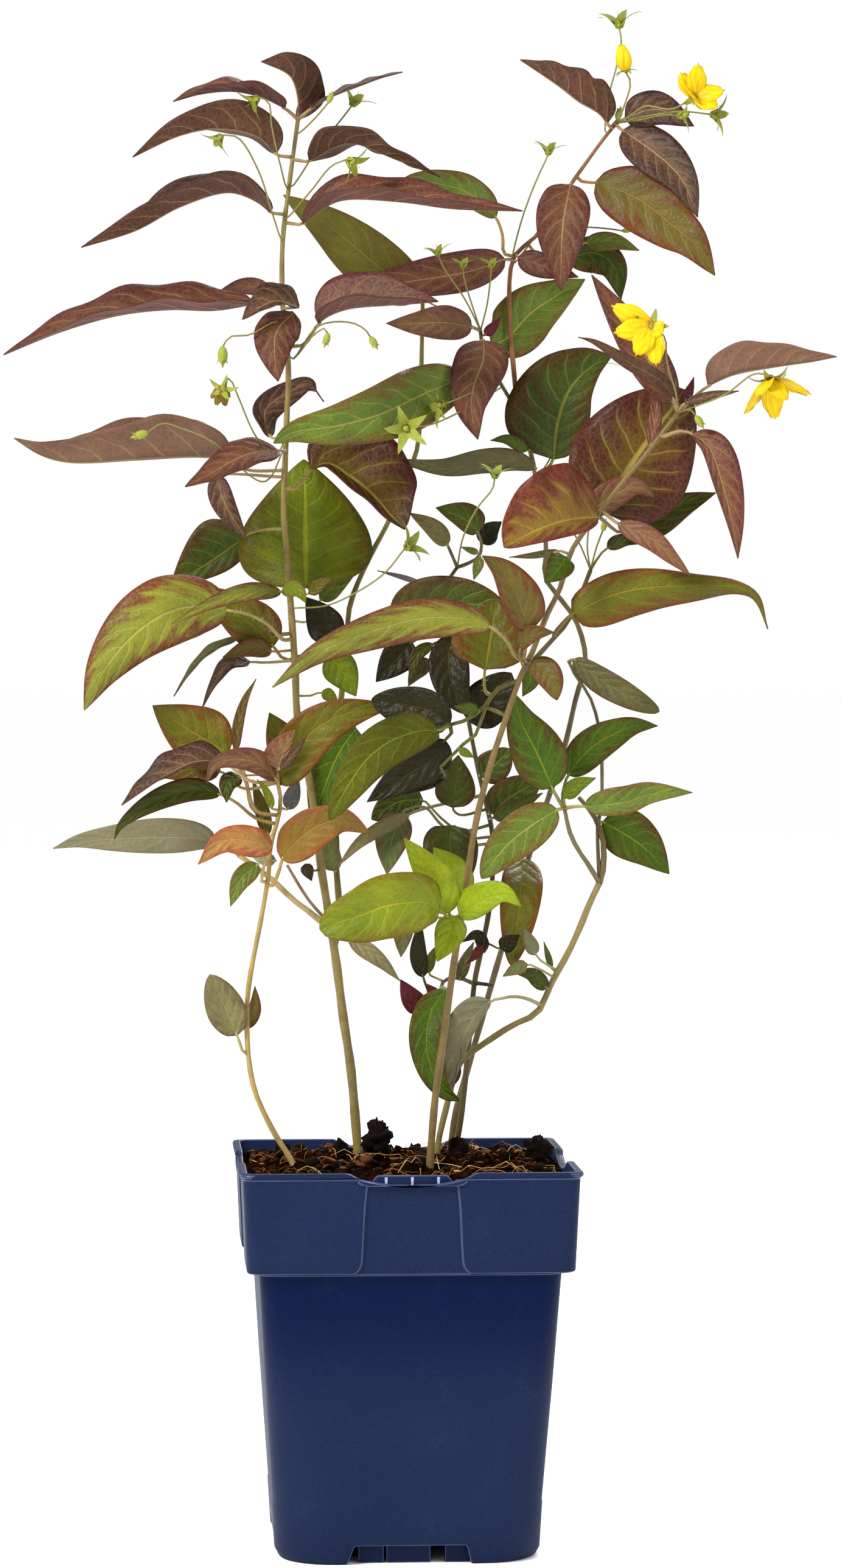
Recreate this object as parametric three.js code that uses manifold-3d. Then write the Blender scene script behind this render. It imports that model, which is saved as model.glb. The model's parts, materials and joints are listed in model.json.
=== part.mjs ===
// A purple-leaved fringed loosestrife, about 0.5 m of leafy stems, growing in a square
// dark blue nursery pot of 15 cm. Millimetres, +Z up, origin at the middle of the pot's underside.
import * as THREE from 'three';
import { mergeVertices } from 'three/addons/utils/BufferGeometryUtils.js';
import Module from 'manifold-3d';

const wasm = await Module();
wasm.setup();

// Driving dimensions of the pot.
const RIM = 150;
const POT_HEIGHT = 173;
const SKIRT_HEIGHT = 44;
const SKIRT_LOW = 143.7;
const BODY_TOP = 133;
const BODY_LOW = 117;
const WALL = 1.6;
const SKIRT_WALL = 2.3;
const FLOOR_Z = 9;
const FLOOR_THICK = 1.6;
const DIP_DEPTH = 8;
const DIP_WIDTH = 56;
const PANEL_TOP = 40;
const PANEL_LOW = 49;
const PANEL_DEPTH = 0.9;
const NOTCH_WIDTH = 52;
const NOTCH_HEIGHT = 8.5;
// Gap kept between pieces that touch, and the thickness of a leaf.
const GAP = 0.32;
const BLADE = 0.7;
const PETAL = 0.72;
const STALK = 1.5;
const SMALL_LEAF = 32;
const LEAST_FOLD = 12;
// The plant is laid out as seen from the front: u to the right, v up, w away, in mm on the
// plane through the pot's axis. The eye stands EYE_OUT away, EYE_UP high and EYE_TURN round, and
// the pot's base is BASE_UP high.
const EYE_OUT = 2080;
const EYE_UP = 400;
const BASE_UP = 4;
const EYE_TURN = 3.4;
// Every w in the tables is a rank in depth, stretched by this to give the plant its fullness.
const DEPTH = 1.7;
const SEED = 53;

// Each stem: name, the stem it springs from, radius at its foot, its path, radius at its top.
const STEMS = [
  ["s2", "", 2.3, [[-18.9, 166, 8], [-20.2, 179.5, 8], [-23.3, 215.6, 7], [-26.9, 240, 7],
    [-30, 264.4, 6], [-34.9, 295, 5], [-36.7, 306, 5], [-41, 340, 4], [-47.4, 374.4, 3],
    [-48.4, 396, 2], [-50.5, 425.8, 2], [-52.3, 450, 1], [-53.5, 466.5, 1], [-52.3, 505, 0],
    [-51.5, 533.5, 0], [-54, 560, 0], [-54.1, 586.6, 0], [-51.3, 612, 0], [-47.1, 643, 0]], 0.95],
  ["s3", "s2", 1.5, [[-33, 279, 5], [-40, 285, 4], [-50.1, 292.6, 2], [-57.5, 299.9, 0],
    [-66, 306.5, -2], [-73.7, 312, -4]], 1.2],
  ["s3b", "s2", 0.8, [[-34, 283, 5], [-41.7, 291, 3], [-47, 299, 2], [-52, 307.5, 1]], 0.7],
  ["sb", "s2", 1.6, [[-30.5, 270, 6], [-28.5, 285, 13], [-29.5, 301, 17], [-31.1, 322, 20],
    [-30.5, 350, 23], [-28, 380, 25], [-25, 405, 26], [-24, 423.3, 27], [-16.2, 443.4, 29],
    [-6.6, 461.7, 31], [0, 478, 33], [6.5, 495, 35], [8, 520, 37], [9, 560, 38]], 1],
  ["s1", "", 1.4, [[-45.5, 165, -6], [-50.1, 174.6, -6], [-58.7, 188.6, -7], [-66.1, 204.5, -8],
    [-68.5, 214.3, -8], [-69.9, 227.7, -9], [-69.7, 249.8, -9], [-64.8, 277.8, -10],
    [-62.7, 288.8, -11], [-60.3, 304, -12], [-59.3, 317, -12], [-56.5, 327, -12], [-54.8, 336, -12],
    [-56.3, 345, -13], [-56.6, 350.5, -13]], 0.9],
  ["s4", "", 1.8, [[11.8, 166, -18], [12.8, 181.3, -18], [14.7, 203.3, -19], [18.9, 233.9, -21],
    [23.2, 264.4, -24], [28.1, 295, -27], [32.9, 326.5, -30], [39.4, 352.3, -32], [45.8, 371.7, -34],
    [49.7, 383.3, -35], [53.6, 393.7, -36], [57.5, 401.4, -36], [65.2, 420.8, -38], [70.4, 431.1, -39],
    [75.5, 447.9, -40], [79.4, 454.4, -41], [88.7, 466.8, -42], [100, 481, -43], [111.2, 494.5, -44],
    [123.9, 511.2, -45]], 1],
  ["s4b", "s4", 1.3, [[53.6, 393.7, -36], [65.2, 406.6, -32], [74.2, 417, -30], [82, 433.8, -28],
    [84.5, 440.2, -27]], 1],
  ["s4c", "s4", 1.2, [[52, 390.5, -35.5], [42.4, 386.6, -31], [36.2, 378, -27], [28.3, 372.7, -26],
    [21.3, 370.6, -26]], 0.9],
  ["s4d", "s4", 0.9, [[36.2, 378, -27], [34.6, 368.2, -26], [28.4, 363, -25], [24.9, 359.5, -24],
    [17.1, 351.7, -22]], 0.7],
  ["s5", "", 1.6, [[20, 168, 24], [23.8, 196, 23], [29, 215, 23], [35.4, 237.5, 24], [41.6, 259.5, 25],
    [50, 288, 26], [57.4, 313.3, 27], [72.3, 358.8, 28], [78.1, 383.3, 28], [82.3, 399, 28],
    [78.1, 417, 29], [68, 431, 30], [63.9, 437, 30], [64.6, 450.5, 31], [61, 470, 32], [57.8, 493, 33],
    [49.1, 515.6, 34], [43.9, 524.3, 34], [36, 540, 34], [35, 548, 34]], 0.9],
  ["sk", "s5", 1.3, [[52, 508, 34], [50, 530, 36], [48, 555, 38], [50.2, 581.5, 40], [59.3, 589.7, 40],
    [68, 602, 40], [75.8, 614, 40], [84, 625.5, 40], [91.5, 635.7, 40], [96.3, 641.3, 40]], 0.8],
  ["s6", "", 1.5, [[14, 167, 8], [16.5, 185.5, 7], [19.5, 198, 6], [21.5, 206, 5], [25.3, 218.4, 3],
    [30.2, 222.7, 2], [39.2, 229, 0], [49.7, 235.6, -3], [59.5, 240.2, -5], [61.9, 243, -6],
    [65.1, 250, -6], [67.9, 256.3, -7], [74.2, 267.5, -8], [80, 280, -9], [84, 290, -10],
    [88.5, 299.5, -11]], 1.5],
  ["s6b", "s6", 1.5, [[88.5, 299.5, -11], [90.3, 307, -9], [90.2, 318, -7], [87.5, 327, -4],
    [84, 332.5, -2], [79.4, 337.9, 0]], 1.1],
  ["s6c", "s6", 1.2, [[88.5, 299.5, -11], [84, 307, -13], [78, 316, -15], [74.9, 323, -16],
    [73.8, 327.7, -17], [72.8, 333, -17]], 0.9],
  ["s7", "s6", 0.9, [[87.8, 326.4, -4], [89.4, 333, -1], [89.7, 342, 1], [88.7, 367.4, 2],
    [84.3, 383, 2], [80.5, 389, 2], [77.3, 393.5, 2], [74.5, 399.5, 2]], 0.7],
  ["s8", "", 1.5, [[22, 167, 15], [27, 200, 13], [30, 230, 13], [32.5, 256, 14], [36, 272, 15],
    [39, 288, 15], [40.5, 305, 15], [40, 324, 15], [37, 337, 15], [34, 350, 15], [31, 365, 14],
    [27, 385, 13], [20, 405, 12], [14, 424, 12], [24.5, 441.5, 12]], 0.8],
  ["s8b", "s8", 0.9, [[24.5, 441.5, 12], [29.3, 443.2, 11], [34.5, 446.7, 10], [35.4, 452.8, 9],
    [34, 457, 8]], 0.7],
  ["s8c", "s8", 0.8, [[24.5, 441.5, 12], [20.2, 451.5, 11]], 0.7],
  ["s8t", "s8", 1, [[32.3, 254, 14], [26, 256.5, 9], [19, 256, 5], [17, 252, 4], [16.8, 246, 4]], 0.8],
  ["s8u", "s8", 1, [[32.3, 254.5, 14], [40.5, 253.5, 10]], 0.8],
];

// Each leaf: stem, lie, stalk points, midrib points, widths of its two halves, the tilt of each
// half at base and tip in degrees, its tint, and for some the two numbers of its outline.
// Lie "t": both halves rise from the midrib, the first half being the one towards the eye.
// Lie "f": the blade faces the eye, the first half to the left of the way it grows, and "b"
// is the same seen from below.
const LEAVES = [
  ["s2", "t", [], [[-47.1, 642.6, 0], [-47.6, 654, -3], [-51, 662.6, -6], [-63.7, 669, -10]], [15, 9],
    [75, 70], [50, 50], "plum"],
  ["s2", "f", [], [[-47, 643, 2], [-45, 650, 9], [-42, 657, 13]], [2, 2], [0, 0], [0, 0], "crimson"],
  ["s2", "t", [], [[-53, 648, -1], [-64, 653, -4], [-76, 655.5, -7], [-90, 654.5, -10],
    [-103.3, 651, -13]], [11, 11], [20, 20], [45, 40], "wine"],
  ["s2", "t", [], [[-41, 648, -1], [-31, 653.5, -4], [-22, 657, -6], [-10, 661.5, -8],
    [0, 664.3, -10]], [11, 11], [-10, -10], [25, 25], "plum"],
  ["s2", "t", [], [[-57, 627, -2], [-65, 634.8, -5], [-84, 638.5, -10], [-100, 635.7, -14],
    [-121.5, 626, -18]], [14, 14], [70, 60], [5, 5], "plum"],
  ["s2", "t", [], [[-42, 624, -2], [-30, 630.5, -4], [-22, 632, -6], [-4, 625.3, -9], [17, 617, -12]],
    [13, 13], [40, 30], [0, 0], "plum"],
  ["s2", "t", [], [[-59.5, 601, -2], [-66, 606, -4], [-78, 610, -7], [-100, 603.6, -12],
    [-120, 593, -16], [-144.7, 585.3, -20]], [16, 16], [10, 75], [50, 30], "plum"],
  ["s2", "t", [], [[-45, 595.7, -2], [-34.5, 603.6, -3], [-26, 606.7, -5], [0, 605.7, -8],
    [22, 602.8, -11], [54, 601.7, -14]], [13, 14], [20, 20], [60, 60], "wine"],
  ["s2", "t", [], [[-66, 560, -4], [-84, 557, -6], [-105, 557.3, -10], [-128, 554.7, -14],
    [-154, 547.3, -18], [-179.6, 537, -22]], [15, 16], [15, 15], [55, 55], "wine"],
  ["s2", "t", [], [[-46.5, 558.6, -6], [-58, 561, -10], [-72.2, 553, -13]], [5, 10], [-20, -20],
    [70, 60], "plum"],
  ["s2", "f", [], [[-60, 567, 3], [-72, 568, 6], [-82.7, 565.6, 9]], [4, 4], [0, 0], [0, 0], "olive"],
  ["s2", "f", [], [[-49, 556, -5], [-57, 547, -9], [-57.8, 538, -11], [-56.1, 525.1, -12]], [10, 10],
    [-10, -10], [-10, -10], "wine"],
  ["s2", "t", [[-44.2, 541.7, -2]], [[-38, 551.2, -3], [-32.8, 554.7, -4], [-24, 557.7, -5],
    [-6.7, 559.3, -8], [4, 560, -10], [16, 561, -12]], [14, 18], [18, 18], [72, 72], "wine"],
  ["s2", "t", [[-70.9, 485.6, -6]], [[-77, 490, -8], [-93.6, 491, -12], [-119.7, 489.7, -18],
    [-150, 488.6, -23], [-163, 492, -26], [-174.9, 499.5, -28]], [20, 20], [70, 62], [75, 70], "plum"],
  ["s2", "t", [], [[-56, 494, -12], [-67, 493, -17], [-76, 489.5, -20], [-86.5, 483.4, -23],
    [-97.9, 477.7, -26]], [9, 10], [-30, -30], [45, 45], "wine"],
  ["s2", "f", [], [[-60.4, 500, 6], [-62, 512, 9], [-50, 521, 9], [-42, 524, 8], [-35.5, 516, 7]],
    [6, 7], [0, 0], [0, 0], "plum"],
  ["s2", "t", [[-47.6, 477, -3]], [[-41.6, 485.6, -2], [-34, 488, -1], [-24, 482, -1], [-14, 474, -3],
    [-6, 465, -5], [1, 458.5, -7]], [8, 25], [-20, -20], [75, 75], "wineveined", [0.9, 0.7]],
  ["s2", "f", [], [[-84, 483, -10], [-80, 470, -13], [-70, 453.4, -12]], [5, 6], [10, 10],
    [10, 10], "plum"],
  ["s2", "f", [], [[-43.6, 432, 8], [-44, 450, 11], [-44, 470, 12], [-44.5, 490, 12]], [31, 31],
    [-10, -10], [-10, -10], "green"],
  ["s2", "f", [[-64, 458, 12]], [[-70, 456, 14], [-82, 447, 16], [-104.3, 433, 16]], [8, 17], [0, 0],
    [0, 0], "dark"],
  ["s2", "f", [[-54, 409, -3], [-61, 416, -8], [-70, 420.5, -12]], [[-78, 422, -15], [-92, 424, -18],
    [-106, 421, -21], [-120, 412, -23], [-134, 396, -24], [-143.3, 377.3, -24]], [15, 17], [-15, -15],
    [-10, -10], "limered"],
  ["s2", "f", [], [[-55, 430.5, -10], [-70, 430.5, -20], [-85, 426, -26], [-104, 416, -28]], [4.5, 4],
    [0, 0], [0, 0], "limered"],
  ["s2", "f", [], [[-54, 431.5, -8], [-47, 431, -11], [-43.5, 425.5, -12]], [4, 4], [0, 0],
    [0, 0], "lime"],
  ["s2", "f", [], [[-42, 429.4, -4], [-37, 434, -5], [-31.8, 436.6, -6]], [3, 3], [0, 0],
    [0, 0], "dark"],
  ["s2", "f", [[-53.3, 400, 4]], [[-58.2, 406, 2], [-65, 413, 0], [-73, 419, -2], [-90, 433, -3]],
    [10, 12], [0, 0], [0, 0], "olive"],
  ["s2", "f", [], [[-59, 403.5, 0], [-68, 405, -3], [-81, 401, -5]], [4, 5], [0, 0], [0, 0], "bronze"],
  ["s2", "t", [], [[-74, 410, 2], [-86, 405, 0], [-94, 397, -2], [-103, 383.4, -4]], [2.5, 2.5],
    [-50, 10], [50, 20], "slate"],
  ["s2", "t", [[-62.6, 398.6, 0]], [[-68.7, 399, -2], [-78, 398, -4], [-83.5, 391.2, -4],
    [-90.2, 378.1, -3]], [5, 5], [-40, 0], [50, 30], "plum"],
  ["s2", "f", [], [[-57.5, 411, -4], [-60, 418, -5], [-61.5, 425, -5]], [3, 3], [0, 0],
    [0, 0], "bronze"],
  ["s2", "f", [[-42, 418, 13]], [[-37.2, 426.8, 13], [-30, 434, 12], [-20.6, 439.9, 11]], [3.5, 5],
    [0, 0], [0, 0], "green"],
  ["s2", "f", [[-42, 402, 4]], [[-30, 408.5, 6], [-36, 418, 7], [-43.5, 428, 6]], [9, 8], [0, 0],
    [0, 0], "dark"],
  ["s2", "f", [[-44, 398, 6]], [[-33, 402, 8], [-27, 394, 8], [-21, 383.5, 7]], [8, 8], [0, 0],
    [0, 0], "fresh"],
  ["s2", "f", [], [[-46, 354, 9], [-54, 364, 12], [-60, 376, 12]], [9, 9], [0, 0], [0, 0], "dark"],
  ["s2", "f", [[-40, 384, 6]], [[-36, 386, 6], [-29, 381, 6]], [3, 3], [0, 0], [0, 0], "fresh"],
  ["s2", "f", [[-28, 277, 0]], [[-24, 275, -4], [-10, 265, -7], [-1.3, 255.5, -8]], [3.5, 4.5], [0, 0],
    [0, 0], "slate"],
  ["s2", "f", [[-40, 305, 3]], [[-44, 308, 0], [-41, 300.5, -1]], [3, 3], [0, 0], [0, 0], "dead"],
  ["s3", "b", [[-77, 314.5, -5]], [[-84, 317, -6], [-91.4, 319.4, -7], [-106.3, 319.8, -8],
    [-129.8, 319, -10], [-146, 318, -12], [-157.3, 315, -13]], [7, 9], [0, 0], [0, 0], "greyleaf"],
  ["s3", "f", [], [[-65, 308, -3], [-73, 301, -5], [-77.5, 289, -6]], [5, 4.5], [0, 0],
    [0, 0], "green"],
  ["sb", "f", [[-27, 372, 20]], [[-21, 369, 12], [-29.3, 357, 8], [-37.2, 337, 6], [-41, 326, 5]],
    [10, 12], [0, 0], [0, 0], "fresh"],
  ["sb", "f", [], [[8, 563, 38], [-10, 576, 34], [-33, 595, 30], [-53.7, 609, 26]], [14, 13], [0, 0],
    [0, 0], "paleolive"],
  ["sb", "f", [], [[-31, 305, 14], [-32.5, 313, 12], [-29, 322, 11]], [5, 5], [0, 0], [0, 0], "green"],
  ["s1", "f", [[-63.4, 300, -13], [-61.5, 310, -15]], [[-58.7, 315, -16], [-66, 317.5, -19],
    [-80, 318.5, -22], [-92.1, 307.9, -24]], [7, 7], [0, 0], [0, 0], "orange"],
  ["s1", "b", [], [[-57, 309.5, -11], [-63, 310.5, -11], [-69, 313.5, -10]], [3, 3], [0, 0],
    [0, 0], "pale"],
  ["s1", "f", [[-59, 298, -13], [-54.8, 307.6, -15]], [[-54.7, 310.4, -16], [-46.8, 319.1, -19],
    [-38.1, 325.2, -21], [-27, 328, -23], [-14.7, 321.9, -25]], [9.5, 10], [0, 0], [0, 0], "gold"],
  ["s1", "f", [], [[-56.5, 350.5, -16], [-53, 360, -19], [-48.3, 368.6, -21]], [8, 3.5], [0, 0],
    [0, 0], "rose"],
  ["s1", "f", [], [[-55, 351, -19], [-49, 358, -22], [-43, 366, -23]], [1.5, 2.5], [0, 0],
    [0, 0], "plum"],
  ["s1", "f", [], [[-57, 346, -14], [-66, 353.5, -19], [-78, 355, -23], [-85, 352, -25],
    [-88.3, 344.6, -26]], [5, 6], [0, 0], [0, 0], "rose"],
  ["s1", "f", [[-66, 332, -14], [-71, 348, -15]], [[-75.2, 358.5, -14], [-74.3, 370, -13],
    [-71, 382, -12], [-66, 391.2, -11]], [2.4, 2.6], [0, 0], [0, 0], "bronze"],
  ["s1", "f", [[-67, 332, -11], [-71, 346, -11]], [[-78.5, 357.5, -10], [-90, 364.5, -9],
    [-102, 372, -10], [-112.5, 379.2, -12]], [13, 14], [0, 0], [0, 0], "olive"],
  ["s1", "f", [[-72, 342, -7]], [[-82, 350, -5], [-98, 350.5, -5], [-114.5, 348, -6]], [6, 8], [0, 0],
    [0, 0], "bronze"],
  ["s1", "t", [[-68, 345, -16]], [[-79, 353, -17], [-92, 354, -19], [-105, 348.5, -21],
    [-126.5, 334.4, -24]], [6, 11], [-20, 20], [55, 50], "plum"],
  ["s1", "f", [[-66.1, 328.6, -12], [-74.9, 335.6, -14]], [[-82, 339.5, -15], [-95, 341, -17],
    [-108, 337.5, -19], [-120, 331, -21], [-127, 325, -22], [-129.8, 319.2, -22]], [5, 6], [0, 0],
    [0, 0], "olive"],
  ["s1", "f", [], [[-73.5, 347.5, -15], [-79, 344.5, -18], [-79.3, 335.7, -19]], [5, 4], [0, 0],
    [0, 0], "dark"],
  ["s1", "f", [], [[-60.5, 321, -9], [-63, 333, -8], [-67.5, 346, -8]], [4, 3], [0, 0],
    [0, 0], "olive"],
  ["s1", "f", [], [[-59, 333, -14], [-62, 341, -15], [-65.5, 346, -16]], [1.5, 2.5], [0, 0],
    [0, 0], "lime"],
  ["s1", "f", [[-54, 333, -11]], [[-51.5, 332.5, -9], [-49, 340, -8], [-47, 347.5, -8]], [4, 3.5],
    [0, 0], [0, 0], "silver"],
  ["s1", "f", [], [[-56.2, 344, -12], [-53.8, 348.3, -13], [-47.6, 359.7, -15], [-39.8, 368.4, -17],
    [-29.3, 374.5, -18], [-17.1, 377.6, -18], [-4.5, 378.8, -17]], [10.5, 11.5], [0, 0],
    [0, 0], "olive"],
  ["s1", "f", [[-71, 222, -9]], [[-74.5, 231, -11], [-80, 243, -13], [-86.8, 258.3, -14]], [8.5, 9],
    [0, 0], [0, 0], "dusk", [0.8, 0.6]],
  ["s1", "f", [], [[-70.5, 234, -5], [-66.8, 243, -4], [-66.5, 253, -4]], [3, 3.5], [0, 0],
    [0, 0], "bronze"],
  ["s4", "f", [[50.5, 401.5, -40], [47.4, 407.6, -43], [43, 412, -46]], [[40, 414.5, -47],
    [30, 418, -49], [13.4, 419, -50], [0.3, 417, -51], [-20.6, 410.5, -52], [-31, 406.5, -53],
    [-41.5, 401, -53], [-58.6, 387.5, -54]], [9.5, 8.5], [-15, -15], [-10, -10], "limered"],
  ["s4c", "f", [[37, 386, -25]], [[36.9, 395.4, -22], [39, 408, -18], [42, 427, -14]], [17, 17],
    [0, 0], [0, 0], "dark"],
  ["s4", "f", [[54.5, 400, -40]], [[56.8, 413.6, -44], [50.3, 430.1, -47], [44, 440, -48],
    [35.8, 446.7, -49]], [7.5, 11], [0, 0], [0, 0], "bronze"],
  ["s4", "f", [[53.5, 398, -39]], [[52.5, 405.8, -42], [58, 411, -45], [68, 412.3, -47]], [5, 3.5],
    [0, 0], [0, 0], "bronze"],
  ["s4", "f", [], [[58.5, 399.5, -39], [66, 392, -42], [69.5, 381.7, -43]], [6.5, 6], [0, 0],
    [0, 0], "bronze", [0.75, 0.7]],
  ["s4b", "f", [[68, 411.5, -34]], [[76, 420.5, -36], [86.5, 425.5, -38], [98, 430, -39],
    [112, 432.5, -40], [130, 433, -41], [150, 432.8, -42], [159, 428.5, -42], [164.3, 413.7, -42]],
    [10, 12], [0, -60], [0, -60], "olive", [0.45, 1]],
  ["s4", "f", [], [[98, 457, -30], [112, 462, -27], [126, 469.5, -26], [140.9, 475, -26]], [8, 8],
    [0, 0], [0, 0], "green"],
  ["s4b", "f", [[88, 446, -27]], [[92, 450.5, -27], [100, 453.5, -28], [107.4, 452.1, -28]], [3.5, 3],
    [0, 0], [0, 0], "dark"],
  ["s4", "f", [], [[73.5, 446, -44], [69.5, 440, -47], [64, 434.5, -48]], [6, 7], [0, 0],
    [0, 0], "green"],
  ["s4", "f", [], [[70, 449, -37], [60, 447, -36], [48, 446, -35]], [1.6, 1.6], [0, 0],
    [0, 0], "slate"],
  ["s4", "b", [], [[122, 517, -46], [117, 524.6, -49], [110.5, 528.8, -51], [100, 534.5, -53],
    [86, 543, -56], [79, 545, -57]], [3.5, 3.5], [0, 0], [0, 0], "plum"],
  ["s4", "f", [], [[122, 515, -42], [110, 535, -38], [97, 555, -36], [85, 573, -35]], [9, 9], [0, 0],
    [0, 0], "wine"],
  ["s4", "t", [[130, 517, -46]], [[137.3, 523, -48], [149, 528, -51], [166, 531.3, -54],
    [184, 534, -57], [195.2, 536.2, -59]], [13.5, 10], [72, 60], [60, 60], "plum"],
  ["s4", "f", [], [[127, 515.5, -49], [139, 519, -52], [151.2, 520.8, -54]], [2, 2.5], [0, 0],
    [0, 0], "plum"],
  ["s4", "f", [], [[125, 513, -43], [129, 521, -42], [131, 527, -42]], [2.5, 2.5], [0, 0],
    [0, 0], "crimson"],
  ["s4", "f", [[117, 500, -46], [124, 502.8, -48]], [[130.6, 501.6, -50], [138, 495, -53],
    [144, 478, -55], [148, 462, -55], [150.8, 445.5, -54]], [9.5, 4], [0, 0], [0, 0], "wine"],
  ["s4", "t", [], [[111.5, 496, -43], [114, 512, -40], [112, 527, -39]], [3, 3], [0, 0],
    [0, 0], "wine"],
  ["s4", "f", [], [[89, 467, -37], [100, 484, -34], [114, 504, -32], [128, 521, -31]], [27, 27],
    [-6, -6], [-6, -6], "wineveined", [0.7, 0.6]],
  ["s4", "f", [], [[84, 466, -38.5], [95, 474, -38], [105, 477.5, -38], [113.5, 473, -38]], [7, 6],
    [0, 0], [0, 0], "rose"],
  ["s4", "f", [], [[88, 464, -45], [72, 462, -52], [58, 457, -56], [45.5, 450.5, -58]], [7, 25],
    [0, 0], [0, 0], "winelime", [0.75, 0.6]],
  ["s4", "f", [], [[97, 461, -48], [112, 454, -51], [121, 446, -52], [129.6, 437.7, -53]], [5, 5],
    [0, 0], [0, 0], "rose"],
  ["s4", "f", [[22, 284, -28]], [[20.8, 286.2, -31], [17.3, 295.5, -34], [12.9, 303.4, -36],
    [0.7, 319.6, -39]], [8.5, 8.5], [0, 0], [0, 0], "lime"],
  ["s4", "f", [[26, 287, -24]], [[25, 292, -21], [22, 304, -18], [13.8, 315.4, -17]], [8, 9], [0, 0],
    [0, 0], "fresh"],
  ["s4", "f", [], [[25.5, 284.8, -32], [35, 291, -36], [45, 294.5, -39], [53.2, 289, -41]], [8.5, 6],
    [0, 0], [0, 0], "lime"],
  ["s4", "f", [], [[24, 284.5, -31], [20, 274, -34], [15.5, 264.1, -36]], [7, 7], [0, 0],
    [0, 0], "lime"],
  ["s4", "f", [[22, 283, -30]], [[16.5, 287.5, -37], [10, 290.5, -40], [0.3, 290.5, -43],
    [-10, 288.5, -44], [-18.9, 285, -45], [-28.5, 282, -45], [-37.3, 278.5, -44]], [14.5, 14], [0, 0],
    [0, 0], "limeolive", [0.8, 0.5]],
  ["s4", "f", [[15, 284, -22]], [[1, 284, -22], [0, 276, -22], [-0.8, 266.2, -22]], [4.5, 4.5], [0, 0],
    [0, 0], "slate"],
  ["s4", "f", [], [[56.5, 398, -32], [57.5, 391, -30], [54, 383.5, -29]], [4.5, 4.5], [0, 0],
    [0, 0], "green"],
  ["s4c", "b", [], [[16, 368, -30], [6, 367.5, -35], [-7.5, 362, -39], [-17, 354, -41],
    [-24, 344, -43], [-33, 328, -43]], [10.5, 10], [0, 0], [0, 0], "slategreen", [0.75, 0.6]],
  ["s4c", "f", [], [[21.3, 370.6, -27], [12, 377, -24], [0, 380, -22], [-14, 382, -20]], [12, 9],
    [0, 0], [0, 0], "dark", [0.75, 0.6]],
  ["s4c", "f", [[22, 367, -25]], [[19, 364, -22], [14, 356, -20], [2, 348, -19], [-16, 336, -18]],
    [9, 10], [0, 0], [0, 0], "blackolive"],
  ["s4d", "f", [], [[19, 347, -20], [6, 343.5, -17], [-9, 338.5, -16]], [3.5, 4], [0, 0],
    [0, 0], "blackolive"],
  ["s4c", "f", [], [[34, 377, -30], [23.4, 378.9, -33]], [3, 3], [0, 0], [0, 0], "fresh"],
  ["s4d", "f", [], [[25.5, 359.5, -27], [32, 356, -28]], [2, 2], [0, 0], [0, 0], "fresh"],
  ["s6c", "f", [], [[69.6, 332.5, -18], [57.5, 325, -19], [48, 317.5, -20], [41, 309.5, -20],
    [35.5, 301.5, -19]], [10, 10], [0, 0], [0, 0], "green", [0.75, 0.65]],
  ["s6c", "f", [[70, 337, -19]], [[67.3, 342.2, -20], [60, 358.6, -22], [53, 372.6, -23],
    [50, 385, -24]], [11.5, 12.5], [0, 0], [0, 0], "green"],
  ["s6c", "f", [[72, 338, -15], [73, 344, -13]], [[74.3, 348, -12], [84, 359.5, -13], [94, 366, -14],
    [104, 370, -15], [114.7, 370.2, -16]], [8.5, 8], [0, 0], [0, 0], "green"],
  ["s6c", "f", [], [[72.8, 338, -20], [78, 343.5, -22], [86.8, 346.7, -23]], [3.5, 4], [0, 0],
    [0, 0], "fresh"],
  ["s6c", "f", [[78, 334, -20]], [[82, 333.8, -22], [92.6, 334.8, -24], [101, 336, -25],
    [111, 339.3, -26], [130.3, 340.2, -28]], [7.5, 5.5], [0, 0], [0, 0], "green"],
  ["s6b", "f", [], [[90, 327, -4], [99.4, 321.7, -5], [109, 315, -6], [119.9, 303.6, -7]], [12, 10.5],
    [0, 0], [0, 0], "dark"],
  ["s7", "f", [], [[77, 400, 1], [88, 391.5, -2], [100, 384.5, -4], [115.5, 376.5, -6]], [6, 6.5],
    [0, 0], [0, 0], "slate", [0.85, 0.5]],
  ["s6", "b", [[55.7, 247.5, -9], [49.6, 248.4, -10], [44.4, 247.5, -10]], [[39.5, 246.5, -9],
    [33, 240, -8], [27.5, 230, -7], [24, 217, -6], [21.3, 205, -5]], [3.5, 10], [0, 0],
    [0, 0], "greyleaf"],
  ["s6", "f", [], [[65, 252, -8], [58, 258.5, -9], [50.4, 259, -9]], [4, 3.5], [0, 0], [0, 0], "dark"],
  ["s6", "f", [[63.6, 263.5, -9]], [[59.5, 267, -9], [57, 273, -9], [54.5, 279.3, -9]], [3, 3.5],
    [0, 0], [0, 0], "slategreen"],
  ["s6", "f", [[61, 261, -12]], [[56, 263, -15], [51, 261, -16], [45.1, 257.5, -16]], [3, 3], [0, 0],
    [0, 0], "slategreen"],
  ["s6", "f", [], [[67, 261, -6], [65, 268, -5], [63.5, 273, -5]], [1.5, 1.5], [0, 0],
    [0, 0], "slategreen"],
  ["s6", "f", [], [[25, 218, 0], [24.5, 212, -1], [22.5, 208, -1]], [1.5, 2], [0, 0], [0, 0], "dead"],
  ["s5", "f", [], [[54, 310, 22], [53, 295, 10], [51, 278, 7], [49, 262, 6]], [10, 9.5], [0, 0],
    [0, 0], "brownolive", [0.75, 0.6]],
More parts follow.
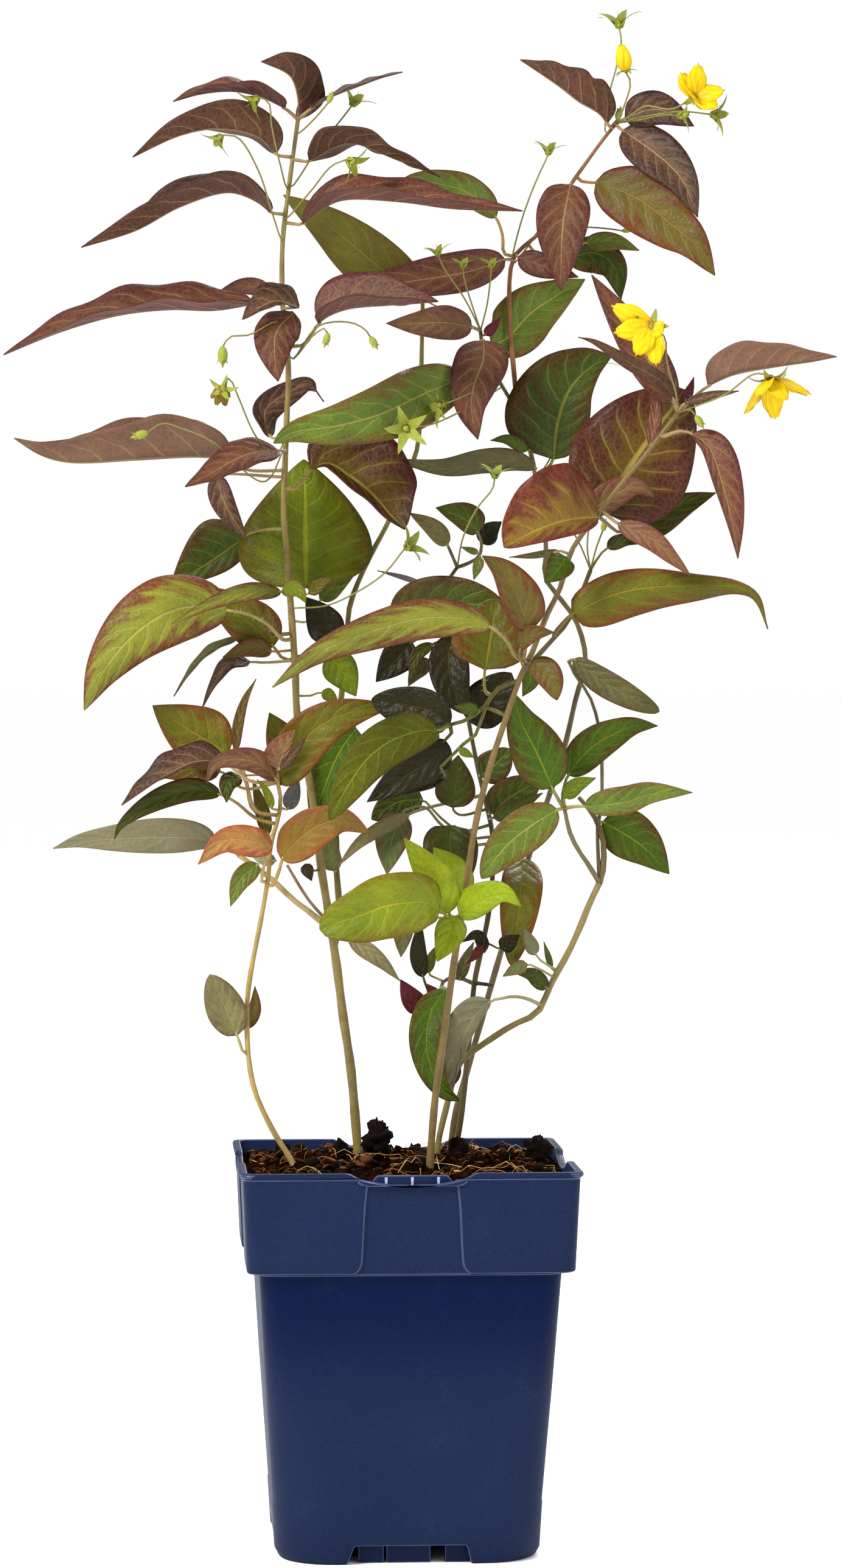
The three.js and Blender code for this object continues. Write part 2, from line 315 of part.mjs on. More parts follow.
  ["s5", "f", [], [[31, 549.5, 30], [19.4, 551.5, 24], [6.4, 551.2, 18], [-7.3, 551.2, 13]], [8, 8],
    [0, 0], [0, 0], "rose"],
  ["s5", "f", [], [[36.4, 543.4, 28], [36, 533.8, 21], [32.5, 524.3, 17], [30.7, 513.8, 14],
    [33.8, 499, 12]], [12, 13], [0, 0], [0, 0], "wine"],
  ["s5", "f", [], [[37, 546, 33], [41, 550, 31], [44, 554, 30]], [2.5, 2.5], [0, 0],
    [0, 0], "crimson"],
  ["s5", "f", [], [[40, 541, 37], [47.4, 545, 39], [58, 556, 42], [70, 564, 44], [82, 571, 45]],
    [14, 13], [0, 0], [0, 0], "green"],
  ["s5", "f", [[36, 531, 31]], [[28, 527, 26], [10.7, 520, 12], [-11, 510, -9], [-30, 505, -18],
    [-50, 502, -22], [-58.1, 497.3, -24]], [14, 14], [0, 0], [0, 0], "green", [0.75, 0.65]],
  ["s5", "f", [], [[60, 486, 31], [50, 489, 29], [36, 488.5, 23], [18, 486, 16], [-5, 490, 10]],
    [5, 6.5], [0, 0], [0, 0], "dark"],
  ["s5", "f", [[60, 480, 33]], [[68, 490, 34], [70, 506, 35], [75, 521, 35], [84, 531, 35],
    [94, 536.5, 35]], [26, 14], [0, 0], [0, 0], "dark"],
  ["s5", "f", [], [[56, 494, 30], [47, 499, 28], [39.5, 498.6, 27]], [3, 3], [0, 0], [0, 0], "green"],
  ["sk", "f", [[45.4, 583, 36], [45, 590.6, 33]], [[42, 599, 30], [35, 606, 27], [27, 611, 25],
    [18, 613.6, 24], [9, 615, 22], [2, 614, 21], [-2.9, 606.7, 20]], [6, 8], [0, 0], [0, 0], "green"],
  ["sk", "f", [], [[46, 580, 36], [30, 574.5, 30], [10, 571, 26], [-12, 568, 23], [-32, 563.5, 20]],
    [9, 10.5], [0, 0], [0, 0], "wine"],
  ["sk", "f", [], [[52, 581, 36], [63, 577, 33], [79, 572, 31]], [6, 6], [0, 0], [0, 0], "wine"],
  ["sk", "f", [[60, 583, 44]], [[74, 580, 46], [86, 583, 47], [95, 577, 47], [98.3, 562, 47]], [8, 10],
    [0, 0], [0, 0], "dark"],
  ["sk", "f", [[66, 587, 42]], [[82, 587.5, 43], [95, 588, 43], [106.5, 584, 43]], [4.5, 4.5], [0, 0],
    [0, 0], "green"],
  ["sk", "t", [], [[92, 641, 38], [88, 645.7, 36], [79, 651, 33], [70, 658, 31], [52.8, 669.8, 28]],
    [14, 8], [72, 72], [60, 60], "wine"],
  ["sk", "f", [], [[100, 643.5, 37], [114, 647.5, 34], [131, 640, 31]], [9, 8], [0, 0],
    [0, 0], "plum"],
  ["sk", "f", [], [[99, 638, 37], [112.3, 628.7, 32], [121, 621.4, 29], [127, 613.6, 26],
    [132.7, 599, 23]], [11, 11], [0, 0], [0, 0], "plum"],
  ["sk", "f", [[82, 614.5, 38]], [[87, 615, 37], [95, 612, 35], [103.6, 608.4, 33], [112.3, 602.7, 31],
    [121, 595.4, 29], [129.7, 588.4, 27], [140.5, 572.8, 25]], [14, 15], [0, 0], [0, 0], "bronze"],
  ["sk", "f", [], [[75.4, 613.6, 36], [73.7, 605.8, 33], [71.9, 594.5, 31], [71, 566, 29]], [12, 13],
    [0, 0], [0, 0], "wine"],
  ["s8b", "f", [], [[34, 457, 8], [28, 463, 6], [15, 468.3, 4]], [5, 8], [0, 0], [0, 0], "dark"],
  ["s8b", "f", [], [[35.5, 452, 12], [39.5, 458, 13], [44.5, 462, 13]], [5, 5], [0, 0],
    [0, 0], "dark"],
  ["s8b", "f", [], [[34, 448, 8], [26.3, 450.6, 6]], [1.6, 1.6], [0, 0], [0, 0], "green"],
  ["s8b", "f", [], [[35, 446, 7], [32, 436, 5]], [2.5, 2.5], [0, 0], [0, 0], "green"],
  ["s8c", "b", [], [[20.2, 451.5, 10], [14, 459, 8], [3, 466, 6]], [4.5, 4.5], [0, 0],
    [0, 0], "slategreen"],
  ["s8", "f", [], [[9, 434, 16], [0, 437, 18], [-11.4, 440, 19]], [1.3, 1.3], [0, 0],
    [0, 0], "silver"],
  ["s8", "f", [], [[10, 433.5, 10], [4, 431, 9], [-1.5, 428, 8]], [4, 4], [0, 0], [0, 0], "silver"],
  ["s8", "f", [], [[-5, 419.5, 8], [10, 423, 4], [28, 425, 0], [47, 423, -2]], [14, 10], [0, 0],
    [0, 0], "dark", [0.75, 0.6]],
  ["s8", "f", [], [[22, 411, 6], [20.5, 398, 2], [23, 386, 0], [29, 375.5, -1]], [9.5, 9], [0, 0],
    [0, 0], "slate", [0.8, 0.6]],
  ["s8", "f", [], [[13.5, 407, 9], [6.5, 402, 7], [3, 389, 6]], [3, 3], [0, 0], [0, 0], "slate"],
  ["s8", "f", [], [[4, 408, 9], [-4, 399, 8], [-12, 390, 8]], [8, 8], [0, 0], [0, 0], "blackolive"],
  ["s8", "f", [], [[12, 400, 10], [6, 394, 10], [2.5, 388, 10]], [4, 4], [0, 0], [0, 0], "pale"],
  ["s8", "f", [], [[30, 372, 9], [40, 383, 6], [49, 394, 4]], [11, 11], [0, 0], [0, 0], "dark",
    [0.75, 0.6]],
  ["s8", "f", [], [[35, 348, 9], [42, 353, 6], [48, 360, 5]], [8, 8], [0, 0], [0, 0], "dusk",
    [0.75, 0.6]],
  ["s8", "f", [], [[40, 331, 10], [48, 338, 7], [62, 346, 5]], [9, 9], [0, 0], [0, 0], "brownolive",
    [0.75, 0.6]],
  ["s8", "f", [], [[41, 328.8, 8], [52, 334, 3], [63, 340, 2]], [3.5, 4], [0, 0], [0, 0], "dark"],
  ["s8", "f", [[39, 272, 11]], [[44, 270, 3], [52.5, 276, 1]], [4, 4], [0, 0], [0, 0], "blackolive"],
  ["s8", "f", [[26, 330, 9]], [[22.3, 333.5, 4], [24, 346, 3], [25, 357, 3]], [9, 9.5], [0, 0],
    [0, 0], "yellowolive"],
  ["s8", "f", [[28, 323, 8]], [[21.9, 325.3, 3], [21, 316, 0], [23, 304, -1], [25, 296, -2]], [13, 12],
    [0, 0], [0, 0], "brownolive", [0.7, 0.5]],
  ["s8", "f", [[30, 317, 13], [17, 326, 10], [9.5, 333.8, 9]], [[-1, 331, 8], [-5, 318, 6],
    [-7.1, 303.4, 5]], [8, 8.5], [0, 0], [0, 0], "slategreen"],
  ["s8", "f", [[30, 320, 17], [18, 328, 15]], [[9, 337, 13], [-2, 336, 11], [-14, 328, 10]], [7, 7],
    [0, 0], [0, 0], "dark", [0.75, 0.6]],
  ["s8", "f", [[10, 333, 9]], [[3, 330.5, 5], [-8, 325, 3], [-19, 318, 1], [-29.3, 306.9, 0]],
    [3.5, 3.5], [0, 0], [0, 0], "dusk"],
  ["s8t", "f", [], [[9.2, 242.3, 1], [4, 248, -1], [-1, 256, -2]], [5.5, 5], [0, 0],
    [0, 0], "crimson"],
  ["s8t", "f", [[13.5, 245.7, 6], [10.8, 252.7, 5]], [[9.1, 257.1, 4], [7, 268, 3], [8, 283, 3]],
    [4, 4], [0, 0], [0, 0], "blackolive"],
  ["s8t", "f", [], [[11, 259, 7], [13, 266, 7], [16, 272, 7]], [2.5, 2.5], [0, 0], [0, 0], "green"],
  ["s8", "f", [], [[37, 268.5, 11], [33, 276, 8], [27, 273, 7]], [3, 3.5], [0, 0],
    [0, 0], "blackolive"],
  ["s8t", "f", [], [[25.5, 256, 8], [28, 264, 6], [32, 273, 6]], [3, 3], [0, 0], [0, 0], "dusk"],
  ["s8", "f", [], [[36, 271, 8], [32, 266, 4], [28.5, 263, 3]], [2, 2.5], [0, 0], [0, 0], "rust"],
  ["s8t", "f", [], [[16.5, 246.5, 3], [14, 250, 2], [11, 254, 2]], [3, 3], [0, 0], [0, 0], "rust"],
  ["s8t", "f", [], [[19.5, 251.5, -4], [13, 242, -9], [10.5, 228, -12], [13.5, 214, -12],
    [19, 205.5, -11], [25.5, 201.6, -10]], [8, 8], [0, 0], [0, 0], "fresh", [0.7, 0.65]],
];

// Each flower stalk: stem, what it bears, its size, the way that it points, its path.
const STALKS = [
  ["s2", "bud", 4.2, [0, -1, 0], [[-57.5, 552, -8], [-69, 546, -11], [-78, 545, -12],
    [-81, 540.5, -12]]],
  ["s2", "open", 6, [0, -1, -0.3], [[-57, 492, -6], [-66.5, 501, -17], [-74, 518, -22],
    [-78, 526.5, -23], [-81, 525, -23.5]]],
  ["s2", "bud", 3.6, [-1, -0.3, 0], [[-62, 480, -6], [-86, 498, -21], [-100, 504, -27],
    [-108, 506.3, -28], [-115, 502, -29]]],
  ["s2", "bud", 3, [-0.3, -1, 0], [[-50, 535, -3], [-40, 546, -8], [-35, 549, -9],
    [-33.5, 546.5, -9]]],
  ["s2", "bud", 3, [0.6, -1, 0], [[-50, 535, -3], [-38, 550, -5], [-24, 551.7, -6], [-17, 548.5, -7],
    [-14.5, 545, -7]]],
  ["s2", "calyx", 8, [-1, -0.8, 0], [[-52, 612, -1], [-55, 622, -5], [-59, 640, -8], [-60.5, 651, -9],
    [-65, 653, -10]]],
  ["s2", "calyx", 7, [-0.8, -1, 0], [[-54, 588, -2], [-58.5, 600, -6], [-65, 620, -16],
    [-74.5, 635, -24], [-81.5, 636, -26]]],
  ["s2", "calyx", 8, [0.5, 1, 0], [[-51, 612, 0], [-38, 630, 4], [-26, 645, 5], [-23, 649, 5]]],
  ["s2", "calyx", 8, [1, -0.7, -0.3], [[-53.5, 598, -1], [-42, 610, -6], [-32, 622, -11],
    [-25, 625, -13]]],
  ["s2", "bud", 2.6, [0.4, 1, 0], [[-48, 637, 0], [-40, 643, -12], [-33.5, 650.5, -16]]],
  ["s2", "calyx", 8, [0.9, 0.5, -0.5], [[-50.2, 420, 1], [-34.6, 424.2, -2], [-22.3, 429.4, -4],
    [-8.2, 438.8, -6], [1, 450, -7]]],
  ["s5", "calyx", 6, [-0.2, 1, 0], [[35, 547, 34], [28, 562, 28], [18, 577, 20], [16, 581.5, 19]]],
  ["s5", "calyx", 6, [0, 1, 0], [[35, 547, 34], [31, 560, 29], [27.5, 572, 23], [27, 576, 22]]],
  ["s5", "calyx", 6, [0, 1, 0], [[35, 547, 34], [38, 560, 31], [39.5, 572, 27], [39.7, 576, 26]]],
  ["s5", "calyx", 6, [-1, -0.2, 0], [[34, 546, 33], [15, 559, 24], [2, 565, 19], [-3.5, 566, 17]]],
  ["s5", "calyx", 8, [-1, -0.4, -0.5], [[43, 525, 33], [33, 521, 18], [23, 516.5, 9], [19, 515, 7]]],
  ["s5", "calyx", 9, [0, -0.2, -1], [[43, 525, 33], [27, 512, 14], [12, 505.5, 0], [1.5, 504.3, -7]]],
  ["s8", "calyx", 7, [0.1, 1, -0.2], [[24.5, 441.5, 12], [27.6, 456.3, 4], [34.1, 468.9, 1],
    [40.5, 477, 0], [41.3, 481.5, 0]]],
  ["s5", "calyx", 7, [0.5, 0.8, 0], [[60, 483, 32], [74, 505, 40], [84, 524, 41], [88, 532, 41]]],
  ["sk", "calyx", 7, [0.1, 1, 0], [[49.5, 578, 40], [53, 596, 36], [59.7, 614.5, 33], [64.5, 625, 32],
    [65.4, 627, 32]]],
  ["sk", "bud", 3, [0.3, 1, 0], [[92, 636, 40], [94.5, 641, 39], [96.5, 643, 39]]],
  ["sk", "calyx", 9, [-0.1, 1, 0], [[91.5, 636, 40], [92.8, 653.5, 37], [96.3, 667, 36],
    [98.4, 678, 35], [97.5, 684, 35]]],
  ["sk", "open", 5, [-0.2, 1, -0.2], [[96, 641, 39], [99, 647.4, 31], [102.5, 659.5, 29],
    [100.6, 664, 28]]],
  ["sk", "open", 7, [0.6, 0.7, -0.4], [[96.3, 641.3, 39], [102.8, 644.8, 30], [108.9, 649, 26],
    [121, 647.6, 22], [129, 650.5, 20]]],
  ["sk", "calyx", 7, [1, 0, 0], [[96.3, 640, 40], [108, 643, 32], [118, 645, 28], [123.5, 644.8, 27]]],
  ["sk", "calyx", 8, [1, -0.1, 0.2], [[96.3, 641, 38], [110, 644.5, 28], [126, 646.5, 23],
    [138.5, 645.2, 21]]],
  ["sk", "bud", 2.6, [1, 0.2, 0], [[62, 592, 42], [80, 594.5, 45], [95, 593.5, 46], [99, 592.8, 46]]],
  ["s4", "open", 7, [-0.7, 0, -1], [[123.9, 511.2, -45], [123, 519.6, -49], [118.9, 533, -52],
    [118, 544.7, -54], [115, 550, -55]]],
  ["s4", "open", 8, [0, -1, -0.3], [[124, 511.5, -45], [132, 514, -50], [145.7, 519.6, -59],
    [158.3, 528.5, -65], [165.5, 531, -67]]],
  ["s4", "bud", 3, [0.5, -0.8, 0], [[124, 511, -45], [130, 512, -53], [132, 509.5, -54]]],
  ["s4b", "bud", 2.6, [-0.3, 1, 0], [[84.5, 440, -27], [80.5, 450, -29], [77.5, 456, -31]]],
  ["s4b", "bud", 2.6, [0.3, 1, 0], [[84.5, 440, -27], [87, 450, -29], [90, 458, -30]]],
  ["s4b", "bud", 2.6, [0, 1, 0], [[84.5, 440, -27], [83, 450, -30], [83.5, 458, -32]]],
];

// Each corolla: name, middle, tips of its five petals, half a petal's width.
const COROLLAS = [
  ["petals_top", [131.5, 653, 17.5], [[125, 664, 17], [133, 668, 14], [144.5, 656, 14],
    [141.5, 648.5, 12], [129, 655, 8]], 4.6],
  ["petals_middle", [112, 550, -58], [[94.5, 559, -60], [95.5, 547, -62], [105, 537, -63],
    [114, 532.5, -61], [116.5, 546, -67]], 4.8],
  ["petals_right", [165.5, 526.5, -68.5], [[154, 511, -64], [167.5, 508.7, -60], [183, 519.6, -64],
    [172, 517, -77], [160, 519, -77]], 4.8],
  ["petals_faded", [-81, 521.5, -25], [[-90, 520, -26], [-86, 514, -29], [-78, 513, -28],
    [-74.5, 519, -25]], 3.2],
];

// Leaf tints, as they look on the whole blade.
const TINTS = {
  wine: 0x7a3d33, plum: 0x5c3a35, crimson: 0x6e2430, rose: 0x87574a, bronze: 0x8a5f3c,
  orange: 0xc06c3a, gold: 0xb88535, rust: 0x8a5a2a, lime: 0x93b032, limered: 0x93a038,
  limeolive: 0x7e8f2e, winelime: 0x8a5a38, wineveined: 0x6f4a30, fresh: 0x5f8a26,
  green: 0x53742a, paleolive: 0x86924a, olive: 0x6a6a2c, yellowolive: 0x7f7a28,
  dark: 0x3a4a22, blackolive: 0x302a1c, brownolive: 0x5a4c2e, dusk: 0x6a6248,
  slate: 0x46504a, slategreen: 0x5a6650, greyleaf: 0x78806a, silver: 0x7c8680,
  pale: 0x9aa078, dead: 0x4a3424,
};

let seedState = SEED;
function draw() {
  seedState = (seedState * 1664525 + 1013904223) % 4294967296;
  return seedState / 4294967296;
}

// Layout point to model point: pushed along the line of sight by w, then turned to the pot.
const TURN = THREE.MathUtils.degToRad(EYE_TURN);
const OUT_X = Math.cos(TURN);
const OUT_Y = Math.sin(TURN);
function place(point) {
  const [u, v] = point;
  const w = point[2] * DEPTH;
  const wide = u * (1 + w / EYE_OUT);
  const high = v - BASE_UP + ((v - EYE_UP) * w) / EYE_OUT;
  return new THREE.Vector3(OUT_X * wide + OUT_Y * w, -OUT_Y * wide + OUT_X * w, high);
}
function heading(direction) {
  const [u, v, w] = direction;
  return new THREE.Vector3(OUT_X * u + OUT_Y * w, -OUT_Y * u + OUT_X * w, v).normalize();
}
const TO_EYE = heading([0, 0, -1]);
const UP = new THREE.Vector3(0, 0, 1);

// A closed body from rings of points. Each quad is split by the rule in "splits". A leaf's stalk
// has rings of three corners, its blade rings of four or six.
function ringBody(rings, splits) {
  const points = rings.flat();
  const faces = [];
  let start = 0;
  for (let i = 0; i + 1 < rings.length; i += 1) {
    const count = rings[i].length;
    const next = start + count;
    if (rings[i + 1].length === count) {
      for (let j = 0; j < count; j += 1) {
        const a = start + j;
        const b = start + ((j + 1) % count);
        const c = b + count;
        const d = a + count;
        if (splits && splits(count, j)) faces.push(a, b, d, b, c, d);
        else faces.push(a, b, c, a, c, d);
      }
    } else {
      // From three corners to four, or to six with the two midrib points between.
      const [near, keel, far] = [start, start + 1, start + 2];
      const wide = rings[i + 1].length === 6;
      const [p, q] = wide ? [next + 1, next + 2] : [next, next + 1];
      const [r, s] = wide ? [next + 4, next + 5] : [next + 2, next + 3];
      faces.push(near, q, p, near, keel, q, keel, far, r, far, s, r);
      if (wide) {
        faces.push(keel, next + 3, q, keel, r, next + 3);
        faces.push(far, next, s, far, near, next, near, p, next);
      } else {
        faces.push(keel, r, q, far, near, s, near, p, s);
      }
    }
    start = next;
  }
  const first = rings[0].length;
  for (let j = 1; j + 1 < first; j += 1) faces.push(0, j + 1, j);
  for (let j = 1; j + 1 < rings[rings.length - 1].length; j += 1) {
    faces.push(start, start + j, start + j + 1);
  }
  return bodyOf(points, faces);
}

// Turns points and faces into a solid, with its faces out.
function bodyOf(points, faces) {
  let volume = 0;
  const cross = new THREE.Vector3();
  for (let i = 0; i < faces.length; i += 3) {
    cross.crossVectors(points[faces[i + 1]], points[faces[i + 2]]);
    volume += points[faces[i]].dot(cross);
  }
  const list = faces.slice();
  if (volume < 0) {
    for (let i = 0; i < list.length; i += 3) [list[i], list[i + 1]] = [list[i + 1], list[i]];
  }
  const vertProperties = new Float32Array(points.length * 3);
  points.forEach((p, i) => vertProperties.set([p.x, p.y, p.z], i * 3));
  const triVerts = Uint32Array.from(list);
  return new wasm.Manifold(new wasm.Mesh({ numProp: 3, vertProperties, triVerts }));
}

function solidFromGeometry(geometry) {
  const plain = geometry.clone();
  plain.deleteAttribute('normal');
  plain.deleteAttribute('uv');
  const merged = mergeVertices(plain, 1e-4);
  const points = [];
  const position = merged.attributes.position;
  for (let i = 0; i < position.count; i += 1) {
    points.push(new THREE.Vector3().fromBufferAttribute(position, i));
  }
  return bodyOf(points, Array.from(merged.index.array));
}

function joined(parts) {
  let level = parts.slice();
  while (level.length > 1) {
    const next = [];
    for (let i = 0; i < level.length; i += 2) {
      next.push(i + 1 < level.length ? level[i].add(level[i + 1]) : level[i]);
    }
    level = next;
  }
  return level[0];
}

// The solid without specks that a cut left loose.
function largest(solid) {
  return solid.decompose().sort((a, b) => b.volume() - a.volume())[0];
}

// A round rod of "sides" faces along points, thinning from the first radius to the last.
function rod(points, first, last, sides) {
  const rings = [];
  const side = new THREE.Vector3();
  const along = new THREE.Vector3();
  points.forEach((p, i) => {
    const before = points[Math.max(0, i - 1)];
    const after = points[Math.min(points.length - 1, i + 1)];
    along.subVectors(after, before).normalize();
    if (i === 0) side.crossVectors(along, Math.abs(along.z) > 0.8 ? TO_EYE : UP);
    side.addScaledVector(along, -side.dot(along)).normalize();
    const other = new THREE.Vector3().crossVectors(along, side);
    const radius = first + ((last - first) * i) / (points.length - 1);
    const ring = [];
    for (let j = 0; j < sides; j += 1) {
      const angle = (2 * Math.PI * (j + 0.5)) / sides;
      ring.push(p.clone().addScaledVector(side, radius * Math.cos(angle))
        .addScaledVector(other, radius * Math.sin(angle)));
    }
    rings.push(ring);
  });
  return ringBody(rings);
}

// Where a stalk leaves its stem: the point of the stem's path nearest to a layout point as seen
// from the front, shifted a little towards the place that the stalk goes to.
function rootOn(stemRow, target) {
  const [, , first, path, last] = stemRow;
  let best = null;
  let bestDistance = Infinity;
  for (let i = 0; i + 1 < path.length; i += 1) {
    const a = path[i];
    const b = path[i + 1];
    const du = b[0] - a[0];
    const dv = b[1] - a[1];
    const t = THREE.MathUtils.clamp(
      ((target[0] - a[0]) * du + (target[1] - a[1]) * dv) / (du * du + dv * dv), 0, 1);
    const spot = [a[0] + du * t, a[1] + dv * t, a[2] + (b[2] - a[2]) * t];
    const distance = Math.hypot(spot[0] - target[0], spot[1] - target[1]);
    if (distance < bestDistance) {
      bestDistance = distance;
      const radius = first + ((last - first) * (i + t)) / (path.length - 1);
      best = { at: place(spot), along: place(b).sub(place(a)).normalize(), radius };
    }
  }
  const out = place(target).sub(best.at);
  out.addScaledVector(best.along, -out.dot(best.along));
  if (out.length() > 0.3) best.at.addScaledVector(out.normalize(), best.radius * 0.6);
  return best.at.addScaledVector(best.along, -1.6 * draw());
}

// A path without the points that lie within "slack" of the straight way past them.
function thinned(path, slack) {
  const kept = [path[0]];
  for (let i = 1; i + 1 < path.length; i += 1) {
    const line = new THREE.Line3(kept[kept.length - 1], path[i + 1]);
    const foot = line.closestPointToPoint(path[i], true, new THREE.Vector3());
    if (foot.distanceTo(path[i]) > slack) kept.push(path[i]);
  }
  kept.push(path[path.length - 1]);
  return kept;
}

// Points spaced evenly along a smooth curve through the given ones.
function spread(points, count) {
  if (points.length === 2 && count === 2) return points;
  return new THREE.CatmullRomCurve3(points, false, 'centripetal').getSpacedPoints(count - 1);
}

// A leaf as one thin body: its stalk, then its blade, whose halves tilt about the midrib. Small
// and flat leaves have a section of four points, folded ones one of six with the midrib's fold.
function leaf(lie, stalk, midrib, halves, firstTilt, secondTilt, outline) {
  const ribs = midrib.map(place);
  const length = new THREE.CatmullRomCurve3(ribs, false, 'centripetal').getLength();
  const folded = Math.max(...firstTilt.concat(secondTilt).map(Math.abs)) > LEAST_FOLD;
  const plain = length < SMALL_LEAF || !folded;
  const stations = length < 15 ? 3 : length < 48 ? 4 : length < 80 ? 5 : length < 105 ? 6 : 7;
  const centre = spread(ribs, stations);
  const chord = centre[stations - 1].clone().sub(centre[0]).normalize();
  const across = new THREE.Vector3();
  const lift = new THREE.Vector3();
  if (lie === 't') {
    across.crossVectors(chord, UP);
    if (across.dot(TO_EYE) < 0) across.negate();
    across.normalize();
  } else {
    across.crossVectors(TO_EYE, chord).normalize();
  }
  lift.crossVectors(across, chord);
  if (lie === 't' ? lift.z < 0 : lift.dot(TO_EYE) < 0) lift.negate();
  const hand = new THREE.Vector3().crossVectors(across, chord).dot(lift) > 0 ? 1 : -1;
  const [bulge, fullness] = outline;
  const frames = centre.map((rib, i) => {
    const along = centre[Math.min(stations - 1, i + 1)].clone()
      .sub(centre[Math.max(0, i - 1)]).normalize();
    const side = across.clone().addScaledVector(along, -across.dot(along)).normalize();
    const rise = new THREE.Vector3().crossVectors(side, along).multiplyScalar(hand).normalize();
    return { rib, along, side, rise };
  });
  const rings = frames.map(({ rib, side, rise }, i) => {
    const t = i / (stations - 1);
    const shape = Math.pow(Math.sin(Math.PI * Math.pow(t, bulge)), fullness) || 0;
    const wave = i === 0 || i === stations - 1 ? 0 : (draw() - 0.5) * 10;
    const one = THREE.MathUtils.degToRad(firstTilt[0] + (firstTilt[1] - firstTilt[0]) * t + wave);
    const two = THREE.MathUtils.degToRad(secondTilt[0] + (secondTilt[1] - secondTilt[0]) * t - wave);
    const first = Math.max(0.6, halves[0] * shape);
    const second = Math.max(0.6, halves[1] * shape);
    const at = (x, y) => rib.clone().addScaledVector(side, x).addScaledVector(rise, y);
    const half = BLADE / 2;
    const edge = (angle, r, off) => at(Math.cos(angle) * r - Math.sin(angle) * off,
      Math.sin(angle) * r + Math.cos(angle) * off);
    const ring = [
      edge(one, first, half),
      edge(one, first, -half),
      edge(Math.PI - two, second, half),
      edge(Math.PI - two, second, -half),
    ];
    if (plain) return ring;
    const middle = Math.PI / 2 + (one - two) / 2;
    const deep = Math.min(1.2, half / Math.max(0.29, Math.cos((one + two) / 2)));
    const top = at(Math.cos(middle) * deep, Math.sin(middle) * deep);
    const low = at(-Math.cos(middle) * deep, -Math.sin(middle) * deep);
    return [top, ring[0], ring[1], low, ring[2], ring[3]];
  });
  // The stalk's rings, carried back from the blade's foot so that they don't twist.
  const stalkRings = [];
  const { side, rise } = frames[0];
  let ahead = frames[0].along;
  for (let i = stalk.length - 1; i >= 0; i -= 1) {
    const after = i + 1 < stalk.length ? stalk[i + 1] : centre[0];
    const before = i > 0 ? stalk[i - 1] : stalk[0];
    const along = after.clone().sub(before).normalize();
    const turn = new THREE.Quaternion().setFromUnitVectors(ahead, along);
    side.applyQuaternion(turn);
    rise.applyQuaternion(turn);
    ahead = along;
    const r = (STALK / 2) * (i === 0 ? 0.7 : 1);
    stalkRings.unshift([[r, 0.6 * r], [0, -1.2 * r], [-r, 0.6 * r]].map(([x, y]) => stalk[i]
      .clone().addScaledVector(side, x).addScaledVector(rise, y)));
  }
  const splits = (count, j) => (count === 4 ? j === 1 : count === 6 && (j === 2 || j === 5));
  return ringBody(stalkRings.concat(rings), splits);
}

// Two directions square to an axis.
function squareTo(axis) {
  const side = new THREE.Vector3().crossVectors(axis, Math.abs(axis.z) > 0.8 ? TO_EYE : UP)
    .normalize();
  return [side, new THREE.Vector3().crossVectors(axis, side)];
}

// A flower's stalk and its star of five narrow sepals as one thin body.
function starOnStalk(line, axis, size, cup) {
  const centre = line[line.length - 1];
  const [side, other] = squareTo(axis);
  const spot = (angle, out, up) => centre.clone().addScaledVector(axis, up)
    .addScaledVector(side, out * Math.cos(angle)).addScaledVector(other, out * Math.sin(angle));
  const points = [spot(0, 0, cup > 0 ? 0.9 : 0.35)];
  for (let k = 0; k < 10; k += 1) {
    const tip = k % 2 === 0;
    const out = tip ? size * 0.8 : size * 0.3;
    const up = tip ? size * cup : size * cup * 0.25;
    points.push(spot((Math.PI * k) / 5, out, up + 0.35), spot((Math.PI * k) / 5, out, up - 0.35));
  }
  const faces = [];
  const foot = points.length;
  for (let k = 0; k < 10; k += 1) {
    const a = 1 + 2 * k;
    const b = 1 + ((2 * k + 2) % 20);
    faces.push(0, a, b);
    if (k % 2) faces.push(a, a + 1, b + 1, a, b + 1, b);
    else faces.push(a, a + 1, b, b, a + 1, b + 1);
    const held = foot + Math.floor(k / 2);
    faces.push(held, b + 1, a + 1);
    if (k % 2) faces.push(held, foot + ((Math.floor(k / 2) + 1) % 5), b + 1);
  }
  let ahead = axis;
  for (let i = line.length - 1; i >= 0; i -= 1) {
    const next = i > 0 ? line[i].clone().sub(line[i - 1]).normalize() : ahead;
    const way = ahead.clone().add(next).normalize();
    const turn = new THREE.Quaternion().setFromUnitVectors(ahead, i === line.length - 1 ? axis : way);
    side.applyQuaternion(turn);
    other.applyQuaternion(turn);
    ahead = i === line.length - 1 ? axis : way;
    const middle = i === line.length - 1 ? spot(0, 0, -0.9) : line[i];
    for (let k = 0; k < 5; k += 1) {
      const angle = (Math.PI * (2 * k + 1)) / 5;
      points.push(middle.clone().addScaledVector(side, 0.58 * Math.cos(angle))
        .addScaledVector(other, 0.58 * Math.sin(angle)));
    }
  }
  const rows = line.length;
  for (let i = 0; i + 1 < rows; i += 1) {
    for (let k = 0; k < 5; k += 1) {
      const a = foot + 5 * i + k;
      const b = foot + 5 * i + ((k + 1) % 5);
      faces.push(a, a + 5, b, b, a + 5, b + 5);
    }
  }
  const end = foot + 5 * (rows - 1);
  for (let k = 1; k < 4; k += 1) faces.push(end, end + k + 1, end + k);
  return bodyOf(points, faces);
}

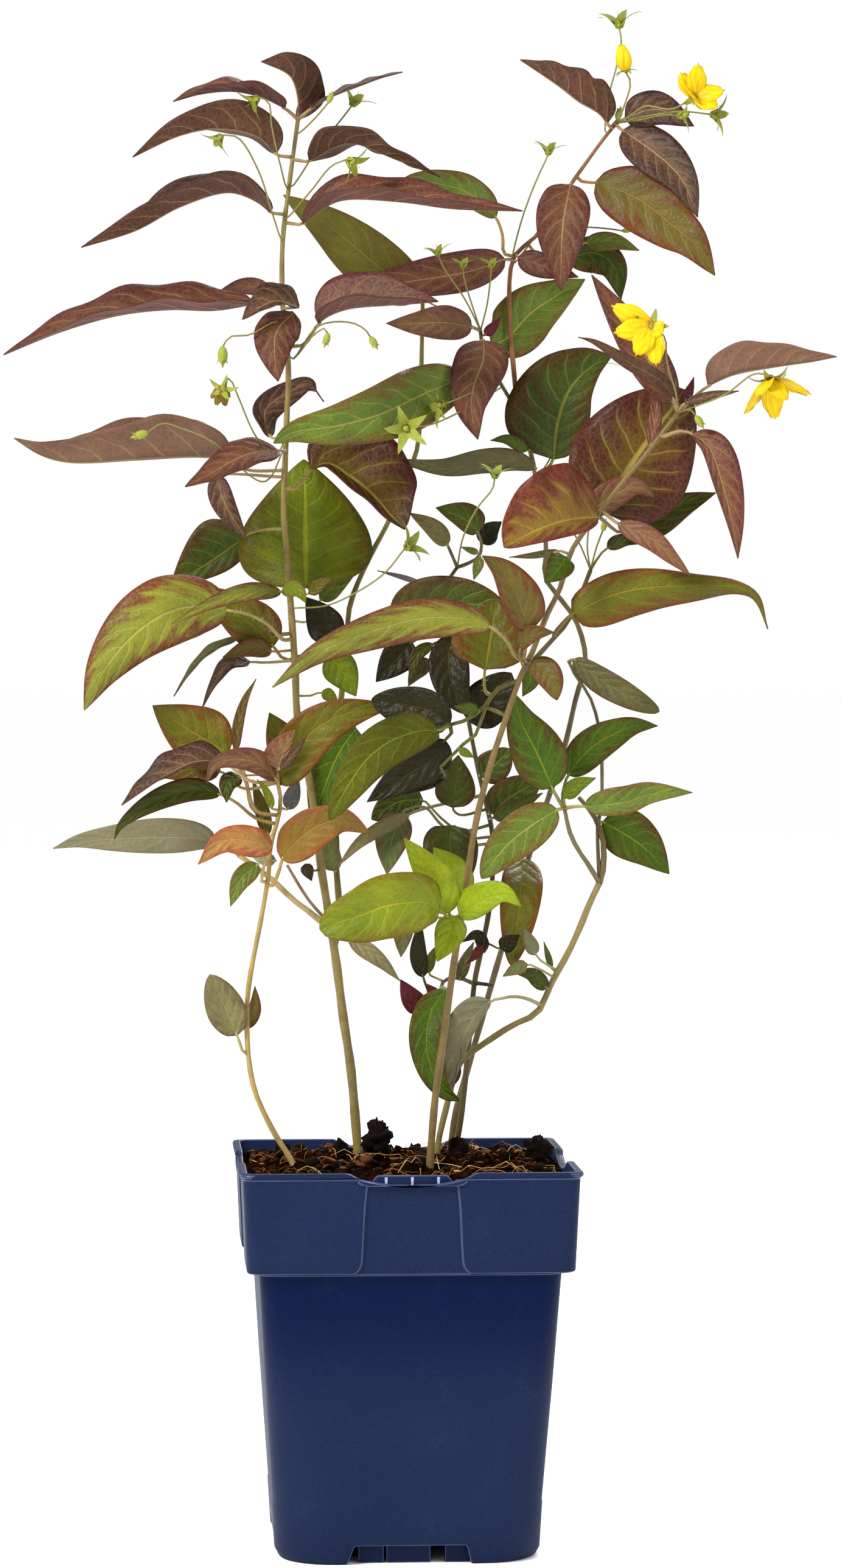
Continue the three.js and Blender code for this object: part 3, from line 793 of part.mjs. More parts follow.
// A stalk that swells into a pointed bud, as one body.
function budOnStalk(line, axis, size) {
  const steps = [];
  line.forEach((p, i) => {
    if (i < line.length - 1) steps.push([p, line[i + 1].clone().sub(p).normalize(), 0.65, 3]);
  });
  const tip = line[line.length - 1];
  [[-0.3, 0.22], [0.7, 0.58], [2, 0.1]].forEach(([s, r]) => {
    steps.push([tip.clone().addScaledVector(axis, s * size), axis, Math.max(0.4, r * size), 4]);
  });
  let [side] = squareTo(steps[0][1]);
  return ringBody(steps.map(([p, way, r, count]) => {
    side = side.clone().addScaledVector(way, -side.dot(way)).normalize();
    const other = new THREE.Vector3().crossVectors(way, side);
    const corners = [[0.8, 0.8], [0.8, -0.8], [-0.8, -0.8], [-0.8, 0.8]];
    const spots = count === 3 ? [[1, 0.6], [0, -1.2], [-1, 0.6]] : corners;
    return spots.map(([x, y]) => p.clone().addScaledVector(side, x * r)
      .addScaledVector(other, y * r));
  }));
}

// Square outline with round corners: half width, corner radius, height.
function squareRing(half, corner, z, steps) {
  const ring = [];
  for (let q = 0; q < 4; q += 1) {
    const turn = (q * Math.PI) / 2;
    for (let k = 0; k <= steps; k += 1) {
      const angle = (k / steps) * (Math.PI / 2);
      const x = half - corner + corner * Math.cos(angle);
      const y = half - corner + corner * Math.sin(angle);
      ring.push(new THREE.Vector3(x * Math.cos(turn) - y * Math.sin(turn),
        x * Math.sin(turn) + y * Math.cos(turn), z));
    }
  }
  return ring;
}

const CORNER_STEPS = 3;
const SKIRT_Z = POT_HEIGHT - SKIRT_HEIGHT;
function bodyHalf(z) {
  return (BODY_LOW + ((BODY_TOP - BODY_LOW) * z) / SKIRT_Z) / 2;
}
function bodyCorner(z) {
  return 26 - (19 * z) / SKIRT_Z;
}
function skirtHalf(z) {
  return (SKIRT_LOW + ((RIM - 2.4 - SKIRT_LOW) * (z - SKIRT_Z)) / SKIRT_HEIGHT) / 2;
}

function box(width, depth, height, x, y, z) {
  const geometry = new THREE.BoxGeometry(width, depth, height);
  geometry.translate(x, y, z);
  return solidFromGeometry(geometry);
}

// A flat outline in the X-Z plane, pushed along Y, then turned to one of the four sides.
function sidePrism(outline, y, thickness, quarter, lean) {
  const shape = new THREE.Shape(outline.map(([x, z]) => new THREE.Vector2(x, z)));
  const geometry = new THREE.ExtrudeGeometry(shape, {
    depth: thickness, bevelEnabled: false, curveSegments: 4 });
  geometry.rotateX(Math.PI / 2);
  geometry.translate(0, y + thickness, 0);
  if (lean) {
    geometry.translate(0, 0, -SKIRT_Z);
    geometry.rotateX(lean);
    geometry.translate(0, 0, SKIRT_Z);
  }
  geometry.rotateZ((quarter * Math.PI) / 2);
  return solidFromGeometry(geometry);
}

function dipOutline() {
  const outline = [[DIP_WIDTH / 2 + 8, POT_HEIGHT + 3]];
  for (let k = 0; k <= 8; k += 1) {
    const x = DIP_WIDTH / 2 - (DIP_WIDTH * k) / 8;
    const s = Math.min(1, Math.max(0, (DIP_WIDTH / 2 - Math.abs(x)) / 15));
    outline.push([x, POT_HEIGHT + 0.05 - DIP_DEPTH * s * s * (3 - 2 * s)]);
  }
  outline.push([-DIP_WIDTH / 2 - 8, POT_HEIGHT + 3]);
  return outline;
}

function panelOutline() {
  const low = SKIRT_Z - 1;
  const high = POT_HEIGHT - 2.2;
  return [[PANEL_TOP / 2, high], [PANEL_LOW / 2 - 4, low + 8], [PANEL_LOW / 2 - 2.5, low + 4.5],
    [PANEL_LOW / 2 + 1, low], [-PANEL_LOW / 2 - 1, low], [-PANEL_LOW / 2 + 2.5, low + 4.5],
    [-PANEL_LOW / 2 + 4, low + 8], [-PANEL_TOP / 2, high]];
}

function makePot() {
  const steps = CORNER_STEPS;
  const outside = ringBody([
    squareRing(bodyHalf(0) - 3, 22, 0, steps),
    squareRing(bodyHalf(4), 24, 4, steps),
    squareRing(bodyHalf(24), bodyCorner(24) + 2, 24, steps),
    squareRing(bodyHalf(SKIRT_Z - 1.2), 8, SKIRT_Z - 1.2, steps),
    squareRing(skirtHalf(SKIRT_Z) - 0.8, 7, SKIRT_Z - 0.1, steps),
    squareRing(skirtHalf(SKIRT_Z), 7, SKIRT_Z + 1, steps),
    squareRing(skirtHalf(POT_HEIGHT - 2.4), 5.5, POT_HEIGHT - 2.6, steps),
    squareRing(RIM / 2, 6, POT_HEIGHT - 1.9, steps),
    squareRing(RIM / 2, 6, POT_HEIGHT - 0.5, steps),
    squareRing(RIM / 2 - 0.6, 5.6, POT_HEIGHT, steps),
  ]);
  const floorTop = FLOOR_Z + FLOOR_THICK;
  const inside = ringBody([
    squareRing(bodyHalf(floorTop) - WALL, 22, floorTop, steps),
    squareRing(bodyHalf(SKIRT_Z) - WALL, 7, SKIRT_Z + 1.4, steps),
    squareRing(skirtHalf(SKIRT_Z + 2.4) - SKIRT_WALL, 5.5, SKIRT_Z + 2.8, steps),
    squareRing(skirtHalf(POT_HEIGHT) - SKIRT_WALL, 4.5, POT_HEIGHT + 1, steps),
  ]);
  const under = ringBody([
    squareRing(bodyHalf(0) - 3 - WALL, 20, -1, steps),
    squareRing(bodyHalf(FLOOR_Z) - WALL - 0.6, 21, FLOOR_Z, steps),
  ]);
  let pot = outside.subtract(inside).subtract(under);
  const lean = Math.atan((RIM - 2.4 - SKIRT_LOW) / 2 / SKIRT_HEIGHT);
  const notch = [[-NOTCH_WIDTH / 2 - 1, -1], [NOTCH_WIDTH / 2 + 1, -1], [NOTCH_WIDTH / 2 - 1, NOTCH_HEIGHT],
    [-NOTCH_WIDTH / 2 + 1, NOTCH_HEIGHT]];
  for (let quarter = 0; quarter < 4; quarter += 1) {
    pot = pot.subtract(sidePrism(dipOutline(), -RIM / 2 - 2, 8, quarter, 0));
    pot = pot.subtract(sidePrism(panelOutline(), -SKIRT_LOW / 2 - 4 + PANEL_DEPTH, 4, quarter, lean));
    pot = pot.subtract(sidePrism(notch, -bodyHalf(0) - 2, 7, quarter, 0));
  }
  // Feet under the floor, with the drainage slots between them.
  const feet = [box(19, 19, FLOOR_Z + 0.5, 0, 0, (FLOOR_Z + 0.5) / 2)];
  for (let quarter = 0; quarter < 4; quarter += 1) {
    const turn = (quarter * Math.PI) / 2;
    const spots = [[-17, 48, 11, 4], [-1, 48, 19, 4], [22, 48, 13, 4], [30, 30, 14, 14]];
    spots.forEach(([x, y, width, depth]) => {
      const geometry = new THREE.BoxGeometry(width, depth, FLOOR_Z + 0.5);
      geometry.translate(x, -y, (FLOOR_Z + 0.5) / 2);
      geometry.rotateZ(turn);
      feet.push(solidFromGeometry(geometry));
    });
    const geometry = new THREE.BoxGeometry(14, 4, 6);
    geometry.translate(0, -24, FLOOR_Z + 1);
    geometry.rotateZ(turn);
    pot = pot.subtract(solidFromGeometry(geometry));
  }
  // Behind the front dip, a low label tab with ribs.
  const tabY = -(skirtHalf(POT_HEIGHT) - SKIRT_WALL) - 1;
  const tabLow = POT_HEIGHT - 17;
  const tabTop = POT_HEIGHT - 2.4;
  const tab = [[-17, tabLow], [17, tabLow], [17, tabTop - 1.3], [15.6, tabTop], [-15.6, tabTop],
    [-17, tabTop - 1.3]];
  feet.push(sidePrism(tab, tabY, 2.4, 0, 0));
  [-11.4, 0, 11.4].forEach((x) => {
    const rib = [[x - 0.5, tabLow + 5], [x + 0.5, tabLow + 5], [x + 0.5, tabTop - 1.6],
      [x - 0.5, tabTop - 1.6]];
    feet.push(sidePrism(rib, tabY - 0.7, 1.2, 0, 0));
  });
  return pot.add(joined(feet));
}

// Height of the soil: level near the wall, a low mound in the middle, rough all over.
function soilHeight(x, y) {
  const far = Math.max(Math.abs(x), Math.abs(y)) / 70;
  const mound = 5.5 * Math.max(0, 1 - far * far);
  const rough = 1.3 * Math.sin(x * 0.21 + 1.3) * Math.cos(y * 0.17 - 0.4)
    + 0.9 * Math.sin(x * 0.47 + y * 0.39) + 0.5 * Math.cos(x * 0.9 - y * 0.7);
  return POT_HEIGHT - 6.8 + mound + rough * Math.min(1, (1.02 - far) * 5 + 0.35);
}

function makeSoil() {
  const steps = CORNER_STEPS;
  const floorTop = FLOOR_Z + FLOOR_THICK + GAP;
  const topHalf = skirtHalf(POT_HEIGHT - 7) - SKIRT_WALL - 0.6;
  const rings = [
    squareRing(bodyHalf(floorTop) - WALL - GAP - 0.1, 22, floorTop, steps),
    squareRing(bodyHalf(SKIRT_Z) - WALL - GAP - 0.1, 7, SKIRT_Z + 2.2, steps),
    squareRing(skirtHalf(SKIRT_Z + 4) - SKIRT_WALL - GAP - 0.3, 5.5, SKIRT_Z + 4.2, steps),
    squareRing(topHalf, 4.5, POT_HEIGHT - 9, steps),
  ];
  const outline = squareRing(topHalf - 0.2, 4.5, 0, steps);
  [1, 0.9, 0.7, 0.46, 0.2].forEach((scale) => {
    rings.push(outline.map((p) => {
      const x = p.x * scale;
      const y = p.y * scale;
      const high = soilHeight(x, y);
      return new THREE.Vector3(x, y, scale === 1 ? Math.min(POT_HEIGHT - 6, high) : high);
    }));
  });
  // The label tab stands in front of the soil's edge, so it is cut back there.
  const tabY = -(skirtHalf(POT_HEIGHT) - SKIRT_WALL) - 1;
  const cut = [[-17.5, POT_HEIGHT - 17.6], [17.5, POT_HEIGHT - 17.6], [17.5, 190], [-17.5, 190]];
  let soil = ringBody(rings).subtract(sidePrism(cut, tabY - 3, 3 + 2.4 + GAP, 0, 0));
  const clods = [[-8, 184, -2, 5.6, 9.5], [58, 181, 10, 6.2, 7.5], [-28, 180, 18, 3.5, 5],
    [25, 183, 20, 4.5, 7], [-54, 181, 24, 3.2, 4.5], [5, 180, 20, 3.5, 4]];
  clods.forEach(([u, v, w, wide, high]) => {
    const geometry = new THREE.IcosahedronGeometry(1, 0);
    const merged = mergeVertices((geometry.deleteAttribute('normal'), geometry.deleteAttribute('uv'),
    geometry), 1e-4);
    const position = merged.attributes.position;
    const middle = place([u, v, w]);
    for (let i = 0; i < position.count; i += 1) {
      const k = 0.8 + 0.4 * draw();
      position.setXYZ(i, middle.x + position.getX(i) * wide * k, middle.y + position.getY(i) * wide * k,
        middle.z - 2 + position.getZ(i) * high * k);
    }
    soil = soil.add(solidFromGeometry(merged));
  });
  return soil;
}

// Where an open flower's petals lie, and the way that it looks. The petals keep their own depth.
function corollaFrame(middle, tips) {
  const centre = place(middle);
  const spots = tips.map(([u, v, w]) => place([u, v, middle[2] + (w - middle[2]) / DEPTH]));
  const normal = new THREE.Vector3();
  spots.forEach((tip, i) => {
    const next = spots[(i + 1) % spots.length].clone().sub(centre);
    normal.add(new THREE.Vector3().crossVectors(tip.clone().sub(centre), next).normalize());
  });
  normal.normalize();
  const stalk = openStalkNear(centre);
  if (normal.dot(heading(stalk[3])) < 0) normal.negate();
  return { centre, spots, normal };
}
function openStalkNear(centre) {
  const reach = ([, , , , path]) => place(path[path.length - 1]).distanceTo(centre);
  return STALKS.filter((row) => row[1] === 'open').sort((a, b) => reach(a) - reach(b))[0];
}

// The leafy shoots, each with all its branches, leaves and stalks: name, main stem, tint, seed.
const SHOOTS = [
  ['shoot_left_tall', 's2', 0x77703f, 18],
  ['shoot_left_small', 's1', 0x8a6a40, 11],
  ['shoot_front_right', 's4', 0x7c6a3a, 13],
  ['shoot_back_right', 's5', 0x64523a, 11],
  ['shoot_low_right', 's6', 0x5d6a34, 12],
  ['shoot_inner', 's8', 0x4a4a30, 13],
];
const stemByName = new Map(STEMS.map((row) => [row[0], row]));
function footOf(name) {
  const row = stemByName.get(name);
  return row[1] ? footOf(row[1]) : name;
}

function makeShoot(foot, seed) {
  seedState = seed;
  const parts = [];
  const own = (row) => footOf(row[0]) === foot;
  STEMS.filter(own).forEach(([name, parent, first, path, last]) => {
    const line = path.map(place);
    if (parent) {
      const root = rootOn(stemByName.get(parent), path[0]);
      if (root.distanceTo(line[0]) > 1.5) line.unshift(root);
      else line[0] = root;
    }
    parts.push(rod(thinned(line, 0.5), first, last, name === foot ? 6 : 4));
  });
  LEAVES.filter(own).forEach(([stem, lie, stalk, midrib, halves, one, two, , outline]) => {
    const way = [...stalk, midrib[0]];
    const root = rootOn(stemByName.get(stem), way[0].every((x, i) => x === midrib[0][i])
      && place(way[0]).distanceTo(rootOn(stemByName.get(stem), way[0])) < 3 ? midrib[1] : way[0]);
    const line = thinned([root, ...way.map(place)], 0.9);
    if (line.length > 2 && line[0].distanceTo(line[1]) < 2) line.splice(1, 1);
    line.pop();
    parts.push(leaf(lie, line, midrib, halves, one, two, outline || [0.62, 0.85]));
  });
  STALKS.forEach(([stem, kind, size, axis, path], index) => {
    if (footOf(stem) !== foot) return;
    const line = thinned(path.map(place), 1.2);
    const root = rootOn(stemByName.get(stem), path[1]);
    if (root.distanceTo(line[0]) < 4) line[0] = root;
    else line.unshift(root);
    let way = heading(axis);
    const bloom = COROLLAS.find((row) => openStalkNear(place(row[1])) === STALKS[index]);
    if (bloom) {
      const { centre, normal } = corollaFrame(bloom[1], bloom[2]);
      way = normal;
      line[line.length - 1] = centre.addScaledVector(normal, -PETAL - GAP - 0.35);
    }
    if (kind === 'bud') parts.push(budOnStalk(line, way, size));
    else if (kind === 'open') parts.push(starOnStalk(line, way, size * 0.8, 0));
    else parts.push(starOnStalk(line, way, size, 0.5));
  });
  return largest(joined(parts).simplify(0.15));
}

// Five petals held together at the middle as one thin body.
function makeCorolla(middle, tips, halfWidth) {
  const { centre, spots, normal } = corollaFrame(middle, tips);
  const count = spots.length;
  const half = PETAL / 2;
  const points = [centre.clone(), centre.clone().addScaledVector(normal, -2 * half)];
  const twin = (p) => {
    points.push(p.clone(), p.clone().addScaledVector(normal, -2 * half));
    return points.length - 2;
  };
  const ways = spots.map((tip) => tip.clone().sub(centre));
  const crosses = ways.map((way, i) => new THREE.Vector3().crossVectors(way, ways[(i + 1) % count]));
  const sense = Math.sign(crosses.reduce((sum, c) => sum + c.clone().normalize().dot(normal), 0));
  // The turn from each petal to the next, round the flower, and the notch between them.
  const turns = ways.map((way, i) => {
    const turn = Math.atan2(crosses[i].dot(normal) * sense, way.dot(ways[(i + 1) % count]));
    return turn < 0 ? turn + 2 * Math.PI : turn;
  });
  const valleys = ways.map((way, i) => {
    const notch = way.clone().normalize().add(ways[(i + 1) % count].clone().normalize());
    const open = turns[i] > Math.PI;
    return twin(centre.clone().addScaledVector(notch.normalize(), open ? -0.45 : 1.5));
  });
  const faces = [];
  const rim = (a, b) => faces.push(a, a + 1, b, b, a + 1, b + 1);
  ways.forEach((way, i) => {
    const wide = new THREE.Vector3().crossVectors(normal, way).normalize().multiplyScalar(sense);
    const length = way.length();
    const last = (i + count - 1) % count;
    // A petal's half at s of its length stays clear of its neighbour's.
    const on = (s, x) => {
      const room = Math.min(turns[x < 0 ? last : i] / 2, 1.2);
      const reach = Math.min(Math.abs(x) * halfWidth, 0.9 * s * length * Math.tan(room));
      return centre.clone().addScaledVector(way, s).addScaledVector(wide, Math.sign(x) * reach);
    };
    const before = valleys[last];
    const after = valleys[i];
    const belly = twin(on(0.55, 0).addScaledVector(normal, -0.5));
    const ring = [before, twin(on(0.5, -0.95)), twin(on(0.8, -0.75)), twin(on(1, 0)),
      twin(on(0.8, 0.75)), twin(on(0.5, 0.95)), after];
    for (let k = 0; k + 1 < ring.length; k += 1) {
      faces.push(belly, ring[k], ring[k + 1], belly + 1, ring[k + 1] + 1, ring[k] + 1);
      rim(ring[k], ring[k + 1]);
    }
    faces.push(belly, after, 0, belly + 1, 1, after + 1);
    faces.push(belly, 0, before, belly + 1, before + 1, 1);
  });
  return bodyOf(points, faces);
}

// The closed bloom: five petals still rolled round each other, as one tapered body.
function makeClosedBloom() {
  const [, , , way, path] = openStalkNear(place([100.2, 667, 27.8]));
  const axis = heading(way);
  const centre = place(path[path.length - 1]).addScaledVector(axis, 0.35 + GAP);
  const side = new THREE.Vector3().crossVectors(axis, UP).normalize();
  const other = new THREE.Vector3().crossVectors(axis, side);
  const rings = [[0, 1.2], [3, 3], [7, 3.7], [10.5, 3.1], [12.5, 1.4]].map(([s, r], i) => {
    const ring = [];
    for (let j = 0; j < 10; j += 1) {
      const angle = (2 * Math.PI * j) / 10 + i * 0.3;
      const reach = r * (j % 2 ? 0.84 : 1);
      ring.push(centre.clone().addScaledVector(axis, s).addScaledVector(side, reach * Math.cos(angle))
        .addScaledVector(other, reach * Math.sin(angle)));
    }
    return ring;
  });
  return ringBody(rings);
}

function meshOf(name, solid, colour, roughness, metalness) {
  const data = solid.getMesh();
  const geometry = new THREE.BufferGeometry();
  geometry.setAttribute('position', new THREE.BufferAttribute(
    Float32Array.from(data.vertProperties), 3));
  geometry.setIndex(new THREE.BufferAttribute(Uint32Array.from(data.triVerts), 1));
  geometry.computeVertexNormals();
  const material = new THREE.MeshStandardMaterial({ color: colour, roughness, metalness });
  const mesh = new THREE.Mesh(geometry, material);
  mesh.name = name;
  return mesh;
}

const plant = new THREE.Group();
plant.name = 'potted_fringed_loosestrife';
plant.add(meshOf('pot', makePot(), 0x262f54, 0.5, 0));

// Each main stem stands in a plain hole, a little wider than itself.
let soil = makeSoil();
SHOOTS.forEach(([, foot]) => {
  const row = stemByName.get(foot);
  const low = row[3].slice(0, 3).map(place);
  low[0].addScaledVector(low[1].clone().sub(low[0]).normalize(), -0.5);
  soil = soil.subtract(rod(low, row[2] + 0.65, row[2] + 0.65, 6));
});
plant.add(meshOf('soil', soil, 0x2d2016, 0.95, 0));
SHOOTS.forEach(([name, foot, colour, seed]) => {
  plant.add(meshOf(name, makeShoot(foot, seed), colour, 0.55, 0));
});
COROLLAS.forEach(([name, middle, tips, halfWidth]) => {
  plant.add(meshOf(name, makeCorolla(middle, tips, halfWidth), 0xf2cf1a, 0.5, 0));
});
plant.add(meshOf('petals_closed', makeClosedBloom(), 0xf2cf1a, 0.5, 0));

export default plant;
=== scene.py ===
import json
import math
import random
from collections import namedtuple

import bmesh
import bpy
from mathutils import Matrix, Vector, noise

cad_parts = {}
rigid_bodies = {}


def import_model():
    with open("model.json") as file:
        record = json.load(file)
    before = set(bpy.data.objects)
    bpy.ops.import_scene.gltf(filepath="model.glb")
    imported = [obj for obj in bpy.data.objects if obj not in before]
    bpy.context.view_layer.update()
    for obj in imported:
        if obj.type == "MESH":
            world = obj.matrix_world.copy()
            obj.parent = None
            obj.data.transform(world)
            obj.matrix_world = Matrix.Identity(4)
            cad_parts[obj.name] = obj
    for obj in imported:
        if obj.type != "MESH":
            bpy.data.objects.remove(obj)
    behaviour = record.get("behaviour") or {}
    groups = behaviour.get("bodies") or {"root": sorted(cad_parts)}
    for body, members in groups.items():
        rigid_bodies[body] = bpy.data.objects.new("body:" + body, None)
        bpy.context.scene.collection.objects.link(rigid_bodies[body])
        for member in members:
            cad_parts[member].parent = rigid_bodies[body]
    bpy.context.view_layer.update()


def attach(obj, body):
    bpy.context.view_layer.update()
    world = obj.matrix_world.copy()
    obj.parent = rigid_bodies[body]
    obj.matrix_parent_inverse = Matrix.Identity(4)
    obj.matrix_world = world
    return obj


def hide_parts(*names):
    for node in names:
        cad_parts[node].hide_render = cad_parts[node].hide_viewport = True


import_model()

MM = 0.001
SEED = 7
# The eye in mm: how far it is from the pot's axis, how high, and how far it is turned round it.
EYE_OUT, EYE_UP, EYE_TURN = 2080.0, 400.0, math.radians(3.4)
TURN_COS, TURN_SIN = math.cos(EYE_TURN), math.sin(EYE_TURN)
# Depth in mm for one step of the rank w, and how far the layout stands above the frame's floor.
DEPTH, BASE_UP = 1.7, 4.0
# Side veins along half a blade, how far they sweep to the tip, and how they bend on the way.
VEINS, VEIN_SWEEP, VEIN_BEND = 7.0, 0.24, 1.25
# The share of a colour as seen that is paint, the rest being light, and that of a leaf blade.
LIT, BLADE_LIT = 0.78, 0.795
LEAF_THICK, PETAL_THICK, CLOSED_THICK = 0.00045, 0.0004, 0.0003
PETALS = 5
FLAT, PLAIN_OUTLINE = (0, 0, 0, 0), (0.62, 0.85)
TINT_KEYS = ("tint", "rim", "vein", "under")

# The plant is laid out as seen from the front: u right, v up, w a rank in depth, all in mm.
# The lists in the tables hold points one after the other, three numbers to a point.
Stem = namedtuple("Stem", "name parent foot top path")
Leaf = namedtuple("Leaf", "stem lie tint halves stalk midrib tilts outline",
                  defaults=(FLAT, PLAIN_OUTLINE))
Stalk = namedtuple("Stalk", "stem bears size aim path")
Corolla = namedtuple("Corolla", "node middle tips half")


def threes(numbers):
    return [numbers[i:i + 3] for i in range(0, len(numbers), 3)]


def table(kind, rows):
    return [kind(*(threes(cell) if isinstance(cell, list) else cell for cell in row))
            for row in rows]


# Stem: name, parent, radius at its foot and at its top, path.
STEMS = table(Stem, [
  ("s2", "", 2.3, 0.95, [-18.9,166,8, -20.2,179.5,8, -23.3,215.6,7, -26.9,240,7, -30,264.4,6,
    -34.9,295,5, -36.7,306,5, -41,340,4, -47.4,374.4,3, -48.4,396,2, -50.5,425.8,2, -52.3,450,1,
    -53.5,466.5,1, -52.3,505,0, -51.5,533.5,0, -54,560,0, -54.1,586.6,0, -51.3,612,0,
    -47.1,643,0]),
  ("s3", "s2", 1.5, 1.2, [-33,279,5, -40,285,4, -50.1,292.6,2, -57.5,299.9,0, -66,306.5,-2,
    -73.7,312,-4]),
  ("s3b", "s2", 0.8, 0.7, [-34,283,5, -41.7,291,3, -47,299,2, -52,307.5,1]),
  ("sb", "s2", 1.6, 1, [-30.5,270,6, -28.5,285,13, -29.5,301,17, -31.1,322,20, -30.5,350,23,
    -28,380,25, -25,405,26, -24,423.3,27, -16.2,443.4,29, -6.6,461.7,31, 0,478,33, 6.5,495,35,
    8,520,37, 9,560,38]),
  ("s1", "", 1.4, 0.9, [-45.5,165,-6, -50.1,174.6,-6, -58.7,188.6,-7, -66.1,204.5,-8,
    -68.5,214.3,-8, -69.9,227.7,-9, -69.7,249.8,-9, -64.8,277.8,-10, -62.7,288.8,-11,
    -60.3,304,-12, -59.3,317,-12, -56.5,327,-12, -54.8,336,-12, -56.3,345,-13, -56.6,350.5,-13]),
  ("s4", "", 1.8, 1, [11.8,166,-18, 12.8,181.3,-18, 14.7,203.3,-19, 18.9,233.9,-21, 23.2,264.4,-24,
    28.1,295,-27, 32.9,326.5,-30, 39.4,352.3,-32, 45.8,371.7,-34, 49.7,383.3,-35, 53.6,393.7,-36,
    57.5,401.4,-36, 65.2,420.8,-38, 70.4,431.1,-39, 75.5,447.9,-40, 79.4,454.4,-41, 88.7,466.8,-42,
    100,481,-43, 111.2,494.5,-44, 123.9,511.2,-45]),
  ("s4b", "s4", 1.3, 1, [53.6,393.7,-36, 65.2,406.6,-32, 74.2,417,-30, 82,433.8,-28,
    84.5,440.2,-27]),
  ("s4c", "s4", 1.2, 0.9, [52,390.5,-35.5, 42.4,386.6,-31, 36.2,378,-27, 28.3,372.7,-26,
    21.3,370.6,-26]),
  ("s4d", "s4", 0.9, 0.7, [36.2,378,-27, 34.6,368.2,-26, 28.4,363,-25, 24.9,359.5,-24,
    17.1,351.7,-22]),
  ("s5", "", 1.6, 0.9, [20,168,24, 23.8,196,23, 29,215,23, 35.4,237.5,24, 41.6,259.5,25, 50,288,26,
    57.4,313.3,27, 72.3,358.8,28, 78.1,383.3,28, 82.3,399,28, 78.1,417,29, 68,431,30, 63.9,437,30,
    64.6,450.5,31, 61,470,32, 57.8,493,33, 49.1,515.6,34, 43.9,524.3,34, 36,540,34, 35,548,34]),
  ("sk", "s5", 1.3, 0.8, [52,508,34, 50,530,36, 48,555,38, 50.2,581.5,40, 59.3,589.7,40, 68,602,40,
    75.8,614,40, 84,625.5,40, 91.5,635.7,40, 96.3,641.3,40]),
  ("s6", "", 1.5, 1.5, [14,167,8, 16.5,185.5,7, 19.5,198,6, 21.5,206,5, 25.3,218.4,3, 30.2,222.7,2,
    39.2,229,0, 49.7,235.6,-3, 59.5,240.2,-5, 61.9,243,-6, 65.1,250,-6, 67.9,256.3,-7,
    74.2,267.5,-8, 80,280,-9, 84,290,-10, 88.5,299.5,-11]),
  ("s6b", "s6", 1.5, 1.1, [88.5,299.5,-11, 90.3,307,-9, 90.2,318,-7, 87.5,327,-4, 84,332.5,-2,
    79.4,337.9,0]),
  ("s6c", "s6", 1.2, 0.9, [88.5,299.5,-11, 84,307,-13, 78,316,-15, 74.9,323,-16, 73.8,327.7,-17,
    72.8,333,-17]),
  ("s7", "s6", 0.9, 0.7, [87.8,326.4,-4, 89.4,333,-1, 89.7,342,1, 88.7,367.4,2, 84.3,383,2,
    80.5,389,2, 77.3,393.5,2, 74.5,399.5,2]),
  ("s8", "", 1.5, 0.8, [22,167,15, 27,200,13, 30,230,13, 32.5,256,14, 36,272,15, 39,288,15,
    40.5,305,15, 40,324,15, 37,337,15, 34,350,15, 31,365,14, 27,385,13, 20,405,12, 14,424,12,
    24.5,441.5,12]),
  ("s8b", "s8", 0.9, 0.7, [24.5,441.5,12, 29.3,443.2,11, 34.5,446.7,10, 35.4,452.8,9, 34,457,8]),
  ("s8c", "s8", 0.8, 0.7, [24.5,441.5,12, 20.2,451.5,11]),
  ("s8t", "s8", 1, 0.8, [32.3,254,14, 26,256.5,9, 19,256,5, 17,252,4, 16.8,246,4]),
  ("s8u", "s8", 1, 0.8, [32.3,254.5,14, 40.5,253.5,10]),
])

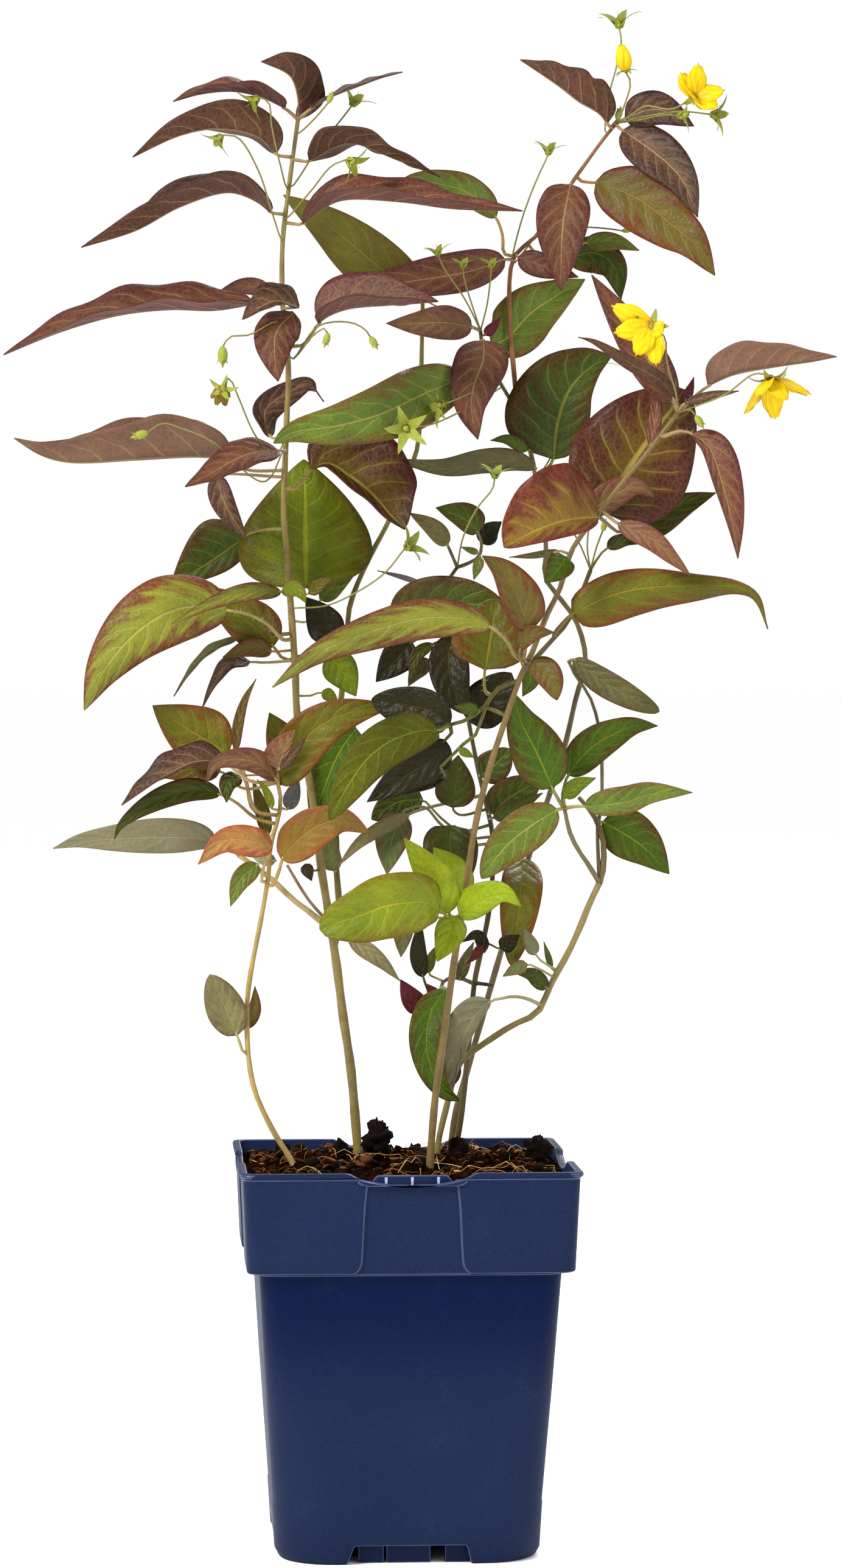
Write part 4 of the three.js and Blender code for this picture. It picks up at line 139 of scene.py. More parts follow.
# Leaf: stem, lie (t seen from above, f facing the eye, b showing its underside), tint, widths of
# its halves, stalk, midrib, tilt of each half at base and tip, outline's bulge and fullness.
LEAVES = table(Leaf, [
  ("s2", "t", "plum", (15,9), [], [-47.1,642.6,0, -47.6,654,-3, -51,662.6,-6, -63.7,669,-10],
    (75,70,50,50)),
  ("s2", "f", "crimson", (2,2), [], [-47,643,2, -45,650,9, -42,657,13]),
  ("s2", "t", "wine", (11,11), [], [-53,648,-1, -64,653,-4, -76,655.5,-7, -90,654.5,-10,
    -103.3,651,-13], (20,20,45,40)),
  ("s2", "t", "plum", (11,11), [], [-41,648,-1, -31,653.5,-4, -22,657,-6, -10,661.5,-8,
    0,664.3,-10], (-10,-10,25,25)),
  ("s2", "t", "plum", (14,14), [], [-57,627,-2, -65,634.8,-5, -84,638.5,-10, -100,635.7,-14,
    -121.5,626,-18], (70,60,5,5)),
  ("s2", "t", "plum", (13,13), [], [-42,624,-2, -30,630.5,-4, -22,632,-6, -4,625.3,-9, 17,617,-12],
    (40,30,0,0)),
  ("s2", "t", "plum", (16,16), [], [-59.5,601,-2, -66,606,-4, -78,610,-7, -100,603.6,-12,
    -120,593,-16, -144.7,585.3,-20], (10,75,50,30)),
  ("s2", "t", "wine", (13,14), [], [-45,595.7,-2, -34.5,603.6,-3, -26,606.7,-5, 0,605.7,-8,
    22,602.8,-11, 54,601.7,-14], (20,20,60,60)),
  ("s2", "t", "wine", (15,16), [], [-66,560,-4, -84,557,-6, -105,557.3,-10, -128,554.7,-14,
    -154,547.3,-18, -179.6,537,-22], (15,15,55,55)),
  ("s2", "t", "plum", (5,10), [], [-46.5,558.6,-6, -58,561,-10, -72.2,553,-13], (-20,-20,70,60)),
  ("s2", "f", "wine", (4,4), [], [-60,567,3, -72,568,6, -82.7,565.6,9]),
  ("s2", "f", "wine", (10,10), [], [-49,556,-5, -57,547,-9, -57.8,538,-11, -56.1,525.1,-12],
    (-10,-10,-10,-10)),
  ("s2", "t", "wine", (14,18), [-44.2,541.7,-2], [-38,551.2,-3, -32.8,554.7,-4, -24,557.7,-5,
    -6.7,559.3,-8, 4,560,-10, 16,561,-12], (18,18,72,72)),
  ("s2", "t", "mauve", (20,20), [-70.9,485.6,-6], [-77,490,-8, -93.6,491,-12, -119.7,489.7,-18,
    -150,488.6,-23, -163,492,-26, -174.9,499.5,-28], (70,62,75,70)),
  ("s2", "t", "wine", (9,10), [], [-56,494,-12, -67,493,-17, -76,489.5,-20, -86.5,483.4,-23,
    -97.9,477.7,-26], (-30,-30,45,45)),
  ("s2", "f", "plum", (6,7), [], [-60.4,500,6, -62,512,9, -50,521,9, -42,524,8, -35.5,516,7]),
  ("s2", "t", "wineveined", (8,25), [-47.6,477,-3], [-41.6,485.6,-2, -34,488,-1, -24,482,-1,
    -14,474,-3, -6,465,-5, 1,458.5,-7], (-20,-20,75,75), (0.9,0.7)),
  ("s2", "f", "plum", (5,6), [], [-84,483,-10, -80,470,-13, -70,453.4,-12], (10,10,10,10)),
  ("s2", "f", "yellowolive", (31,31), [], [-43.6,432,8, -44,450,11, -44,470,12, -44.5,490,12],
    (-10,-10,-10,-10)),
  ("s2", "f", "dark", (8,17), [-64,458,12], [-70,456,14, -82,447,16, -104.3,433,16]),
  ("s2", "f", "limered", (15,17), [-54,409,-3, -61,416,-8, -70,420.5,-12], [-78,422,-15,
    -92,424,-18, -106,421,-21, -120,412,-23, -134,396,-24, -143.3,377.3,-24], (-15,-15,-10,-10)),
  ("s2", "f", "limered", (4.5,4), [], [-55,430.5,-10, -70,430.5,-20, -85,426,-26, -104,416,-28]),
  ("s2", "f", "limeolive", (4,4), [], [-54,431.5,-8, -47,431,-11, -43.5,425.5,-12]),
  ("s2", "f", "olive", (3,3), [], [-42,429.4,-4, -37,434,-5, -31.8,436.6,-6]),
  ("s2", "f", "olive", (10,12), [-53.3,400,4], [-58.2,406,2, -65,413,0, -73,419,-2, -90,433,-3]),
  ("s2", "f", "bronze", (4,5), [], [-59,403.5,0, -68,405,-3, -81,401,-5]),
  ("s2", "t", "slate", (2.5,2.5), [], [-74,410,2, -86,405,0, -94,397,-2, -103,383.4,-4],
    (-50,10,50,20)),
  ("s2", "t", "plum", (5,5), [-62.6,398.6,0], [-68.7,399,-2, -78,398,-4, -83.5,391.2,-4,
    -90.2,378.1,-3], (-40,0,50,30)),
  ("s2", "f", "bronze", (3,3), [], [-57.5,411,-4, -60,418,-5, -61.5,425,-5]),
  ("s2", "f", "green", (3.5,5), [-42,418,13], [-37.2,426.8,13, -30,434,12, -20.6,439.9,11]),
  ("s2", "f", "blackolive", (9,8), [-42,402,4], [-30,408.5,6, -36,418,7, -43.5,428,6]),
  ("s2", "f", "fresh", (8,8), [-44,398,6], [-33,402,8, -27,394,8, -21,383.5,7]),
  ("s2", "f", "olive", (9,9), [], [-46,354,9, -54,364,12, -60,376,12]),
  ("s2", "f", "limeolive", (3,3), [-40,384,6], [-36,386,6, -29,381,6]),
  ("s2", "f", "dusk", (3.5,4.5), [-28,277,0], [-24,275,-4, -10,265,-7, -1.3,255.5,-8]),
  ("s2", "f", "dead", (3,3), [-40,305,3], [-44,308,0, -41,300.5,-1]),
  ("s3", "b", "greyleaf", (7,9), [-77,314.5,-5], [-84,317,-6, -91.4,319.4,-7, -106.3,319.8,-8,
    -129.8,319,-10, -146,318,-12, -157.3,315,-13]),
  ("s3", "f", "green", (5,4.5), [], [-65,308,-3, -73,301,-5, -77.5,289,-6]),
  ("sb", "f", "moss", (10,12), [-27,372,20], [-21,369,12, -29.3,357,8, -37.2,337,6, -41,326,5]),
  ("sb", "f", "paleolive", (14,13), [], [8,563,38, -10,576,34, -33,595,30, -53.7,609,26]),
  ("sb", "f", "slategreen", (5,5), [], [-31,305,14, -32.5,313,12, -29,322,11]),
  ("s1", "f", "orange", (7,7), [-63.4,300,-13, -61.5,310,-15], [-58.7,315,-16, -66,317.5,-19,
    -80,318.5,-22, -92.1,307.9,-24]),
  ("s1", "b", "pale", (3,3), [], [-57,309.5,-11, -63,310.5,-11, -69,313.5,-10]),
  ("s1", "f", "gold", (9.5,10), [-59,298,-13, -54.8,307.6,-15], [-54.7,310.4,-16, -46.8,319.1,-19,
    -38.1,325.2,-21, -27,328,-23, -14.7,321.9,-25]),
  ("s1", "f", "rose", (8,3.5), [], [-56.5,350.5,-16, -53,360,-19, -48.3,368.6,-21]),
  ("s1", "f", "plum", (1.5,2.5), [], [-55,351,-19, -49,358,-22, -43,366,-23]),
  ("s1", "f", "rose", (5,6), [], [-57,346,-14, -66,353.5,-19, -78,355,-23, -85,352,-25,
    -88.3,344.6,-26]),
  ("s1", "f", "bronze", (2.4,2.6), [-66,332,-14, -71,348,-15], [-75.2,358.5,-14, -74.3,370,-13,
    -71,382,-12, -66,391.2,-11]),
  ("s1", "f", "olive", (13,14), [-67,332,-11, -71,346,-11], [-78.5,357.5,-10, -90,364.5,-9,
    -102,372,-10, -112.5,379.2,-12]),
  ("s1", "f", "bronze", (6,8), [-72,342,-7], [-82,350,-5, -98,350.5,-5, -114.5,348,-6]),
  ("s1", "t", "plum", (6,11), [-68,345,-16], [-79,353,-17, -92,354,-19, -105,348.5,-21,
    -126.5,334.4,-24], (-20,20,55,50)),
  ("s1", "f", "brownolive", (5,6), [-66.1,328.6,-12, -74.9,335.6,-14], [-82,339.5,-15, -95,341,-17,
    -108,337.5,-19, -120,331,-21, -127,325,-22, -129.8,319.2,-22]),
  ("s1", "f", "dark", (5,4), [], [-73.5,347.5,-15, -79,344.5,-18, -79.3,335.7,-19]),
  ("s1", "f", "olive", (4,3), [], [-60.5,321,-9, -63,333,-8, -67.5,346,-8]),
  ("s1", "f", "lime", (1.5,2.5), [], [-59,333,-14, -62,341,-15, -65.5,346,-16]),
  ("s1", "f", "silver", (4,3.5), [-54,333,-11], [-51.5,332.5,-9, -49,340,-8, -47,347.5,-8]),
  ("s1", "f", "olive", (10.5,11.5), [], [-56.2,344,-12, -53.8,348.3,-13, -47.6,359.7,-15,
    -39.8,368.4,-17, -29.3,374.5,-18, -17.1,377.6,-18, -4.5,378.8,-17]),
  ("s1", "f", "dusk", (8.5,9), [-71,222,-9], [-74.5,231,-11, -80,243,-13, -86.8,258.3,-14], FLAT,
    (0.8,0.6)),
  ("s1", "f", "bronze", (3,3.5), [], [-70.5,234,-5, -66.8,243,-4, -66.5,253,-4]),
  ("s4", "f", "limered", (9.5,8.5), [50.5,401.5,-40, 47.4,407.6,-43, 43,412,-46], [40,414.5,-47,
    30,418,-49, 13.4,419,-50, 0.3,417,-51, -20.6,410.5,-52, -31,406.5,-53, -41.5,401,-53,
    -58.6,387.5,-54], (-15,-15,-10,-10)),
  ("s4c", "f", "olive", (17,17), [37,386,-25], [36.9,395.4,-22, 39,408,-18, 42,427,-14]),
  ("s4", "f", "bronze", (7.5,11), [54.5,400,-40], [56.8,413.6,-44, 50.3,430.1,-47, 44,440,-48,
    35.8,446.7,-49]),
  ("s4", "f", "bronze", (5,3.5), [53.5,398,-39], [52.5,405.8,-42, 58,411,-45, 68,412.3,-47]),
  ("s4", "f", "bronze", (6.5,6), [], [58.5,399.5,-39, 66,392,-42, 69.5,381.7,-43], FLAT,
    (0.75,0.7)),
  ("s4b", "f", "olive", (10,12), [68,411.5,-34], [76,420.5,-36, 86.5,425.5,-38, 98,430,-39,
    112,432.5,-40, 130,433,-41, 150,432.8,-42, 159,428.5,-42, 164.3,413.7,-42], (0,-60,0,-60),
    (0.45,1)),
  ("s4", "f", "brownolive", (8,8), [], [98,457,-30, 112,462,-27, 126,469.5,-26, 140.9,475,-26]),
  ("s4b", "f", "dark", (3.5,3), [88,446,-27], [92,450.5,-27, 100,453.5,-28, 107.4,452.1,-28]),
  ("s4", "f", "moss", (6,7), [], [73.5,446,-44, 69.5,440,-47, 64,434.5,-48]),
  ("s4", "f", "slate", (1.6,1.6), [], [70,449,-37, 60,447,-36, 48,446,-35]),
  ("s4", "b", "plum", (3.5,3.5), [], [122,517,-46, 117,524.6,-49, 110.5,528.8,-51, 100,534.5,-53,
    86,543,-56, 79,545,-57]),
  ("s4", "f", "wine", (9,9), [], [122,515,-42, 110,535,-38, 97,555,-36, 85,573,-35]),
  ("s4", "t", "mauve", (13.5,10), [130,517,-46], [137.3,523,-48, 149,528,-51, 166,531.3,-54,
    184,534,-57, 195.2,536.2,-59], (72,60,60,60)),
  ("s4", "f", "plum", (2,2.5), [], [127,515.5,-49, 139,519,-52, 151.2,520.8,-54]),
  ("s4", "f", "crimson", (2.5,2.5), [], [125,513,-43, 129,521,-42, 131,527,-42]),
  ("s4", "f", "wine", (9.5,4), [117,500,-46, 124,502.8,-48], [130.6,501.6,-50, 138,495,-53,
    144,478,-55, 148,462,-55, 150.8,445.5,-54]),
  ("s4", "t", "wine", (3,3), [], [111.5,496,-43, 114,512,-40, 112,527,-39]),
  ("s4", "f", "wineveined", (27,27), [], [89,467,-37, 100,484,-34, 114,504,-32, 128,521,-31],
    (-6,-6,-6,-6), (0.7,0.6)),
  ("s4", "f", "rose", (7,6), [], [84,466,-38.5, 95,474,-38, 105,477.5,-38, 113.5,473,-38]),
  ("s4", "f", "winelime", (7,25), [], [88,464,-45, 72,462,-52, 58,457,-56, 45.5,450.5,-58], FLAT,
    (0.75,0.6)),
  ("s4", "f", "rose", (5,5), [], [97,461,-48, 112,454,-51, 121,446,-52, 129.6,437.7,-53]),
  ("s4", "f", "lime", (8.5,8.5), [22,284,-28], [20.8,286.2,-31, 17.3,295.5,-34, 12.9,303.4,-36,
    0.7,319.6,-39]),
  ("s4", "f", "lime", (8,9), [26,287,-24], [25,292,-21, 22,304,-18, 13.8,315.4,-17]),
  ("s4", "f", "lime", (8.5,6), [], [25.5,284.8,-32, 35,291,-36, 45,294.5,-39, 53.2,289,-41]),
  ("s4", "f", "lime", (7,7), [], [24,284.5,-31, 20,274,-34, 15.5,264.1,-36]),
  ("s4", "f", "limeolive", (14.5,14), [22,283,-30], [16.5,287.5,-37, 10,290.5,-40, 0.3,290.5,-43,
    -10,288.5,-44, -18.9,285,-45, -28.5,282,-45, -37.3,278.5,-44], FLAT, (0.8,0.5)),
  ("s4", "f", "slate", (4.5,4.5), [15,284,-22], [1,284,-22, 0,276,-22, -0.8,266.2,-22]),
  ("s4", "f", "moss", (4.5,4.5), [], [56.5,398,-32, 57.5,391,-30, 54,383.5,-29]),
  ("s4c", "b", "moss", (10.5,10), [], [16,368,-30, 6,367.5,-35, -7.5,362,-39, -17,354,-41,
    -24,344,-43, -33,328,-43], FLAT, (0.75,0.6)),
  ("s4c", "f", "blackolive", (12,9), [], [21.3,370.6,-27, 12,377,-24, 0,380,-22, -14,382,-20],
    FLAT, (0.75,0.6)),
  ("s4c", "f", "blackolive", (9,10), [22,367,-25], [19,364,-22, 14,356,-20, 2,348,-19,
    -16,336,-18]),
  ("s4d", "f", "blackolive", (3.5,4), [], [19,347,-20, 6,343.5,-17, -9,338.5,-16]),
  ("s4c", "f", "moss", (3,3), [], [34,377,-30, 23.4,378.9,-33]),
  ("s4d", "f", "fresh", (2,2), [], [25.5,359.5,-27, 32,356,-28]),
  ("s6c", "f", "green", (10,10), [], [69.6,332.5,-18, 57.5,325,-19, 48,317.5,-20, 41,309.5,-20,
    35.5,301.5,-19], FLAT, (0.75,0.65)),
  ("s6c", "f", "moss", (11.5,12.5), [70,337,-19], [67.3,342.2,-20, 60,358.6,-22, 53,372.6,-23,
    50,385,-24]),
  ("s6c", "f", "moss", (8.5,8), [72,338,-15, 73,344,-13], [74.3,348,-12, 84,359.5,-13, 94,366,-14,
    104,370,-15, 114.7,370.2,-16]),
  ("s6c", "f", "fresh", (3.5,4), [], [72.8,338,-20, 78,343.5,-22, 86.8,346.7,-23]),
  ("s6c", "f", "green", (7.5,5.5), [78,334,-20], [82,333.8,-22, 92.6,334.8,-24, 101,336,-25,
    111,339.3,-26, 130.3,340.2,-28]),
  ("s6b", "f", "moss", (12,10.5), [], [90,327,-4, 99.4,321.7,-5, 109,315,-6, 119.9,303.6,-7]),
  ("s7", "f", "slate", (6,6.5), [], [77,400,1, 88,391.5,-2, 100,384.5,-4, 115.5,376.5,-6], FLAT,
    (0.85,0.5)),
  ("s6", "b", "greyleaf", (3.5,10), [55.7,247.5,-9, 49.6,248.4,-10, 44.4,247.5,-10],
    [39.5,246.5,-9, 33,240,-8, 27.5,230,-7, 24,217,-6, 21.3,205,-5]),
  ("s6", "f", "dark", (4,3.5), [], [65,252,-8, 58,258.5,-9, 50.4,259,-9]),
  ("s6", "f", "greyleaf", (3,3.5), [63.6,263.5,-9], [59.5,267,-9, 57,273,-9, 54.5,279.3,-9]),
  ("s6", "f", "slategreen", (3,3), [61,261,-12], [56,263,-15, 51,261,-16, 45.1,257.5,-16]),
  ("s6", "f", "slategreen", (1.5,1.5), [], [67,261,-6, 65,268,-5, 63.5,273,-5]),
  ("s6", "f", "dead", (1.5,2), [], [25,218,0, 24.5,212,-1, 22.5,208,-1]),
  ("s5", "f", "olive", (10,9.5), [], [54,310,22, 53,295,10, 51,278,7, 49,262,6], FLAT, (0.75,0.6)),
  ("s5", "f", "rose", (8,8), [], [31,549.5,30, 19.4,551.5,24, 6.4,551.2,18, -7.3,551.2,13]),
  ("s5", "f", "wine", (12,13), [], [36.4,543.4,28, 36,533.8,21, 32.5,524.3,17, 30.7,513.8,14,
    33.8,499,12]),
  ("s5", "f", "crimson", (2.5,2.5), [], [37,546,33, 41,550,31, 44,554,30]),
  ("s5", "f", "green", (14,13), [], [40,541,37, 47.4,545,39, 58,556,42, 70,564,44, 82,571,45]),
  ("s5", "f", "green", (14,14), [36,531,31], [28,527,26, 10.7,520,12, -11,510,-9, -30,505,-18,
    -50,502,-22, -58.1,497.3,-24], FLAT, (0.75,0.65)),
  ("s5", "f", "slate", (5,6.5), [], [60,486,31, 50,489,29, 36,488.5,23, 18,486,16, -5,490,10]),
  ("s5", "f", "dark", (26,14), [60,480,33], [68,490,34, 70,506,35, 75,521,35, 84,531,35,
    94,536.5,35]),
  ("s5", "f", "moss", (3,3), [], [56,494,30, 47,499,28, 39.5,498.6,27]),
  ("sk", "f", "green", (6,8), [45.4,583,36, 45,590.6,33], [42,599,30, 35,606,27, 27,611,25,
    18,613.6,24, 9,615,22, 2,614,21, -2.9,606.7,20]),
  ("sk", "f", "wine", (9,10.5), [], [46,580,36, 30,574.5,30, 10,571,26, -12,568,23, -32,563.5,20]),
  ("sk", "f", "wine", (6,6), [], [52,581,36, 63,577,33, 79,572,31]),
  ("sk", "f", "dark", (8,10), [60,583,44], [74,580,46, 86,583,47, 95,577,47, 98.3,562,47]),
  ("sk", "f", "green", (4.5,4.5), [66,587,42], [82,587.5,43, 95,588,43, 106.5,584,43]),
  ("sk", "t", "plum", (14,8), [], [92,641,38, 88,645.7,36, 79,651,33, 70,658,31, 52.8,669.8,28],
    (72,72,60,60)),
  ("sk", "f", "plum", (9,8), [], [100,643.5,37, 114,647.5,34, 131,640,31]),
  ("sk", "f", "plum", (11,11), [], [99,638,37, 112.3,628.7,32, 121,621.4,29, 127,613.6,26,
    132.7,599,23]),
  ("sk", "f", "bronze", (14,15), [82,614.5,38], [87,615,37, 95,612,35, 103.6,608.4,33,
    112.3,602.7,31, 121,595.4,29, 129.7,588.4,27, 140.5,572.8,25]),
  ("sk", "f", "wine", (12,13), [], [75.4,613.6,36, 73.7,605.8,33, 71.9,594.5,31, 71,566,29]),
  ("s8b", "f", "dark", (5,8), [], [34,457,8, 28,463,6, 15,468.3,4]),
  ("s8b", "f", "blackolive", (5,5), [], [35.5,452,12, 39.5,458,13, 44.5,462,13]),
  ("s8b", "f", "green", (1.6,1.6), [], [34,448,8, 26.3,450.6,6]),
  ("s8b", "f", "green", (2.5,2.5), [], [35,446,7, 32,436,5]),
  ("s8c", "b", "slategreen", (4.5,4.5), [], [20.2,451.5,10, 14,459,8, 3,466,6]),
  ("s8", "f", "silver", (1.3,1.3), [], [9,434,16, 0,437,18, -11.4,440,19]),
  ("s8", "f", "silver", (4,4), [], [10,433.5,10, 4,431,9, -1.5,428,8]),
  ("s8", "f", "dark", (14,10), [], [-5,419.5,8, 10,423,4, 28,425,0, 47,423,-2], FLAT, (0.75,0.6)),
  ("s8", "f", "blackolive", (9.5,9), [], [22,411,6, 20.5,398,2, 23,386,0, 29,375.5,-1], FLAT,
    (0.8,0.6)),
  ("s8", "f", "dark", (3,3), [], [13.5,407,9, 6.5,402,7, 3,389,6]),
  ("s8", "f", "blackolive", (8,8), [], [4,408,9, -4,399,8, -12,390,8]),
  ("s8", "f", "slate", (4,4), [], [12,400,10, 6,394,10, 2.5,388,10]),
  ("s8", "f", "blackolive", (11,11), [], [30,372,9, 40,383,6, 49,394,4], FLAT, (0.75,0.6)),
  ("s8", "f", "dark", (8,8), [], [35,348,9, 42,353,6, 48,360,5], FLAT, (0.75,0.6)),
  ("s8", "f", "dark", (9,9), [], [40,331,10, 48,338,7, 62,346,5], FLAT, (0.75,0.6)),
  ("s8", "f", "dark", (3.5,4), [], [41,328.8,8, 52,334,3, 63,340,2]),
  ("s8", "f", "blackolive", (4,4), [39,272,11], [44,270,3, 52.5,276,1]),
  ("s8", "f", "brownolive", (9,9.5), [26,330,9], [22.3,333.5,4, 24,346,3, 25,357,3]),
  ("s8", "f", "brownolive", (13,12), [28,323,8], [21.9,325.3,3, 21,316,0, 23,304,-1, 25,296,-2],
    FLAT, (0.7,0.5)),
  ("s8", "f", "slategreen", (8,8.5), [30,317,13, 17,326,10, 9.5,333.8,9], [-1,331,8, -5,318,6,
    -7.1,303.4,5]),
  ("s8", "f", "dark", (7,7), [30,320,17, 18,328,15], [9,337,13, -2,336,11, -14,328,10], FLAT,
    (0.75,0.6)),
  ("s8", "f", "dusk", (3.5,3.5), [10,333,9], [3,330.5,5, -8,325,3, -19,318,1, -29.3,306.9,0]),
  ("s8t", "f", "crimson", (5.5,5), [], [9.2,242.3,1, 4,248,-1, -1,256,-2]),
  ("s8t", "f", "blackolive", (4,4), [13.5,245.7,6, 10.8,252.7,5], [9.1,257.1,4, 7,268,3, 8,283,3]),
  ("s8t", "f", "green", (2.5,2.5), [], [11,259,7, 13,266,7, 16,272,7]),
  ("s8", "f", "blackolive", (3,3.5), [], [37,268.5,11, 33,276,8, 27,273,7]),
  ("s8t", "f", "slate", (3,3), [], [25.5,256,8, 28,264,6, 32,273,6]),
  ("s8", "f", "rust", (2,2.5), [], [36,271,8, 32,266,4, 28.5,263,3]),
  ("s8t", "f", "rust", (3,3), [], [16.5,246.5,3, 14,250,2, 11,254,2]),
  ("s8t", "f", "moss", (8,8), [], [19.5,251.5,-4, 13,242,-9, 10.5,228,-12, 13.5,214,-12,
    19,205.5,-11, 25.5,201.6,-10], FLAT, (0.7,0.65)),
])

# Flower stalk: stem, what it bears, size, the way it points, path.
STALKS = table(Stalk, [
  ("s2", "bud", 4.2, (0,-1,0), [-57.5,552,-8, -69,546,-11, -78,545,-12, -81,540.5,-12]),
  ("s2", "open", 6, (0,-1,-0.3), [-57,492,-6, -66.5,501,-17, -74,518,-22, -78,526.5,-23,
    -81,525,-23.5]),
  ("s2", "bud", 3.6, (-1,-0.3,0), [-62,480,-6, -86,498,-21, -100,504,-27, -108,506.3,-28,
    -115,502,-29]),
  ("s2", "bud", 3, (-0.3,-1,0), [-50,535,-3, -40,546,-8, -35,549,-9, -33.5,546.5,-9]),
  ("s2", "bud", 3, (0.6,-1,0), [-50,535,-3, -38,550,-5, -24,551.7,-6, -17,548.5,-7, -14.5,545,-7]),
  ("s2", "calyx", 8, (-1,-0.8,0), [-52,612,-1, -55,622,-5, -59,640,-8, -60.5,651,-9, -65,653,-10]),
  ("s2", "calyx", 7, (-0.8,-1,0), [-54,588,-2, -58.5,600,-6, -65,620,-16, -74.5,635,-24,
    -81.5,636,-26]),
  ("s2", "calyx", 8, (0.5,1,0), [-51,612,0, -38,630,4, -26,645,5, -23,649,5]),
  ("s2", "calyx", 8, (1,-0.7,-0.3), [-53.5,598,-1, -42,610,-6, -32,622,-11, -25,625,-13]),
  ("s2", "bud", 2.6, (0.4,1,0), [-48,637,0, -40,643,-12, -33.5,650.5,-16]),
  ("s2", "calyx", 8, (0.9,0.5,-0.5), [-50.2,420,1, -34.6,424.2,-2, -22.3,429.4,-4, -8.2,438.8,-6,
    1,450,-7]),
  ("s5", "calyx", 6, (-0.2,1,0), [35,547,34, 28,562,28, 18,577,20, 16,581.5,19]),
  ("s5", "calyx", 6, (0,1,0), [35,547,34, 31,560,29, 27.5,572,23, 27,576,22]),
  ("s5", "calyx", 6, (0,1,0), [35,547,34, 38,560,31, 39.5,572,27, 39.7,576,26]),
  ("s5", "calyx", 6, (-1,-0.2,0), [34,546,33, 15,559,24, 2,565,19, -3.5,566,17]),
  ("s5", "calyx", 8, (-1,-0.4,-0.5), [43,525,33, 33,521,18, 23,516.5,9, 19,515,7]),
  ("s5", "calyx", 9, (0,-0.2,-1), [43,525,33, 27,512,14, 12,505.5,0, 1.5,504.3,-7]),
  ("s8", "calyx", 7, (0.1,1,-0.2), [24.5,441.5,12, 27.6,456.3,4, 34.1,468.9,1, 40.5,477,0,
    41.3,481.5,0]),
  ("s5", "calyx", 7, (0.5,0.8,0), [60,483,32, 74,505,40, 84,524,41, 88,532,41]),
  ("sk", "calyx", 7, (0.1,1,0), [49.5,578,40, 53,596,36, 59.7,614.5,33, 64.5,625,32, 65.4,627,32]),
  ("sk", "bud", 3, (0.3,1,0), [92,636,40, 94.5,641,39, 96.5,643,39]),
  ("sk", "calyx", 9, (-0.1,1,0), [91.5,636,40, 92.8,653.5,37, 96.3,667,36, 98.4,678,35,
    97.5,684,35]),
  ("sk", "open", 5, (-0.2,1,-0.2), [96,641,39, 99,647.4,31, 102.5,659.5,29, 100.6,664,28]),
  ("sk", "open", 7, (0.6,0.7,0.9), [96.3,641.3,39, 102.8,644.8,30, 108.9,649,26, 121,647.6,22,
    129,650.5,20]),
  ("sk", "calyx", 7, (1,0,0), [96.3,640,40, 108,643,32, 118,645,28, 123.5,644.8,27]),
  ("sk", "calyx", 8, (1,-0.1,0.2), [96.3,641,38, 110,644.5,28, 126,646.5,23, 138.5,645.2,21]),
  ("sk", "bud", 2.6, (1,0.2,0), [62,592,42, 80,594.5,45, 95,593.5,46, 99,592.8,46]),
  ("s4", "open", 7, (0.7,0,1), [123.9,511.2,-45, 123,519.6,-49, 118.9,533,-52, 118,544.7,-54,
    115,550,-55]),
  ("s4", "open", 8, (0,-1,-0.3), [124,511.5,-45, 132,514,-50, 145.7,519.6,-59, 158.3,528.5,-65,
    165.5,531,-67]),
  ("s4", "bud", 3, (0.5,-0.8,0), [124,511,-45, 130,512,-53, 132,509.5,-54]),
  ("s4b", "bud", 2.6, (-0.3,1,0), [84.5,440,-27, 80.5,450,-29, 77.5,456,-31]),
  ("s4b", "bud", 2.6, (0.3,1,0), [84.5,440,-27, 87,450,-29, 90,458,-30]),
  ("s4b", "bud", 2.6, (0,1,0), [84.5,440,-27, 83,450,-30, 83.5,458,-32]),
])

# Corolla: node, middle, tips of the petals, half a petal's width.
COROLLAS = table(Corolla, [
  ("petals_top", (131.5,653,17.5), [125,664,17, 133,668,14, 144.5,656,14, 141.5,648.5,12,
    129,655,8], 4.6),
  ("petals_middle", (112,550,-58), [94.5,559,-57, 95.5,547,-58, 105,537,-58, 114,532.5,-57,
    116.5,546,-60], 4.8),
  ("petals_right", (165.5,526.5,-68.5), [154,511,-64, 167.5,508.7,-60, 183,519.6,-64, 172,517,-77,
    160,519,-77], 4.8),
  ("petals_faded", (-81,521.5,-25), [-90,520,-26, -86,514,-29, -78,513,-28, -74.5,519,-25], 3.2),
])

# Shoot: the stem it stands on and its material slot.
SHOOTS = {"shoot_left_tall": ("s2", "foliage_plum"), "shoot_left_small": ("s1", "foliage_plum"),
          "shoot_front_right": ("s4", "foliage_plum"), "shoot_back_right": ("s5", "foliage_plum"),
          "shoot_low_right": ("s6", "foliage_green"), "shoot_inner": ("s8", "foliage_green")}
STEM_OF = {stem.name: stem for stem in STEMS}

